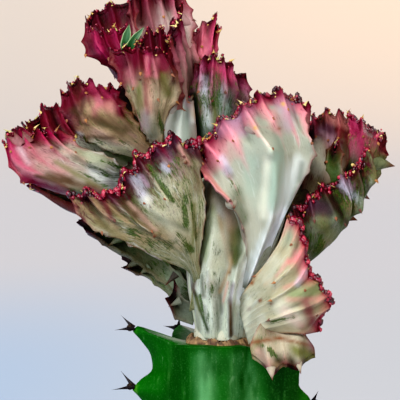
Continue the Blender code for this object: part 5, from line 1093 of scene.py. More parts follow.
        # More cream over the shaded lower part: painted light on the skin's own cream.
        (29, 48.5, 29.5, 42, 1.4, "cream", 0.5),
        (31.5, 52.5, 33.5, 48.5, 1.2, "mauve", 0.5),
        (30.5, 54.5, 32, 52.5, 1.0, "night", 0.8),
    ],
}

# Lobes drawn together as one piece.
GROUPS = {
    "crest_front": ["front_fan", "left_fan", "low_right_fan", "hanging_lobe", "neck_folds", "trunk",
                    "pale_root"],
    "crest_left": ["left_hand", "small_cup", "left_wing", "low_wing", "neck_wing", "under_hand",
                   "behind_hand", "left_bridge", "left_rear"],
    "crest_upper": ["vase_front", "vase_back", "upper_bowl", "upper_bowl_back", "tall_fan",
                    "centre_fan", "centre_back", "top_bridge"],
    "crest_right": ["right_front", "right_curl", "right_back", "right_horn", "right_bridge",
                    "centre_bridge", "rear_fan", "rear_right", "rear_low", "inner_fan"],
}

# Pale lobes, which get the stronger painted highlight along their ridges.
PALE_LOBES = ("front_fan", "left_fan", "low_right_fan", "left_hand", "rear_fan", "rear_right", "rear_low")

# Lobes with a smooth skin and plain side edges.
CALM_LOBES = ("low_right_fan", "hanging_lobe", "neck_folds", "pale_root", "trunk")

# Lobes with no beads along the edge.
BARE_LOBES = ("hanging_lobe", "left_wing", "low_wing", "neck_wing")

# Ribs drawn a little to the right or left of the solid's, which closes the slit beside the tall
# fan: the rib's number, and how far its edge end moves to the right in mm.
RIB_SHIFTS = {"upper_bowl_back": (3, 2.6), "tall_fan": (0, -0.6)}

# How ragged the growing edge is, how strong the painted shade in the valleys is, and how far the dark
# edge runs down in mm, on the lobes that differ from the others.
RAGGED_EDGES = {"hanging_lobe": 0.2, "low_right_fan": 0.5}
VALLEY_SHADES = {"front_fan": 0.4, "low_right_fan": 0.4, "neck_folds": 0.15, "trunk": 0.15}
EDGE_BANDS = {"front_fan": 2.4, "left_fan": 2.4, "vase_front": 2.6, "small_cup": 2.6}

# How large the beads are and what share of them is dark, on the lobes that differ.
BEAD_SIZES = {"low_right_fan": 1.45, "left_fan": 1.25}
DARK_BEADS = {"front_fan": 0.75, "left_fan": 0.45}

# The rounded rim of a lobe: how far each row stands from the rim's middle, and how high in mm.
RIM_ROWS = ((0.97, -0.15), (0.62, 0.75), (0.5, 1.15), (0.34, 1.0), (0.2, 0.45), (0.06, 0.1))

# The crest's foot and the rootstock's cork: how high each ring stands and how far out, in mm.
FOOT_RINGS = ((0.02, 0.0), (0.5, 0.05), (1.5, 0.0), (3.0, -0.3), (6.0, -0.8))
CORK_RINGS = ((-2.0, 0.35), (-0.4, 0.36), (0.0, 0.45), (0.12, 0.7), (0.0, 1.0), (-0.5, 1.4),
              (-1.0, 1.9), (-1.95, 2.5))

# How far apart the points of a fine lobe stand across and down, in mm.
COLUMN_STEP = 0.42
ROW_STEP = 0.62

# Colours in sRGB bytes. Where there are several, each small piece takes one.
BEAD_COLOURS = [(120, 14, 42), (146, 26, 52), (168, 50, 70), (112, 12, 40), (84, 8, 30), (48, 6, 20)]
TIP_COLOURS = [(212, 184, 110), (222, 202, 132), (186, 152, 80), (172, 164, 96), (150, 96, 52)]
NOSE_COLOURS = [(120, 70, 44), (150, 96, 52), (84, 44, 34)]
PEARL_COLOURS = [(214, 208, 196), (232, 228, 220)]
BARK_COLOURS = [(70, 48, 32), (98, 70, 46), (54, 40, 30), (128, 96, 66)]
CAP_COLOUR = (44, 8, 20)
BORDER_COLOUR = (104, 44, 40)
# The crease colour paints shade at the bottom of the valleys.
CREASE_SHADE_COLOUR = (40, 30, 22)
TOOTH_TIP_COLOUR = (96, 52, 40)
FOOT_COLOUR = (186, 186, 164)
LEAF_COLOUR = (40, 84, 42)
LEAF_EDGE_COLOUR = (150, 176, 120)
THORN_COLOUR = (22, 16, 18)
THORN_PAD_COLOUR = (64, 52, 42)
CORK_COLOUR = (142, 112, 76)
CORK_DARK_COLOUR = (70, 46, 30)

# The rootstock's colours: from the valleys to the wings' edges, then its marks: pale scars that also
# carry a painted highlight, painted shade on the right of the front, and the old foot.
STEM_COLOURS = {"valley": (0, 54, 0), "skin": (4, 80, 2), "wing": (84, 142, 30),
                "scar": (92, 150, 96), "shade": (2, 34, 4), "old": (96, 104, 66)}

# How far from the stem's axis the soil and the loose grains start, in mm, and how many grains are
# tried.
SOIL_INNER_RADIUS = 11.6
GRAIN_CLEARANCE = 13.5
GRAIN_COUNT = 1500

# The soft lamps: place in metres, size in metres, power in watts, and colour.
LAMPS = {
    "cool_side": ((-0.55, -0.5, 0.55), 0.35, 3.6, (0.82, 0.9, 1.0)),
    "warm_side": ((0.5, -0.6, 0.55), 0.4, 2.9, (1.0, 0.97, 0.94)),
    "low_front": ((-0.05, -0.75, 0.24), 0.4, 1.8, (0.97, 0.98, 1.0)),
    "back_soft": ((0.25, 0.8, 0.6), 0.5, 2.4, (1.0, 0.97, 0.94)),
}
LAMP_AIM = (0, 0, 0.2)

# The stage's floor: where it starts to rise into a wall, how far it goes and how high, in metres.
FLOOR_FLAT = 5
FLOOR_REACH = 12
FLOOR_RISE = 3.4
FLOOR_SIDES = 96


def linear(colour):
    """An sRGB colour in bytes as linear light."""
    c = np.asarray(colour, float) / 255
    return np.where(c <= 0.04045, c / 12.92, ((c + 0.055) / 1.055) ** 2.4)


def rgba(colour):
    """An sRGB colour in bytes as a linear colour with alpha."""
    return (*[float(c) for c in linear(colour)], 1.0)


def opaque(colours):
    """Linear colours with an alpha of one."""
    return np.concatenate([colours, np.ones((len(colours), 1))], axis=1)


def blend(a, b, share):
    """Values a moved towards b by a share from 0 to 1."""
    return a * (1 - share) + b * share


def smoothstep(a, b, x):
    """A smooth ramp from 0 at a to 1 at b."""
    t = np.clip((x - a) / (b - a), 0, 1)
    return t * t * (3 - 2 * t)


def noise3(p, seed=0.0):
    """Smooth value noise between -1 and 1 at points p."""
    p = np.asarray(p, float) + seed * 17.31
    cell = np.floor(p)
    f = p - cell
    f = f * f * (3 - 2 * f)
    total = 0.0
    for corner in itertools.product((0, 1), repeat=3):
        weight, spot = 1.0, 0.0
        for k, factor in enumerate((127.1, 311.7, 74.7)):
            weight = weight * (f[..., k] if corner[k] else 1 - f[..., k])
            spot = spot + (cell[..., k] + corner[k]) * factor
        value = np.sin(spot) * 43758.5453
        total = total + weight * (value - np.floor(value))
    return 2 * total - 1


def circle(count):
    """Evenly spaced angles round a circle."""
    return np.arange(count) * 2 * np.pi / count


def ring_quads(rows, columns, closed=False):
    """The quads between rings of points. If closed, the last ring joins the first."""
    r, k = np.meshgrid(np.arange(rows if closed else rows - 1), np.arange(columns), indexing="ij")
    r, k = r.reshape(-1), k.reshape(-1)
    after, up = (k + 1) % columns, (r + 1) % rows
    return np.stack([r * columns + k, r * columns + after, up * columns + after, up * columns + k], axis=1)


def shell_faces(columns, levels):
    """The quads of a closed shell made of a front and a back grid."""
    def at(side, c, r):
        return side * columns * levels + c * levels + r

    c, r = np.meshgrid(np.arange(columns - 1), np.arange(levels - 1), indexing="ij")
    c, r = c.reshape(-1), r.reshape(-1)
    quads = [[at(0, c, r), at(0, c + 1, r), at(0, c + 1, r + 1), at(0, c, r + 1)],
             [at(1, c, r), at(1, c, r + 1), at(1, c + 1, r + 1), at(1, c + 1, r)]]
    c = np.arange(columns - 1)
    first, last = 0 * c, 0 * c + levels - 1
    quads.append([at(0, c, first), at(1, c, first), at(1, c + 1, first), at(0, c + 1, first)])
    quads.append([at(0, c, last), at(0, c + 1, last), at(1, c + 1, last), at(1, c, last)])
    r = np.arange(levels - 1)
    first, last = 0 * r, 0 * r + columns - 1
    quads.append([at(0, first, r), at(0, first, r + 1), at(1, first, r + 1), at(1, first, r)])
    quads.append([at(0, last, r), at(1, last, r), at(1, last, r + 1), at(0, last, r + 1)])
    return np.concatenate([np.stack(four, axis=1) for four in quads])


def horn(base, tip, radius, sides=12, rings=7, fullness=1.5):
    """A tooth: wide at its foot and drawn out to a point."""
    base, tip = np.asarray(base, float), np.asarray(tip, float)
    axis = unit(tip - base)
    side = unit(np.cross(axis, (0.31, 0.52, 0.79)))
    other = np.cross(axis, side)
    t = np.linspace(0, 1, rings)
    width = radius * ((1 - t) ** fullness + 0.02)
    turn = circle(sides)
    ring = np.cos(turn)[:, None] * side + np.sin(turn)[:, None] * other
    points = base + (tip - base) * t[:, None, None] + ring[None] * width[:, None, None]
    return points.reshape(-1, 3), ring_quads(rings, sides), np.repeat(t, sides)


def ball(detail):
    """A unit ball's points and triangles."""
    work = bmesh.new()
    bmesh.ops.create_icosphere(work, subdivisions=detail, radius=1.0)
    points = np.array([v.co[:] for v in work.verts])
    faces = np.array([[v.index for v in f.verts] for f in work.faces])
    work.free()
    return points, faces


def turned(points, angle):
    """Points turned about the upright axis."""
    c, s = math.cos(angle), math.sin(angle)
    return points @ np.array([[c, s, 0], [-s, c, 0], [0, 0, 1]])


def link(thing):
    """Puts an object into the scene."""
    bpy.context.scene.collection.objects.link(thing)
    return thing


def mesh_object(name, points, quads, material, tint=None, marks=None, streak=None):
    """A smooth mesh object in metres, lifted to the graft, with its attributes."""
    mesh = bpy.data.meshes.new(name)
    scaled = (np.asarray(points) + (0, 0, GRAFT_HEIGHT)) * MM
    quads = np.asarray(quads)
    mesh.vertices.add(len(scaled))
    mesh.vertices.foreach_set("co", scaled.astype(np.float32).reshape(-1))
    mesh.loops.add(quads.size)
    mesh.loops.foreach_set("vertex_index", quads.astype(np.int32).reshape(-1))
    mesh.polygons.add(len(quads))
    mesh.polygons.foreach_set("loop_start", np.arange(0, quads.size, quads.shape[1], dtype=np.int32))
    mesh.update(calc_edges=True)
    mesh.polygons.foreach_set("use_smooth", np.full(len(quads), True))
    layers = (("tint", "FLOAT_COLOR", "color", tint), ("marks", "FLOAT_COLOR", "color", marks),
              ("streak", "FLOAT_VECTOR", "vector", streak))
    for title, kind, field, values in layers:
        if values is not None:
            layer = mesh.attributes.new(title, kind, "POINT")
            layer.data.foreach_set(field, np.asarray(values, np.float32).reshape(-1))
    mesh.materials.append(material)
    return link(bpy.data.objects.new(name, mesh))


class Skin:
    """Collects the parts of one piece of the crest's skin."""

    def __init__(self):
        self.parts = []
        self.count = 0

    def add(self, points, faces, tints, marks, streaks):
        """Adds a part, with what each of its points carries."""
        self.parts.append((points, faces + self.count, tints, marks, streaks))
        self.count += len(points)

    def build(self, name, material):
        points, faces, tints, marks, streaks = (np.concatenate(column) for column in zip(*self.parts))
        return mesh_object(name, points, faces, material, tints, marks, streaks)


class Pile:
    """Collects many small pieces into one mesh of triangles."""

    def __init__(self):
        self.points, self.faces, self.tints = [], [], []
        self.count = 0

    def add(self, points, faces, colour):
        """Adds a small piece of one colour, made of triangles or quads."""
        if faces.shape[1] == 4:
            faces = np.concatenate([faces[:, :3], faces[:, (0, 2, 3)]])
        self.points.append(points)
        self.faces.append(faces + self.count)
        self.tints.append(np.tile(rgba(colour), (len(points), 1)))
        self.count += len(points)

    def build(self, name, material):
        points, faces, tints = (np.concatenate(part) for part in (self.points, self.faces, self.tints))
        return mesh_object(name, points, faces, material, tints)


def shifted(name, lobe):
    """The lobe with its shifted rib, where it has one."""
    if name not in RIB_SHIFTS:
        return lobe
    rib, right = RIB_SHIFTS[name]
    ribs = np.array(lobe["ribs"], float)
    ribs[rib, :, 0] += right * np.linspace(1, 0, ribs.shape[1])
    return dict(lobe, ribs=ribs.tolist())


def coarse_normals(lobe):
    """The outward directions the solid part used."""
    rows = 5 if len(lobe["ribs"][0]) > 3 else 3
    return lobe_sheet(lobe, 2, rows)[1]


def regrid(grid, columns, rows):
    """A grid of vectors resampled smoothly."""
    grid = spline(grid, np.linspace(0, 1, columns))
    grid = spline(np.swapaxes(grid, 0, 1), np.linspace(0, 1, rows))
    return np.swapaxes(grid, 0, 1)


def nose_reaches(name, gaps, gap_mm, tall, rng):
    """How far below the edge each ridge runs before it ends in a nose, and how high it stands."""
    reach = np.array([min(tall * 0.62, rng.uniform(6, 17)) for _ in range(gaps + 1)])
    high = np.array([rng.uniform(0.35, 1.5) * min(1.0, gap_mm / 4) for _ in range(gaps + 1)])
    for rib, (far, rise) in NOSES.get(name, {}).items():
        reach[rib] = far
        high[rib] = rise
    return reach, high


def border_teeth(front, back, down, rng):
    """Pushes the two side edges of a lobe out into small teeth."""
    for column, inner in ((0, 3), (front.shape[0] - 1, front.shape[0] - 4)):
        spot = rng.uniform(2.0, 4.0)
        while spot < min(26, down[column].max() * 0.7):
            size = rng.uniform(0.7, 1.5)
            push = size * np.exp(-np.abs(down[column] - spot) ** 1.3 / 0.9)
            for side in (front, back):
                out = unit(side[column] - side[inner])
                reach = abs(column - inner)
                for k in range(reach):
                    index = column + (k if column == 0 else -k)
                    side[index] += out * (push * (1 - k / reach) ** 2)[:, None]
            spot += rng.uniform(3.5, 6.5)


class FineLobe:
    """One lobe in fine detail: its shape, and what its colours are worked out from."""

    def __init__(self, name, lobe, seed):
        self.name = name
        self.lobe = shifted(name, lobe)
        self.seed = seed
        self.plain = name in SMOOTH_LOBES
        self.calm = 0.5 if name in CALM_LOBES else 1.0
        self.rng = random.Random(seed * 7 + 3)
        self.lay_sheet()
        self.measure()
        self.find_valleys()
        self.carve()
        self.raise_ridges()
        self.thicken()
        self.fray_edge()
        self.cap_edge()

    def lay_sheet(self):
        """The face of the lobe on a fine grid, and its outward directions."""
        ribs = np.array(self.lobe["ribs"], float)
        self.gaps = len(ribs) - 1
        wide = np.linalg.norm(np.diff(ribs[:, 0], axis=0), axis=1).mean()
        self.gap_mm = max(wide, 1.5)
        self.tall = np.linalg.norm(np.diff(ribs, axis=1), axis=2).sum(axis=1).mean()
        self.per_gap = int(np.clip(round(wide / COLUMN_STEP), 8, 16))
        self.rows = int(np.clip(round(self.tall / ROW_STEP), 20, 74))
        self.sheet = lobe_sheet(self.lobe, self.per_gap, self.rows)[0]
        self.columns = self.sheet.shape[0]
        if self.name == "neck_folds":
            self.reach_graft()
        self.normal = unit(regrid(coarse_normals(self.lobe), self.columns, self.rows))

    def reach_graft(self, from_height=9, gap=0.25):
        """Draws the sheet's lower end down to the graft."""
        low = self.sheet[:, -1:, 2]
        share = np.clip((from_height - self.sheet[..., 2]) / np.maximum(from_height - low, 0.1), 0, 1)
        self.sheet[..., 2] -= share * (low - gap)

    def measure(self):
        """How far across and down each point is, as a share and in mm, and how far apart the ribs are."""
        self.crosswise = np.linspace(0, 1, self.columns)[:, None]
        self.upwise = 1 - np.linspace(0, 1, self.rows)[None, :]
        steps = np.linalg.norm(np.diff(self.sheet, axis=1), axis=2)
        self.down = np.concatenate([np.zeros((self.columns, 1)), np.cumsum(steps, axis=1)], axis=1)
        self.across = self.crosswise * self.gaps * self.gap_mm + 0 * self.upwise
        self.gap_here = np.linalg.norm(np.gradient(self.sheet, axis=0), axis=2) * self.per_gap
        self.spread = smoothstep(0.15, 0.85, self.gap_here / self.gap_mm)

    def noise(self, across, down, step):
        """Smooth noise over the lobe. Its grains are small where across and down are large."""
        place = np.stack([self.across, self.down, 0 * self.across + self.seed * 50.0], axis=-1)
        return noise3(place * (across, down, 1), self.seed + step)

    def along_ribs(self, values):
        """Values spaced evenly across the lobe, smoothly filled in at every point."""
        place = np.clip(self.phase / self.gaps, 0, 1)
        return spline(np.array(values)[:, None], place.reshape(-1)).reshape(place.shape)

    def find_valleys(self):
        """Where each point stands among the ribs, and how near its valley is to the edge."""
        self.reach, self.high = nose_reaches(self.name, self.gaps, self.gap_mm, self.tall, self.rng)
        sway = 0.16 * self.noise(0.12, 0.09, 0) * np.sin(np.pi * self.crosswise) ** 0.4
        self.phase = self.crosswise * self.gaps + sway
        self.furrow = np.abs(np.sin(np.pi * self.phase)) ** 0.85
        self.fold = self.along_ribs(self.reach)
        near = 1 - smoothstep(0.3, 1.15, self.down / np.maximum(self.fold, 2))
        self.near = near * (0.0 if self.plain else 1.0)

    def valley_creases(self):
        """How deep a thin crease runs along each valley's bottom, from 0 to 1; it is painted dark as shade.
        """
        rng = random.Random(self.seed * 13 + 1)
        strength = np.array([rng.uniform(0.3, 1) for _ in range(self.gaps)])
        length = np.array([rng.uniform(0.5, 1.4) for _ in range(self.gaps)])
        index = np.clip(self.phase.astype(int), 0, self.gaps - 1)
        bend = np.stack([self.phase * 1.3, self.down * 0.16, 0 * self.phase + self.seed], axis=-1)
        off = (self.phase - index - 0.5 + 0.16 * noise3(bend, self.seed + 8)) * self.gap_mm
        ends = 1 - smoothstep(0.4, 1.0, self.down / (length[index] * self.fold))
        return strength[index] * np.exp(-(off / 0.5) ** 2) * ends

    def carve(self):
        """How far the front lies below the sheet: valleys, broad swells, bumps and creases."""
        bold = self.along_ribs([self.rng.uniform(0.25, 1.0) ** 0.8 for _ in range(2 * self.gaps + 1)])
        depth = self.lobe["valley"] * self.furrow * (0.12 + 2.3 * self.near * bold * self.calm)
        swell = self.noise(0.085, 0.06, 1) + 0.5 * self.noise(0.2, 0.13, 5)
        swell = swell * smoothstep(0, 9, self.down) * (1 - smoothstep(0.8, 1, self.down / self.tall))
        depth = depth - (0.35 if self.plain else 1.0) * SWELL * swell
        bumps = 0.2 * self.noise(0.55, 0.3, 2) + 0.06 * self.noise(1.6, 1.1, 6)
        depth = depth - bumps * self.spread * self.calm
        depth = depth + 0.22 * np.abs(np.sin(3 * np.pi * self.phase)) ** 0.7 * np.exp(-self.down / 5.0)
        self.crease = self.valley_creases() * (0.0 if self.plain else self.calm)
        self.depth = depth + 0.3 * self.crease

    def ridges(self):
        """The numbers of the ribs that carry a ridge."""
        return range(0 if self.plain else self.gaps + 1)

    def raise_ridges(self):
        """Raises a ridge along each rib, which ends in a nose."""
        self.ridge = np.zeros_like(self.down)
        for rib in self.ridges():
            high, far = self.high[rib], self.reach[rib]
            off = np.abs(self.phase - rib) * self.gap_mm
            rise = np.clip(self.down / far, 0, 1) ** 1.3
            fall = np.where(self.down > far, np.exp(-((self.down - far) / 1.5) ** 2), 1.0)
            broad = 0.55 * np.exp(-(off / 2.4) ** 1.3) + 0.45 * self.spread * np.exp(-(off / 0.9) ** 1.2)
            self.depth = self.depth - high * rise * fall * broad
            line = min(high, 1.0) * self.spread * self.calm
            # The ridge mark follows each crest line, for the painted highlight along it.
            self.ridge = np.maximum(self.ridge, line * fall * np.exp(-(off / 0.5) ** 1.4))

    def thicken(self):
        """The front and the back, which meet thinly in toothed side edges."""
        root, rim = self.lobe["thick"]
        edge = np.minimum(self.crosswise, 1 - self.crosswise) * self.gaps
        ends = smoothstep(1.0, 0.6, self.down / self.tall)
        self.border = np.exp(-(edge * self.gap_here / 0.5) ** 1.5) * ends
        lens = 0.22 + 0.78 * np.sin(0.5 * np.pi * np.clip(edge / 1.1, 0, 1)) ** 0.8
        thick = (root + (rim - root) * self.upwise) * lens
        self.front = self.sheet - self.normal * self.depth[..., None]
        self.back = self.sheet - self.normal * (thick - 0.7 * self.depth)[..., None]
        if self.name not in CALM_LOBES:
            border_teeth(self.front, self.back, self.down, self.rng)

    def fray_edge(self):
        """Makes the growing edge ragged."""
        self.rise = unit(self.sheet[:, 0] - self.sheet[:, 1])
        jag = RAGGED_EDGES.get(self.name, 1.0)
        along = self.crosswise * self.gaps * 4.3
        place = np.stack([along, 0 * along, 0 * along + self.seed], axis=-1)
        self.ragged = 0.6 * jag * (1 - 2 * self.furrow[:, :1]) + 0.45 * jag * noise3(place, self.seed + 4)
        push = self.rise[:, None] * self.ragged[..., None] * smoothstep(3.0, 0.0, self.down)[..., None]
        self.front = self.front + push
        self.back = self.back + push

    def cap_edge(self):
        """Closes the growing edge with a rounded rim."""
        self.above = len(RIM_ROWS)
        self.levels = self.rows + self.above
        self.middle = (self.front[:, 0] + self.back[:, 0]) / 2
        self.front = self.capped(self.front)
        self.back = self.capped(self.back)
        rim_down = np.tile(np.linspace(-1.6, -0.1, self.above), (self.columns, 1))
        self.down = np.concatenate([rim_down, self.down], axis=1)

    def capped(self, side):
        """The front or the back with its half of the rim."""
        rows = [self.middle + (side[:, 0] - self.middle) * inward + self.rise * (up + 0.5 * self.ragged)
                for inward, up in reversed(RIM_ROWS)]
        return np.concatenate([np.stack(rows, axis=1), side], axis=1)

    def points(self):
        """The points of the front, then those of the back."""
        return np.concatenate([self.front.reshape(-1, 3), self.back.reshape(-1, 3)])

    def fields(self):
        """What the colours are worked out from, at each of the points."""
        flat = {}
        for key in ("furrow", "across", "near", "ridge", "crease", "border"):
            field = getattr(self, key)
            rim = np.tile(field[:, :1], (1, self.above))
            flat[key] = np.tile(np.concatenate([rim, field], axis=1).reshape(-1), 2)
        flat["down"] = np.tile(self.down.reshape(-1), 2)
        flat["side"] = np.repeat([0.0, 1.0], self.columns * self.levels)
        return flat

    def edge_lines(self):
        """Lines along the growing edge: its front, its back, and the way up at its middle."""
        return self.front[:, self.above - 2], self.back[:, self.above - 2], self.rise

    def edge_length(self):
        """How long the growing edge is, in mm."""
        return np.linalg.norm(np.diff(self.middle + self.rise * 0.6, axis=0), axis=1).sum()

    def nose_tips(self):
        """Where each nose is on the front and on the back, and which way it points."""
        for rib in self.ridges():
            column = rib * self.per_gap
            level = self.above + int(np.argmin(np.abs(self.down[column, self.above:] - self.reach[rib])))
            front, back = self.front[column], self.back[column]
            out = unit(front[level] - back[level])
            fall = unit(front[min(level + 1, self.levels - 1)] - front[level])
            yield front[level], unit(out + 0.5 * fall)
            yield back[level], unit(0.5 * fall - out)


def flush_strength(name, points):
    """How strongly the flush shows, which on some lobes depends on the place."""
    x, z = points[:, 0], points[:, 2]
    if name == "left_hand":
        return smoothstep(-22, -36, x) * 0.95 + 0.15
    if name == "low_right_fan":
        return 0.55 + 0.45 * smoothstep(8, 20, z)
    return np.ones_like(x) * 0.95


def body_tint(look, flat, painted_shade, broad, middle):
    """The skin under the flush: ribs, furrows and root, with painted shade in the furrows near the edge."""
    mix = flat["furrow"] * flat["near"] * 0.9 * painted_shade + 0.12 + 0.4 * broad + 0.3 * middle
    skin = blend(linear(look.body), linear(look.shade), np.clip(mix, 0, 1)[:, None])
    low = smoothstep(0.35, 1.0, flat["down"] / max(flat["down"].max(), 1) + 0.12 * broad)
    return blend(skin, linear(look.root), low[:, None])


def edge_tint(name, look, skin, down, middle):
    """Darkens the growing edge and the rim above it."""
    below = np.maximum(down, 0)
    band = EDGE_BANDS.get(name, 1.9)
    thin = np.clip(np.exp(-(below / (band + 0.9 * middle)) ** 1.6), 0, 1)[:, None] * 0.95
    skin = blend(skin, linear(look.edge), thin)
    return blend(skin, linear(CAP_COLOUR), smoothstep(0.1, -0.7, down)[:, None])


def line_tint(name, skin, flat, painted_shade, middle, fine):
    """Paints shade into the valleys and the creases, darkens the borders, and paints a highlight
    along the ridges.
    """
    down, furrow = flat["down"], flat["furrow"]
    # Painted shade in the valleys, strongest near the growing edge.
    skin = skin * (1 - 0.55 * painted_shade * (furrow ** 2 * np.exp(-np.maximum(down, 0) / 6.0))[:, None])
    skin = skin * (1 - 0.48 * painted_shade * (furrow ** 3 * flat["near"])[:, None])
    line = (flat["border"] * (0.6 + 0.5 * middle)).clip(0, 0.2 if "wing" in name else 0.8)
    skin = blend(skin, linear(BORDER_COLOUR), line[:, None])
    # Painted shade along the bottom of the creases.
    crease = np.clip(0.95 * flat["crease"] * (0.8 + 0.4 * fine), 0, 0.9)
    skin = blend(skin, linear(CREASE_SHADE_COLOUR), crease[:, None])
    # Painted highlight along the ridge crests, stronger on the pale lobes.
    ridge = (flat["ridge"] * smoothstep(0.3, 2.5, down) * (0.75 + 0.5 * middle))[:, None]
    light = 0.75 if name in PALE_LOBES else 0.4 * (name != "pale_root")
    return skin * (1 + light * ridge) + 0.012 * light * ridge


def streak_marks(look, flat, red, broad, middle):
    """The amounts of green, wine and pale streaks, and how rough the skin is."""
    down, furrow = flat["down"], flat["furrow"]
    below = np.maximum(down, 0)
    near_rim = np.exp(-below / 3.0)
    return np.stack([
        look.green * (0.45 + 0.35 * furrow + 0.5 * broad + 0.3 * middle) * (1 - 0.8 * near_rim),
        look.wine * (0.2 + 1.0 * np.exp(-below / (look.reach * 1.2 + 2)) + 0.3 * middle),
        # Pale streaks, fewer in the furrows: partly the skin's own pale streaks, partly painted sheen.
        look.pale * (1 - 0.8 * red) * smoothstep(0, 2.0, down) * (0.8 - 0.4 * furrow + 0.4 * broad),
        np.ones_like(down) * min(1.0, 0.15 + 1.3 * look.green),
    ], axis=-1)


def colours_of(name, points, flat, seed):
    """The smooth skin colour, and the amounts of streaks, at each point of a lobe. The colour carries
    painted shade in the valleys and creases and a painted highlight on the ridges.
    """
    look = LOOKS[name]
    broad = noise3(points * 0.11, seed + 9)
    middle = noise3(points * (0.3, 0.3, 0.2), seed + 10)
    fine = noise3(points * (0.9, 0.9, 0.5), seed + 11)
    painted_shade = VALLEY_SHADES.get(name, 1.0)
    flush = 0.8 + 0.9 * (1 - flat["furrow"]) ** 1.5 + 0.4 * broad + 0.35 * middle + 0.15 * fine
    fade = np.maximum(flat["down"], 0) / np.maximum(look.reach * flush, 0.5)
    red = np.clip(1.1 - fade, 0, 1) ** 0.9 * flush_strength(name, points)
    skin = blend(body_tint(look, flat, painted_shade, broad, middle), linear(look.flush), red[:, None])
    skin = edge_tint(name, look, skin, flat["down"], middle)
    skin = line_tint(name, skin, flat, painted_shade, middle, fine)
    marks = streak_marks(look, flat, red, broad, middle)
    skin, marks = add_patches(name, points, skin, marks, fine, middle)
    marks[:, :3] = np.clip(marks[:, :3], 0, 1)
    return opaque(np.clip(skin, 0, 1)), marks


def front_view(points):
    """x and z of crest points as the front camera sees them, in the plane through its centre."""
    tilt = math.radians(VIEW_TILT)
    centre = VIEW_CENTRE[2] - GRAFT_HEIGHT
    away = points[:, 1] - VIEW_CENTRE[1]
    up = points[:, 2] - centre
    scale = VIEW_DISTANCE / (VIEW_DISTANCE + away)
    z = (up * math.cos(tilt) + away * math.sin(tilt)) * scale + centre
    return np.stack([points[:, 0] * scale, z], axis=1)


def add_patches(name, points, skin, marks, fine, middle):
    """Adds the lobe's own patches: green, wine, pale or of a colour of their own, some of them painted
    highlights, painted light or painted shade.
    """
    streaks = ("green", "wine", "pale")
    spots = front_view(points)
    for x1, z1, x2, z2, half, kind, amount in PATCHES.get(name, ()):
        start = np.array([x1, z1])
        way = np.array([x2 - x1, z2 - z1])
        t = np.clip((spots - start) @ way / max(way @ way, 1e-6), 0, 1)
        far = np.linalg.norm(spots - start - t[:, None] * way, axis=1) / half
        far = far + 0.3 * fine + 0.5 * middle
        if kind in streaks:
            marks[:, streaks.index(kind)] += amount * smoothstep(2.0, 0.0, far) ** 1.6
        else:
            power = np.clip(amount * smoothstep(2.2, 0.0, far), 0, 1)[:, None]
            skin = blend(skin, linear(PAINTS[kind]), power)
            marks[:, :3] *= 1 - 0.6 * power
    return skin, marks


class Nodes:
    """Short ways to add and join shader nodes."""

    def __init__(self, name):
        self.material = bpy.data.materials.new(name)
        self.material.use_nodes = True
        self.tree = self.material.node_tree

    def add(self, kind, settings=(), **sockets):
        """A node with its settings, and with its sockets set or joined."""
        node = self.tree.nodes.new(kind)
        for key, value in dict(settings).items():
            setattr(node, key, value)
        for socket, value in sockets.items():
            self.put(node, socket.replace("_", " "), value)
        return node

    def put(self, node, socket, value):
        """Sets a socket to a value, or joins it to another socket."""
        target = node.inputs[socket]
        if isinstance(value, bpy.types.NodeSocket):
            self.tree.links.new(value, target)
        else:
            target.default_value = value

    def surface(self, **sockets):
        """Sets or joins the sockets of the surface's shader."""
        for socket, value in sockets.items():
            self.put(self.tree.nodes["Principled BSDF"], socket.replace("_", " "), value)

    def place(self):
        """Where a point is in its object."""
        return self.add("ShaderNodeTexCoord").outputs["Object"]

    def attribute(self, name, output="Color"):
        return self.add("ShaderNodeAttribute", {"attribute_name": name}).outputs[output]

    def math(self, kind, a, b=0.0):
        node = self.add("ShaderNodeMath", {"operation": kind})
        self.put(node, 0, a)
        self.put(node, 1, b)
        return node.outputs[0]

    def total(self, *parts):
        """The sum of values, each times its weight."""
        weighted = [self.math("MULTIPLY", value, weight) for value, weight in parts]
        result = weighted[0]
        for value in weighted[1:]:
            result = self.math("ADD", result, value)
        return result

    def split(self, colour):
        node = self.add("ShaderNodeSeparateColor")
        self.put(node, 0, colour)
        return node.outputs

    def stretch(self, vector, scale):
        return self.add("ShaderNodeMapping", Vector=vector, Scale=scale).outputs[0]

    def noise(self, vector, scale, detail=4.0, rough=0.55):
        return self.add("ShaderNodeTexNoise", Vector=vector, Scale=scale, Detail=detail,
                        Roughness=rough).outputs[0]

    def ramp(self, value, low, high):
        """A smooth ramp of a value between two limits."""
        return self.add("ShaderNodeMapRange", {"interpolation_type": "SMOOTHSTEP"}, Value=value,
                        From_Min=low, From_Max=high).outputs[0]

    def mix(self, amount, a, b, blend_type="MIX"):
        node = self.add("ShaderNodeMix", {"data_type": "RGBA", "blend_type": blend_type})
        self.put(node, 0, amount)
        self.put(node, 6, a)
        self.put(node, 7, b)
        return node.outputs[2]

    def paint(self, colour, value, low, high, share, paint):
        """A colour with a share of paint where a value is high."""
        return self.mix(self.math("MULTIPLY", self.ramp(value, low, high), share), colour, rgba(paint))

    def streaks(self, base, mark, weight, limits, start):
        """How much of a streak shows, which grows with the skin's mark for it."""
        value = self.math("ADD", base, self.math("MULTIPLY", mark, weight))
        return self.math("MULTIPLY", self.ramp(value, *limits), self.ramp(mark, *start))

    def bump(self, height, strength, distance):
        return self.add("ShaderNodeBump", Height=height, Strength=strength, Distance=distance).outputs[0]


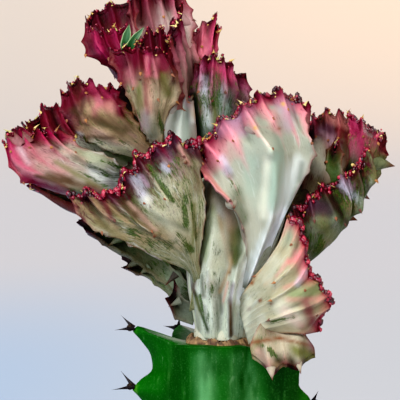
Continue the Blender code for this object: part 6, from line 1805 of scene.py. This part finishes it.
def bent_streak(n, where):
    """The skin's own coordinates across and down a lobe, a little bent."""
    warp = n.add("ShaderNodeTexNoise", Vector=where, Scale=190.0)
    bent = n.add("ShaderNodeVectorMath", {"operation": "MULTIPLY_ADD"})
    n.put(bent, 0, warp.outputs["Color"])
    n.put(bent, 1, (2.6, 2.6, 0.0))
    n.put(bent, 2, n.attribute("streak", "Vector"))
    return bent.outputs[0]


def skin_material():
    """The crest's waxy skin: smooth tints with green, wine and pale streaks along the ribs. The tints
    carry painted shade and painted highlights, and the pale streaks are partly painted sheen.
    """
    n = Nodes("crest_skin_fine")
    marks = n.split(n.attribute("marks"))
    rough = n.attribute("marks", "Alpha")
    where = n.place()
    streak = bent_streak(n, where)
    long_noise = n.noise(n.stretch(streak, (1.2, 0.2, 1)), 1.0, 5, 0.6)
    thin_noise = n.noise(n.stretch(streak, (2.6, 0.4, 1)), 1.0, 4, 0.6)
    fine_noise = n.noise(n.stretch(streak, (4.5, 1.6, 1)), 1.0, 4, 0.65)
    blots = n.noise(where, 260.0, 6, 0.68)
    dots = n.noise(where, 1900.0, 3, 0.7)
    green_base = n.total((long_noise, 0.27), (thin_noise, 0.36), (blots, 0.23), (dots, 0.14))
    wine_base = n.noise(n.stretch(streak, (2.4, 0.5, 3.0)), 1.0, 5, 0.6)
    pale_base = n.noise(n.stretch(streak, (1.7, 0.2, 7.0)), 1.0, 4, 0.5)
    green_amount = n.streaks(green_base, marks[0], 0.17, (0.566, 0.668), (0.02, 0.35))
    wine_amount = n.streaks(wine_base, marks[1], 0.24, (0.58, 0.74), (0.02, 0.25))
    pale_amount = n.streaks(pale_base, marks[2], 0.24, (0.56, 0.76), (0.05, 0.4))
    tan_base = n.math("ADD", n.noise(where, 170.0, 5, 0.6), n.math("MULTIPLY", marks[1], 0.12))
    tan_amount = n.math("MULTIPLY", n.ramp(tan_base, 0.52, 0.68), marks[0])
    # The pale streaks' colour is partly a painted sheen.
    pale, tan, wine = (rgba(colour) for colour in ((226, 230, 228), (150, 112, 84), (78, 12, 36)))
    green = n.mix(n.ramp(fine_noise, 0.35, 0.65), rgba((30, 48, 16)), rgba((78, 104, 42)))
    colour = n.attribute("tint")
    for amount, share, paint in ((pale_amount, 0.4, pale), (tan_amount, 0.55, tan),
                                 (wine_amount, 0.7, wine), (green_amount, 0.92, green)):
        colour = n.mix(n.math("MULTIPLY", amount, share), colour, paint)
    grain = n.mix(n.ramp(fine_noise, 0.3, 0.7), rgba((98, 98, 98)), rgba((160, 160, 160)))
    colour = n.mix(n.math("MULTIPLY", rough, 0.6), colour, grain, "OVERLAY")
    gloss = n.total((fine_noise, 0.22), (n.math("SUBTRACT", 1.0, rough), 0.2))
    height = n.math("MULTIPLY", n.total((fine_noise, 0.7), (long_noise, 0.6)), rough)
    n.surface(Base_Color=colour, Roughness=n.math("ADD", gloss, 0.26), Specular_IOR_Level=0.1,
              Subsurface_Weight=0.08, Subsurface_Radius=(1.0, 0.5, 0.35), Subsurface_Scale=0.001,
              Normal=n.bump(height, 0.7, 0.0005))
    return n.material


def tint_material(name, rough=0.5, subsurface=0.0, bump=0.0, specular=0.5):
    """A material that takes its colour from the pieces' own tint."""
    n = Nodes(name)
    n.surface(Base_Color=n.attribute("tint"), Roughness=rough, Specular_IOR_Level=specular)
    if subsurface:
        n.surface(Subsurface_Weight=subsurface, Subsurface_Scale=0.0012)
    if bump:
        n.surface(Normal=n.bump(n.noise(n.place(), 1800.0), bump, 0.0003))
    return n.material


def edge_spot(rng, clusters, length):
    """A place along an edge, from 0 to 1, more often than not in a cluster."""
    t = rng.random() if rng.random() < 0.4 else rng.choice(clusters) + rng.gauss(0, 0.9) / length
    return min(1.0, max(0.0, t))


def rim_details(fine, beads, tips, rng, small_ball):
    """Beads crowded in clusters along the growing edge, with dry curled leaf stubs among them."""
    length = fine.edge_length()
    rich = fine.lobe["beads"]
    clusters = [rng.random() for _ in range(max(3, int(length / 2.2)))]
    for _ in range(int(length * (9.0 if rich else 3.0))):
        t = edge_spot(rng, clusters, length)
        add_bead(fine, beads, t, rng, small_ball)
    for _ in range(int(length * (1.5 if fine.name == "front_fan" else 0.95 if rich else 0.6))):
        t = edge_spot(rng, clusters, length)
        f = rng.choice((0.02, 0.05, 0.15, 0.4, 0.9))
        a, b, up = (spline(line, [t])[0] for line in fine.edge_lines())
        add_stub(tips, blend(a, b, f) + up * rng.uniform(-0.6, 0.6), up, rng)
    for spot, out in fine.nose_tips():
        more, sides, _ = horn(spot - out * 0.4, spot + out * rng.uniform(0.7, 1.2), 0.42, 8, 4)
        tips.add(more, sides, rng.choice(NOSE_COLOURS))


def add_bead(fine, beads, t, rng, small_ball):
    """A bead at a place along the edge, which may hang a little over its front or its back."""
    a, b, up = (spline(line, [t])[0] for line in fine.edge_lines())
    f = rng.betavariate(0.6, 0.9) * (0.5 if fine.name == "low_right_fan" else 1.0)
    outer = f < 0.12 or f > 0.9
    spot = blend(a, b, f) + up * (rng.uniform(-2.0, 0.6) if outer else rng.uniform(-0.1, 0.7))
    size = rng.uniform(0.28, 0.66) if fine.lobe["beads"] else rng.uniform(0.18, 0.42)
    colours = BEAD_COLOURS[3:] if rng.random() < DARK_BEADS.get(fine.name, 0.3) else BEAD_COLOURS
    size *= BEAD_SIZES.get(fine.name, 1.0)
    shape = (size * rng.uniform(0.8, 1.2), size * rng.uniform(0.8, 1.2), size * rng.uniform(0.8, 1.7))
    beads.add(small_ball[0] * shape + spot, small_ball[1], rng.choice(colours))


def add_stub(pile, spot, up, rng):
    """A dry, curled stub: a short bent cone."""
    side = unit(np.array([rng.uniform(-1, 1), rng.uniform(-1, 1), rng.uniform(-0.3, 0.6)]))
    tall = rng.uniform(0.5, 1.3)
    lean = unit(np.asarray(up) * 0.8 + side * 0.8 + (0, -0.25, 0))
    points, quads, t = horn(spot - lean * 0.4, spot + lean * tall, rng.uniform(0.3, 0.55), 7, 5)
    curl = side * (t[:, None] ** 2) * tall * 0.6
    pile.add(points + curl, quads, rng.choice(TIP_COLOURS))


def add_lobe(fine, piece):
    """Adds a lobe's skin and its teeth to a piece."""
    points, flat = fine.points(), fine.fields()
    tint, marks = colours_of(fine.name, points, flat, fine.seed)
    streak = np.stack([flat["across"], flat["down"], flat["side"] * 40 + fine.seed * 11.0], axis=-1)
    piece.add(points, shell_faces(fine.columns, fine.levels), tint, marks, streak)
    thin = fine.name == "hanging_lobe"
    small = 0.6 if thin or "wing" in fine.name else 1.0
    share = 0.1 if thin else 0.65
    for base, tip, radius in fine.lobe.get("teeth", ()):
        more, sides, t = horn(base, tip, radius * small, fullness=1.1)
        nearest = int(np.argmin(((points - np.asarray(base)) ** 2).sum(axis=1)))
        foot = share * tint[nearest] + (0.9 - share) * np.array(rgba(LOOKS[fine.name].body))
        colour = blend(foot, np.array(rgba(TOOTH_TIP_COLOUR)), smoothstep(0.45, 0.95, t)[:, None])
        piece.add(more, sides, colour, np.tile(marks[nearest] * (0.4, 0.4, 0.4, 1), (len(more), 1)),
                  np.tile(streak[nearest], (len(more), 1)) + more * 0.4)


def foot_ring(turn, grow, z):
    """A ring round the crest's oval foot."""
    wave = 1 + 0.05 * np.cos(5 * turn)
    x = FOOT_CENTRE[0] + (FOOT_RADII[0] * wave + grow) * np.cos(turn)
    y = FOOT_CENTRE[1] + (FOOT_RADII[1] * wave + grow) * np.sin(turn)
    return np.stack([x, y, z + 0 * turn], axis=-1)


def add_foot(piece, sides=72):
    """Adds the crest's foot: an oval column from the cut up into the neck."""
    points = np.concatenate([foot_ring(circle(sides), grow, z) for z, grow in FOOT_RINGS])
    piece.add(points, ring_quads(len(FOOT_RINGS), sides), np.tile(rgba(FOOT_COLOUR), (len(points), 1)),
              np.tile([0.3, 0.0, 0.1, 0.3], (len(points), 1)), points)


def build_leaves(along=14, wide=9):
    """The two young leaves, folded along the middle, with pale edges."""
    pile = Pile()
    t = np.linspace(0, 1, along)
    across = np.linspace(-1, 1, wide)
    width = np.interp(t, [0, 0.3, 0.7, 1], [0.65, 1.25, 0.95, 0.04])[:, None]
    fold = np.abs(across) * width
    folded = np.stack([across * width, -0.45 * fold, 0.18 * fold], axis=-1)
    edge = np.tile(np.abs(across) > 0.8, 2 * along)
    for line in LEAVES:
        top = spline(line, t)[:, None] + folded
        low = top + (0, 0.22, 0)
        points = np.concatenate([top.reshape(-1, 3), low.reshape(-1, 3)])
        pile.add(points, shell_faces(along, wide), LEAF_COLOUR)
        pile.tints[-1][edge] = rgba(LEAF_EDGE_COLOUR)
    return pile.build("crest_leaves", tint_material("young_leaf", 0.45))


def build_crest():
    """All of the crest's pieces."""
    rng = random.Random(SEED + 5)
    skin = skin_material()
    beads, rich_beads, tips = Pile(), Pile(), Pile()
    small_ball = ball(1)
    made = []
    seed = 1
    for title, names in GROUPS.items():
        piece = Skin()
        for name in names:
            seed += 1
            fine = FineLobe(name, LOBES[name], seed)
            add_lobe(fine, piece)
            if name not in SMOOTH_LOBES + BARE_LOBES:
                rim_details(fine, rich_beads if fine.lobe["beads"] else beads, tips, rng, small_ball)
        if "trunk" in names:
            add_foot(piece)
        made.append(piece.build(title, skin))
    made.append(beads.build("crest_beads", tint_material("bead_skin", 0.3, 0.1)))
    made.append(rich_beads.build("crest_rich_beads", tint_material("rich_bead_skin", 0.3, 0.1)))
    made.append(tips.build("crest_tips", tint_material("dry_tip", 0.7)))
    made.append(build_leaves())
    for piece in made:
        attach(piece, "root")
        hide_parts("crest")


def stem_material():
    """The rootstock's green skin, with pale streaks, dark blots, pores and scratches."""
    n = Nodes("rootstock_skin")
    where = n.place()
    streaks = n.noise(n.stretch(where, (700, 700, 60)), 1.0, 4)
    blots = n.noise(n.stretch(where, (160, 160, 90)), 1.0, 4)
    pores = n.noise(where, 2300.0, 3, 0.6)
    scratches = n.noise(n.stretch(where, (900, 900, 330)), 1.0, 3)
    colour = n.paint(n.attribute("tint"), streaks, 0.5, 0.8, 0.12, (110, 170, 96))
    colour = n.paint(colour, blots, 0.5, 0.75, 0.4, (0, 40, 0))
    colour = n.paint(colour, pores, 0.5, 0.8, 0.12, (120, 176, 110))
    colour = n.paint(colour, scratches, 0.62, 0.8, 0.14, (150, 190, 140))
    n.surface(Base_Color=colour, Roughness=0.42, Specular_IOR_Level=0.05, Subsurface_Weight=0.02,
              Subsurface_Scale=0.002, Normal=n.bump(n.noise(where, 900.0, 6), 0.25, 0.0004))
    return n.material


def soft_radius(turn, z):
    """The stem's radius with its corners rounded off."""
    return sum(stem_radius(turn, z + off) for off in (-1.8, -0.9, 0.0, 0.9, 1.8)) / 5


def stem_shell(columns=220, rings=190):
    """The rootstock's skin, from its foot up and in over the cut, and how far out on a wing it is."""
    turns = np.arange(columns) * 360 / columns
    angles = np.radians(turns)
    around = np.stack([np.cos(angles), np.sin(angles), 0 * turns], axis=-1)
    tops = np.array([stem_top(a) for a in turns]) + 0.4 * noise3(around * 2.6, 12)
    low = STEM_FOOT - GRAFT_HEIGHT
    points, blades = [], []
    for level in np.linspace(0, 1, rings) ** 0.9:
        for turn, a, top in zip(turns, angles, tops):
            z = low + (top - low) * level
            radius = soft_radius(turn, z) + 0.036 * math.sin(z * 1.7 + turn)
            points.append((STEM_AXIS_X + radius * math.cos(a), radius * math.sin(a), z))
            blades.append(min(1.0, max(0.0, (radius - STEM_CORE) / 7.0)))
    rim = np.array(points[-columns:])
    cut = around * (7.4, 7.2, 0) + (STEM_AXIS_X, 0, -0.9)
    for share, rise in ((0.1, 0.12), (0.4, 0.1), (0.75, 0.0), (1.0, 0.0)):
        points.extend(blend(rim, cut, share) + (0, 0, rise))
        blades += [0.3] * columns
    return np.array(points), np.array(blades)[:, None], ring_quads(rings + 4, columns)


def stem_tints(points, blade):
    """Dark green in the valleys and light on the wings, pale scars in front that also carry a painted
    highlight, painted shade on the right of the front, and brown low down.
    """
    paints = {name: linear(colour) for name, colour in STEM_COLOURS.items()}
    x, z = points[:, :1], points[:, 2:]
    in_front = points[:, 1:2] < 0
    broad = noise3(points * (0.25, 0.25, 0.12), 21)[:, None]
    fine = noise3(points * (0.9, 0.9, 0.3), 22)[:, None]
    colour = blend(paints["valley"], paints["skin"], np.clip(blade + 0.5 * broad, 0, 1))
    colour = blend(colour, paints["wing"], smoothstep(0.9, 1.15, blade + 0.08 * broad) * 0.6)
    patchy = np.clip(0.5 + 0.5 * broad + 0.25 * fine, 0, 1)
    # Two pale bands down the front: pale scars, with painted highlight where the front faces the lamps.
    for middle, wide in ((1.2, 2.4), (11.5, 3.6)):
        band = np.exp(-((x - middle) / wide) ** 2) * in_front * smoothstep(-1, -4, z)
        colour = blend(colour, paints["scar"], band * patchy * 0.75)
    # Painted shade on the right of the front, which faces away from the light.
    painted_shade = smoothstep(15, 18, x) * smoothstep(27, 24, x) * in_front
    colour = blend(colour, paints["shade"], painted_shade * 0.7)
    age = smoothstep(-60, -92, z)
    return opaque(blend(colour, paints["old"], age * 0.5))


def thorn_places(rng):
    """Where each thorn stands, as the solid part has it."""
    for rib in STEM_RIBS:
        a = math.radians(rib["turn"])
        out = np.array([math.cos(a), math.sin(a), 0.0])
        side = np.array([-math.sin(a), math.cos(a), 0.0])
        level = rib["shift"]
        while level > SOIL_TOP - GRAFT_HEIGHT + 6:
            if level <= rib["top"]:
                radius = stem_radius(rib["turn"], level - 0.8)
                spot = np.array([STEM_AXIS_X, 0, level - 0.8]) + out * radius
                for way in (-1, 1):
                    reach = rng.uniform(3.2, 4.4) if way > 0 else rng.uniform(0.8, 2.0)
                    climb = rng.uniform(-0.8, 1.0) if way > 0 else rng.uniform(3.0, 4.2)
                    yield spot, out, side * way * 1.8, reach, climb
            level -= STEM_STEP


def build_thorns():
    """The black thorns and the brown pads that they stand on."""
    pile = Pile()
    places = list(thorn_places(random.Random(SEED + 1)))
    for spot, out, side, reach, climb in places:
        tip = spot + out * reach + side + (0, 0, climb)
        more, sides, _ = horn(spot - out * 1.4 + side * 0.1, tip, 0.72, 10, 8)
        pile.add(more, sides, THORN_COLOUR)
    pad, faces = ball(2)
    for spot, out, *_ in places:
        pile.add(pad * 0.9 + spot - out * 0.5, faces, THORN_PAD_COLOUR)
    return pile.build("stem_thorns", tint_material("thorn_horn", 0.45, specular=0.15))


def build_cork(steps=260):
    """The dried, split rim of the cut."""
    turn = circle(steps)
    place = np.stack([np.cos(turn) * 6, np.sin(turn) * 6, 0 * turn], axis=-1)
    lip = 0.1 + 0.4 * noise3(place, 3) + 0.3 * noise3(place * 3, 4)
    lip = lip + 0.8 * np.maximum(0, -np.cos(turn + 0.4))
    rows = []
    for up, off in CORK_RINGS:
        rough = 0.3 * noise3(place * 2.5 + (0, 0, off), 5) + 0.3 * noise3(place * 0.5, 6)
        rows.append(foot_ring(turn, off + rough * (off > 0.5), up + lip * (up > -1.9)))
    points = np.concatenate(rows)
    patchy = noise3(points * 0.9, 6) + 0.6 * noise3(points * (2.2, 2.2, 5.0), 7)
    colour = blend(linear(CORK_COLOUR), linear(CORK_DARK_COLOUR), np.clip(0.5 + patchy, 0, 1)[:, None])
    crack = smoothstep(0.35, 0.6, noise3(points * (1.4, 1.4, 0.4), 8) * noise3(points * 0.5, 9) * 4)
    tint = opaque(colour * (1 - 0.7 * crack[:, None]))
    material = tint_material("cork_skin", 0.85, bump=0.6)
    return mesh_object("stem_cork", points, ring_quads(len(rows), steps, closed=True), material, tint)


def build_stem_fine():
    """The rootstock, drawn finely, with its corky rim and thorns."""
    material = stem_material()
    points, blade, quads = stem_shell()
    stem = mesh_object("stem_skin", points, quads, material, stem_tints(points, blade))
    for piece in (stem, build_thorns(), build_cork()):
        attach(piece, "root")
        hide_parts("rootstock")


def lathe(name, outline, segments, material, wobble=0.0):
    """A fine turned solid, with an uneven skin if asked."""
    radius, z = np.asarray(outline, float).T[:, :, None]
    turn = circle(segments)
    place = np.stack(np.broadcast_arrays(np.cos(turn) * 3, np.sin(turn) * 3, z * 0.06), axis=-1)
    radius = radius + wobble * noise3(place, 8)
    points = np.stack([radius * np.cos(turn), radius * np.sin(turn), z - GRAFT_HEIGHT + 0 * radius], axis=-1)
    quads = ring_quads(len(outline), segments, closed=True)
    return mesh_object(name, points.reshape(-1, 3), quads, material)


def pot_material():
    """Mottled clay with a pale bloom of salts low down and damp marks."""
    n = Nodes("terracotta_fine")
    where = n.place()
    broad = n.noise(where, 38.0, 5)
    fine = n.noise(where, 900.0, 3)
    rings = n.noise(n.stretch(where, (6, 6, 520)), 1.0, 2)
    height = n.add("ShaderNodeSeparateXYZ", Vector=where).outputs[2]
    low = n.math("SUBTRACT", 1.0, n.ramp(height, 0.0, 0.05))
    colour = n.mix(n.ramp(broad, 0.3, 0.7), rgba((178, 92, 60)), rgba((206, 122, 84)))
    bloom = n.math("ADD", broad, n.math("MULTIPLY", low, 0.14))
    colour = n.paint(colour, bloom, 0.56, 0.74, 0.42, (228, 208, 190))
    colour = n.paint(colour, fine, 0.5, 0.8, 0.25, (120, 60, 40))
    relief = n.total((rings, 0.6), (fine, 0.5))
    n.surface(Base_Color=colour, Roughness=0.88, Normal=n.bump(relief, 0.4, 0.0004))
    return n.material


def pot_radius(z):
    """The pot's outer radius at a height below its rim."""
    return POT_FOOT_RADIUS + (POT_TOP_RADIUS - POT_RIM_STEP - POT_FOOT_RADIUS) * z / POT_HEIGHT


def build_pot_fine():
    """The clay pot, with softened edges."""
    foot, rim, top = POT_FOOT_RADIUS, POT_TOP_RADIUS, POT_HEIGHT
    band = top - POT_RIM_HEIGHT
    mouth = rim - POT_WALL
    keys = [
        (DRAIN_RADIUS, 0.0), (foot - 1.5, 0.0), (foot - 0.5, 0.35), (foot, 1.5),
        (pot_radius(band - 2), band - 2), (pot_radius(band) + 0.4, band - 1.4),
        (pot_radius(band) + 1.0, band - 0.6), (rim - 1.2, band), (rim - 0.3, band + 0.7),
        (rim, band + 2.0), (rim, top - 2.0), (rim - 0.6, top - 0.6), (rim - 2.0, top),
        (mouth + 1.0, top), (mouth, top - 0.6), (mouth - 0.5, top - 2.0),
        (pot_radius(SOIL_TOP) - POT_WALL, SOIL_TOP - 4.0), (foot - POT_WALL + 1.5, POT_FLOOR + 2.0),
        (foot - POT_WALL - 0.5, POT_FLOOR), (DRAIN_RADIUS, POT_FLOOR),
    ]
    outline = []
    for a, b in zip(keys, keys[1:] + keys[:1]):
        steps = max(1, int(math.dist(a, b) / 4))
        outline += [blend(np.array(a), np.array(b), k / steps) for k in range(steps)]
    pot = lathe("pot_skin", outline, 180, pot_material(), 0.12)
    pot.data.set_sharp_from_angle(angle=math.radians(50))
    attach(pot, "root")
    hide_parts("pot")


def soil_material():
    """Dark potting mix."""
    n = Nodes("potting_mix_fine")
    speck = n.noise(n.place(), 700.0, 6)
    colour = n.mix(n.ramp(speck, 0.35, 0.7), rgba((44, 32, 24)), rgba((104, 78, 54)))
    n.surface(Base_Color=colour, Roughness=1.0, Normal=n.bump(speck, 0.9, 0.001))
    return n.material


def soil_surface(wide, material, rings=70, segments=200):
    """The rough top of the soil, from the stem to the pot's wall."""
    radius = np.linspace(SOIL_INNER_RADIUS, wide, rings)[:, None]
    turn = circle(segments)[None]
    inner = (radius - SOIL_INNER_RADIUS) / (wide - SOIL_INNER_RADIUS)
    x = radius * np.cos(turn) + STEM_AXIS_X * (1 - inner)
    y = radius * np.sin(turn)
    base = np.stack([x, y, 0 * x], axis=-1)
    z = SOIL_TOP + 0.5 - 1.4 * smoothstep(wide - 4, wide, radius)
    for height, scale, step in ((0.9, 0.16, 11), (0.8, 0.5, 12), (0.5, 1.3, 13)):
        z = z + height * noise3(base * scale, step)
    points = np.stack([x, y, z - GRAFT_HEIGHT], axis=-1).reshape(-1, 3)
    return mesh_object("soil_top", points, ring_quads(rings, segments)[:, ::-1], material)


def soil_grains(wide):
    """Loose bits of bark and white grains, strewn over the soil."""
    rng = random.Random(SEED + 8)
    pile = Pile()
    ball_points, ball_faces = ball(1)
    for _ in range(GRAIN_COUNT):
        reach = math.sqrt(rng.uniform(0.09, 1)) * (wide - 1.5)
        angle = rng.uniform(0, 2 * math.pi)
        spot = np.array([reach * math.cos(angle), reach * math.sin(angle), 0.0])
        if math.hypot(spot[0] - STEM_AXIS_X, spot[1]) < GRAIN_CLEARANCE:
            continue
        white = rng.random() < 0.28
        size = rng.uniform(0.6, 1.7) if white else rng.uniform(0.5, 2.0)
        shape = ball_points * (size, size * rng.uniform(0.4, 1), size * rng.uniform(0.35, 0.8))
        shape = turned(shape, rng.uniform(0, 6.28))
        height = SOIL_TOP + 0.6 + 0.9 * noise3(spot[None] * 0.16, 11)[0] + rng.uniform(-0.3, 0.5)
        colour = rng.choice(PEARL_COLOURS if white else BARK_COLOURS)
        pile.add(shape + spot + (0, 0, height - GRAFT_HEIGHT), ball_faces, colour)
    return pile.build("soil_grains", tint_material("soil_grain", 0.95))


def build_soil_fine():
    """The potting mix: a rough dark top strewn with bark bits and white grains."""
    material = soil_material()
    wide = pot_radius(SOIL_TOP) - POT_WALL - 0.7
    for piece in (soil_surface(wide, material), soil_grains(wide)):
        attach(piece, "root")
    return material


def floor_material():
    """Paper that is cool near the plant and warm far off."""
    n = Nodes("floor_paper")
    spot = n.add("ShaderNodeSeparateXYZ", Vector=n.add("ShaderNodeNewGeometry").outputs["Position"])
    x, y = spot.outputs[0], spot.outputs[1]
    reach = n.math("SQRT", n.math("ADD", n.math("MULTIPLY", x, x), n.math("MULTIPLY", y, y)))
    near = n.mix(n.ramp(x, -0.16, 0.1), rgba((184, 204, 231)), rgba((208, 211, 219)))
    far = n.mix(n.ramp(x, -0.5, 0.5), rgba((222, 210, 200)), rgba((246, 222, 200)))
    colour = n.mix(n.ramp(reach, 1.5, 2.8), near, rgba((213, 212, 218)))
    colour = n.mix(n.ramp(reach, 3.2, 9.0), colour, far)
    n.surface(Base_Color=colour, Roughness=1.0, Specular_IOR_Level=0.0)
    return n.material


def build_floor():
    """A pale floor that rises into a far wall."""
    turn = circle(FLOOR_SIDES)
    radii = np.concatenate([[3.0], np.linspace(FLOOR_FLAT, FLOOR_REACH, 24)])
    points = [(0.0, 0.0, 0.0)]
    for radius in radii:
        z = FLOOR_RISE * max(0.0, (radius - FLOOR_FLAT) / (FLOOR_REACH - FLOOR_FLAT)) ** 3
        points += [(math.cos(a) * radius, math.sin(a) * radius, z) for a in turn]
    faces = [(0, 1 + k, 1 + (k + 1) % FLOOR_SIDES) for k in range(FLOOR_SIDES)]
    quads = 1 + ring_quads(len(radii), FLOOR_SIDES)[:, (0, 3, 2, 1)]
    mesh = bpy.data.meshes.new("floor")
    mesh.from_pydata(points, [], faces + quads.tolist())
    mesh.shade_smooth()
    mesh.materials.append(floor_material())
    floor = link(bpy.data.objects.new("floor", mesh))
    floor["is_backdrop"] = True


def lamp(name, place, size, power, colour):
    """A soft lamp that looks at the crest."""
    light = bpy.data.lights.new(name, "AREA")
    light.energy = power
    light.size = size
    light.color = colour
    thing = link(bpy.data.objects.new(name, light))
    thing.location = place
    thing.rotation_euler = (Vector(LAMP_AIM) - Vector(place)).to_track_quat("-Z", "Y").to_euler()
    thing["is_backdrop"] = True


def build_lights():
    """A soft room, a sun from the upper left and four soft lamps."""
    world = bpy.data.worlds.new("soft_room")
    world.use_nodes = True
    background = world.node_tree.nodes["Background"].inputs
    background[0].default_value = rgba((236, 234, 232))
    background[1].default_value = 0.3
    bpy.context.scene.world = world
    sun = bpy.data.lights.new("sun", "SUN")
    sun.energy = 3.0
    sun.angle = math.radians(14)
    sun.color = (1.0, 0.99, 0.97)
    high = link(bpy.data.objects.new("sun", sun))
    high.rotation_euler = (math.radians(42), 0, math.radians(-28))
    for name, settings in LAMPS.items():
        lamp(name, *settings)


def set_tones():
    """Plain picture tones, with the dark ones deepened by a curve for all three colours."""
    view = bpy.context.scene.view_settings
    view.view_transform = "Standard"
    view.use_curve_mapping = True
    view.curve_mapping.initialize()
    curve = view.curve_mapping.curves[3]
    for rendered, shown in DARK_TONES:
        curve.points.new(float(linear(rendered)), float(linear(shown)))
    view.curve_mapping.update()


def build_camera():
    """A long lens in front of the crest, a little above it."""
    camera = bpy.data.cameras.new("camera")
    camera.sensor_width = 36
    camera.lens = 36 * VIEW_DISTANCE / VIEW_WIDTH
    camera.clip_start = 0.05
    camera.clip_end = 60
    thing = link(bpy.data.objects.new("camera", camera))
    tilt = math.radians(VIEW_TILT)
    back = np.array([0.0, -math.cos(tilt), math.sin(tilt)])
    thing.location = (np.array(VIEW_CENTRE) + back * VIEW_DISTANCE) * MM
    thing.rotation_euler = (math.pi / 2 - tilt, 0, 0)
    bpy.context.scene.camera = thing


def write_sizes():
    """Lists the corners of the solids' box and of the finished box."""
    lines = [[float(c) for c in corner] for corner in (*CAD_BOX, *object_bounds())]


build_crest()
build_stem_fine()
build_pot_fine()
soil_skin = build_soil_fine()
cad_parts["soil"].data.materials.clear()
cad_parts["soil"].data.materials.append(soil_skin)
build_floor()
build_lights()
set_tones()
build_camera()
write_sizes()
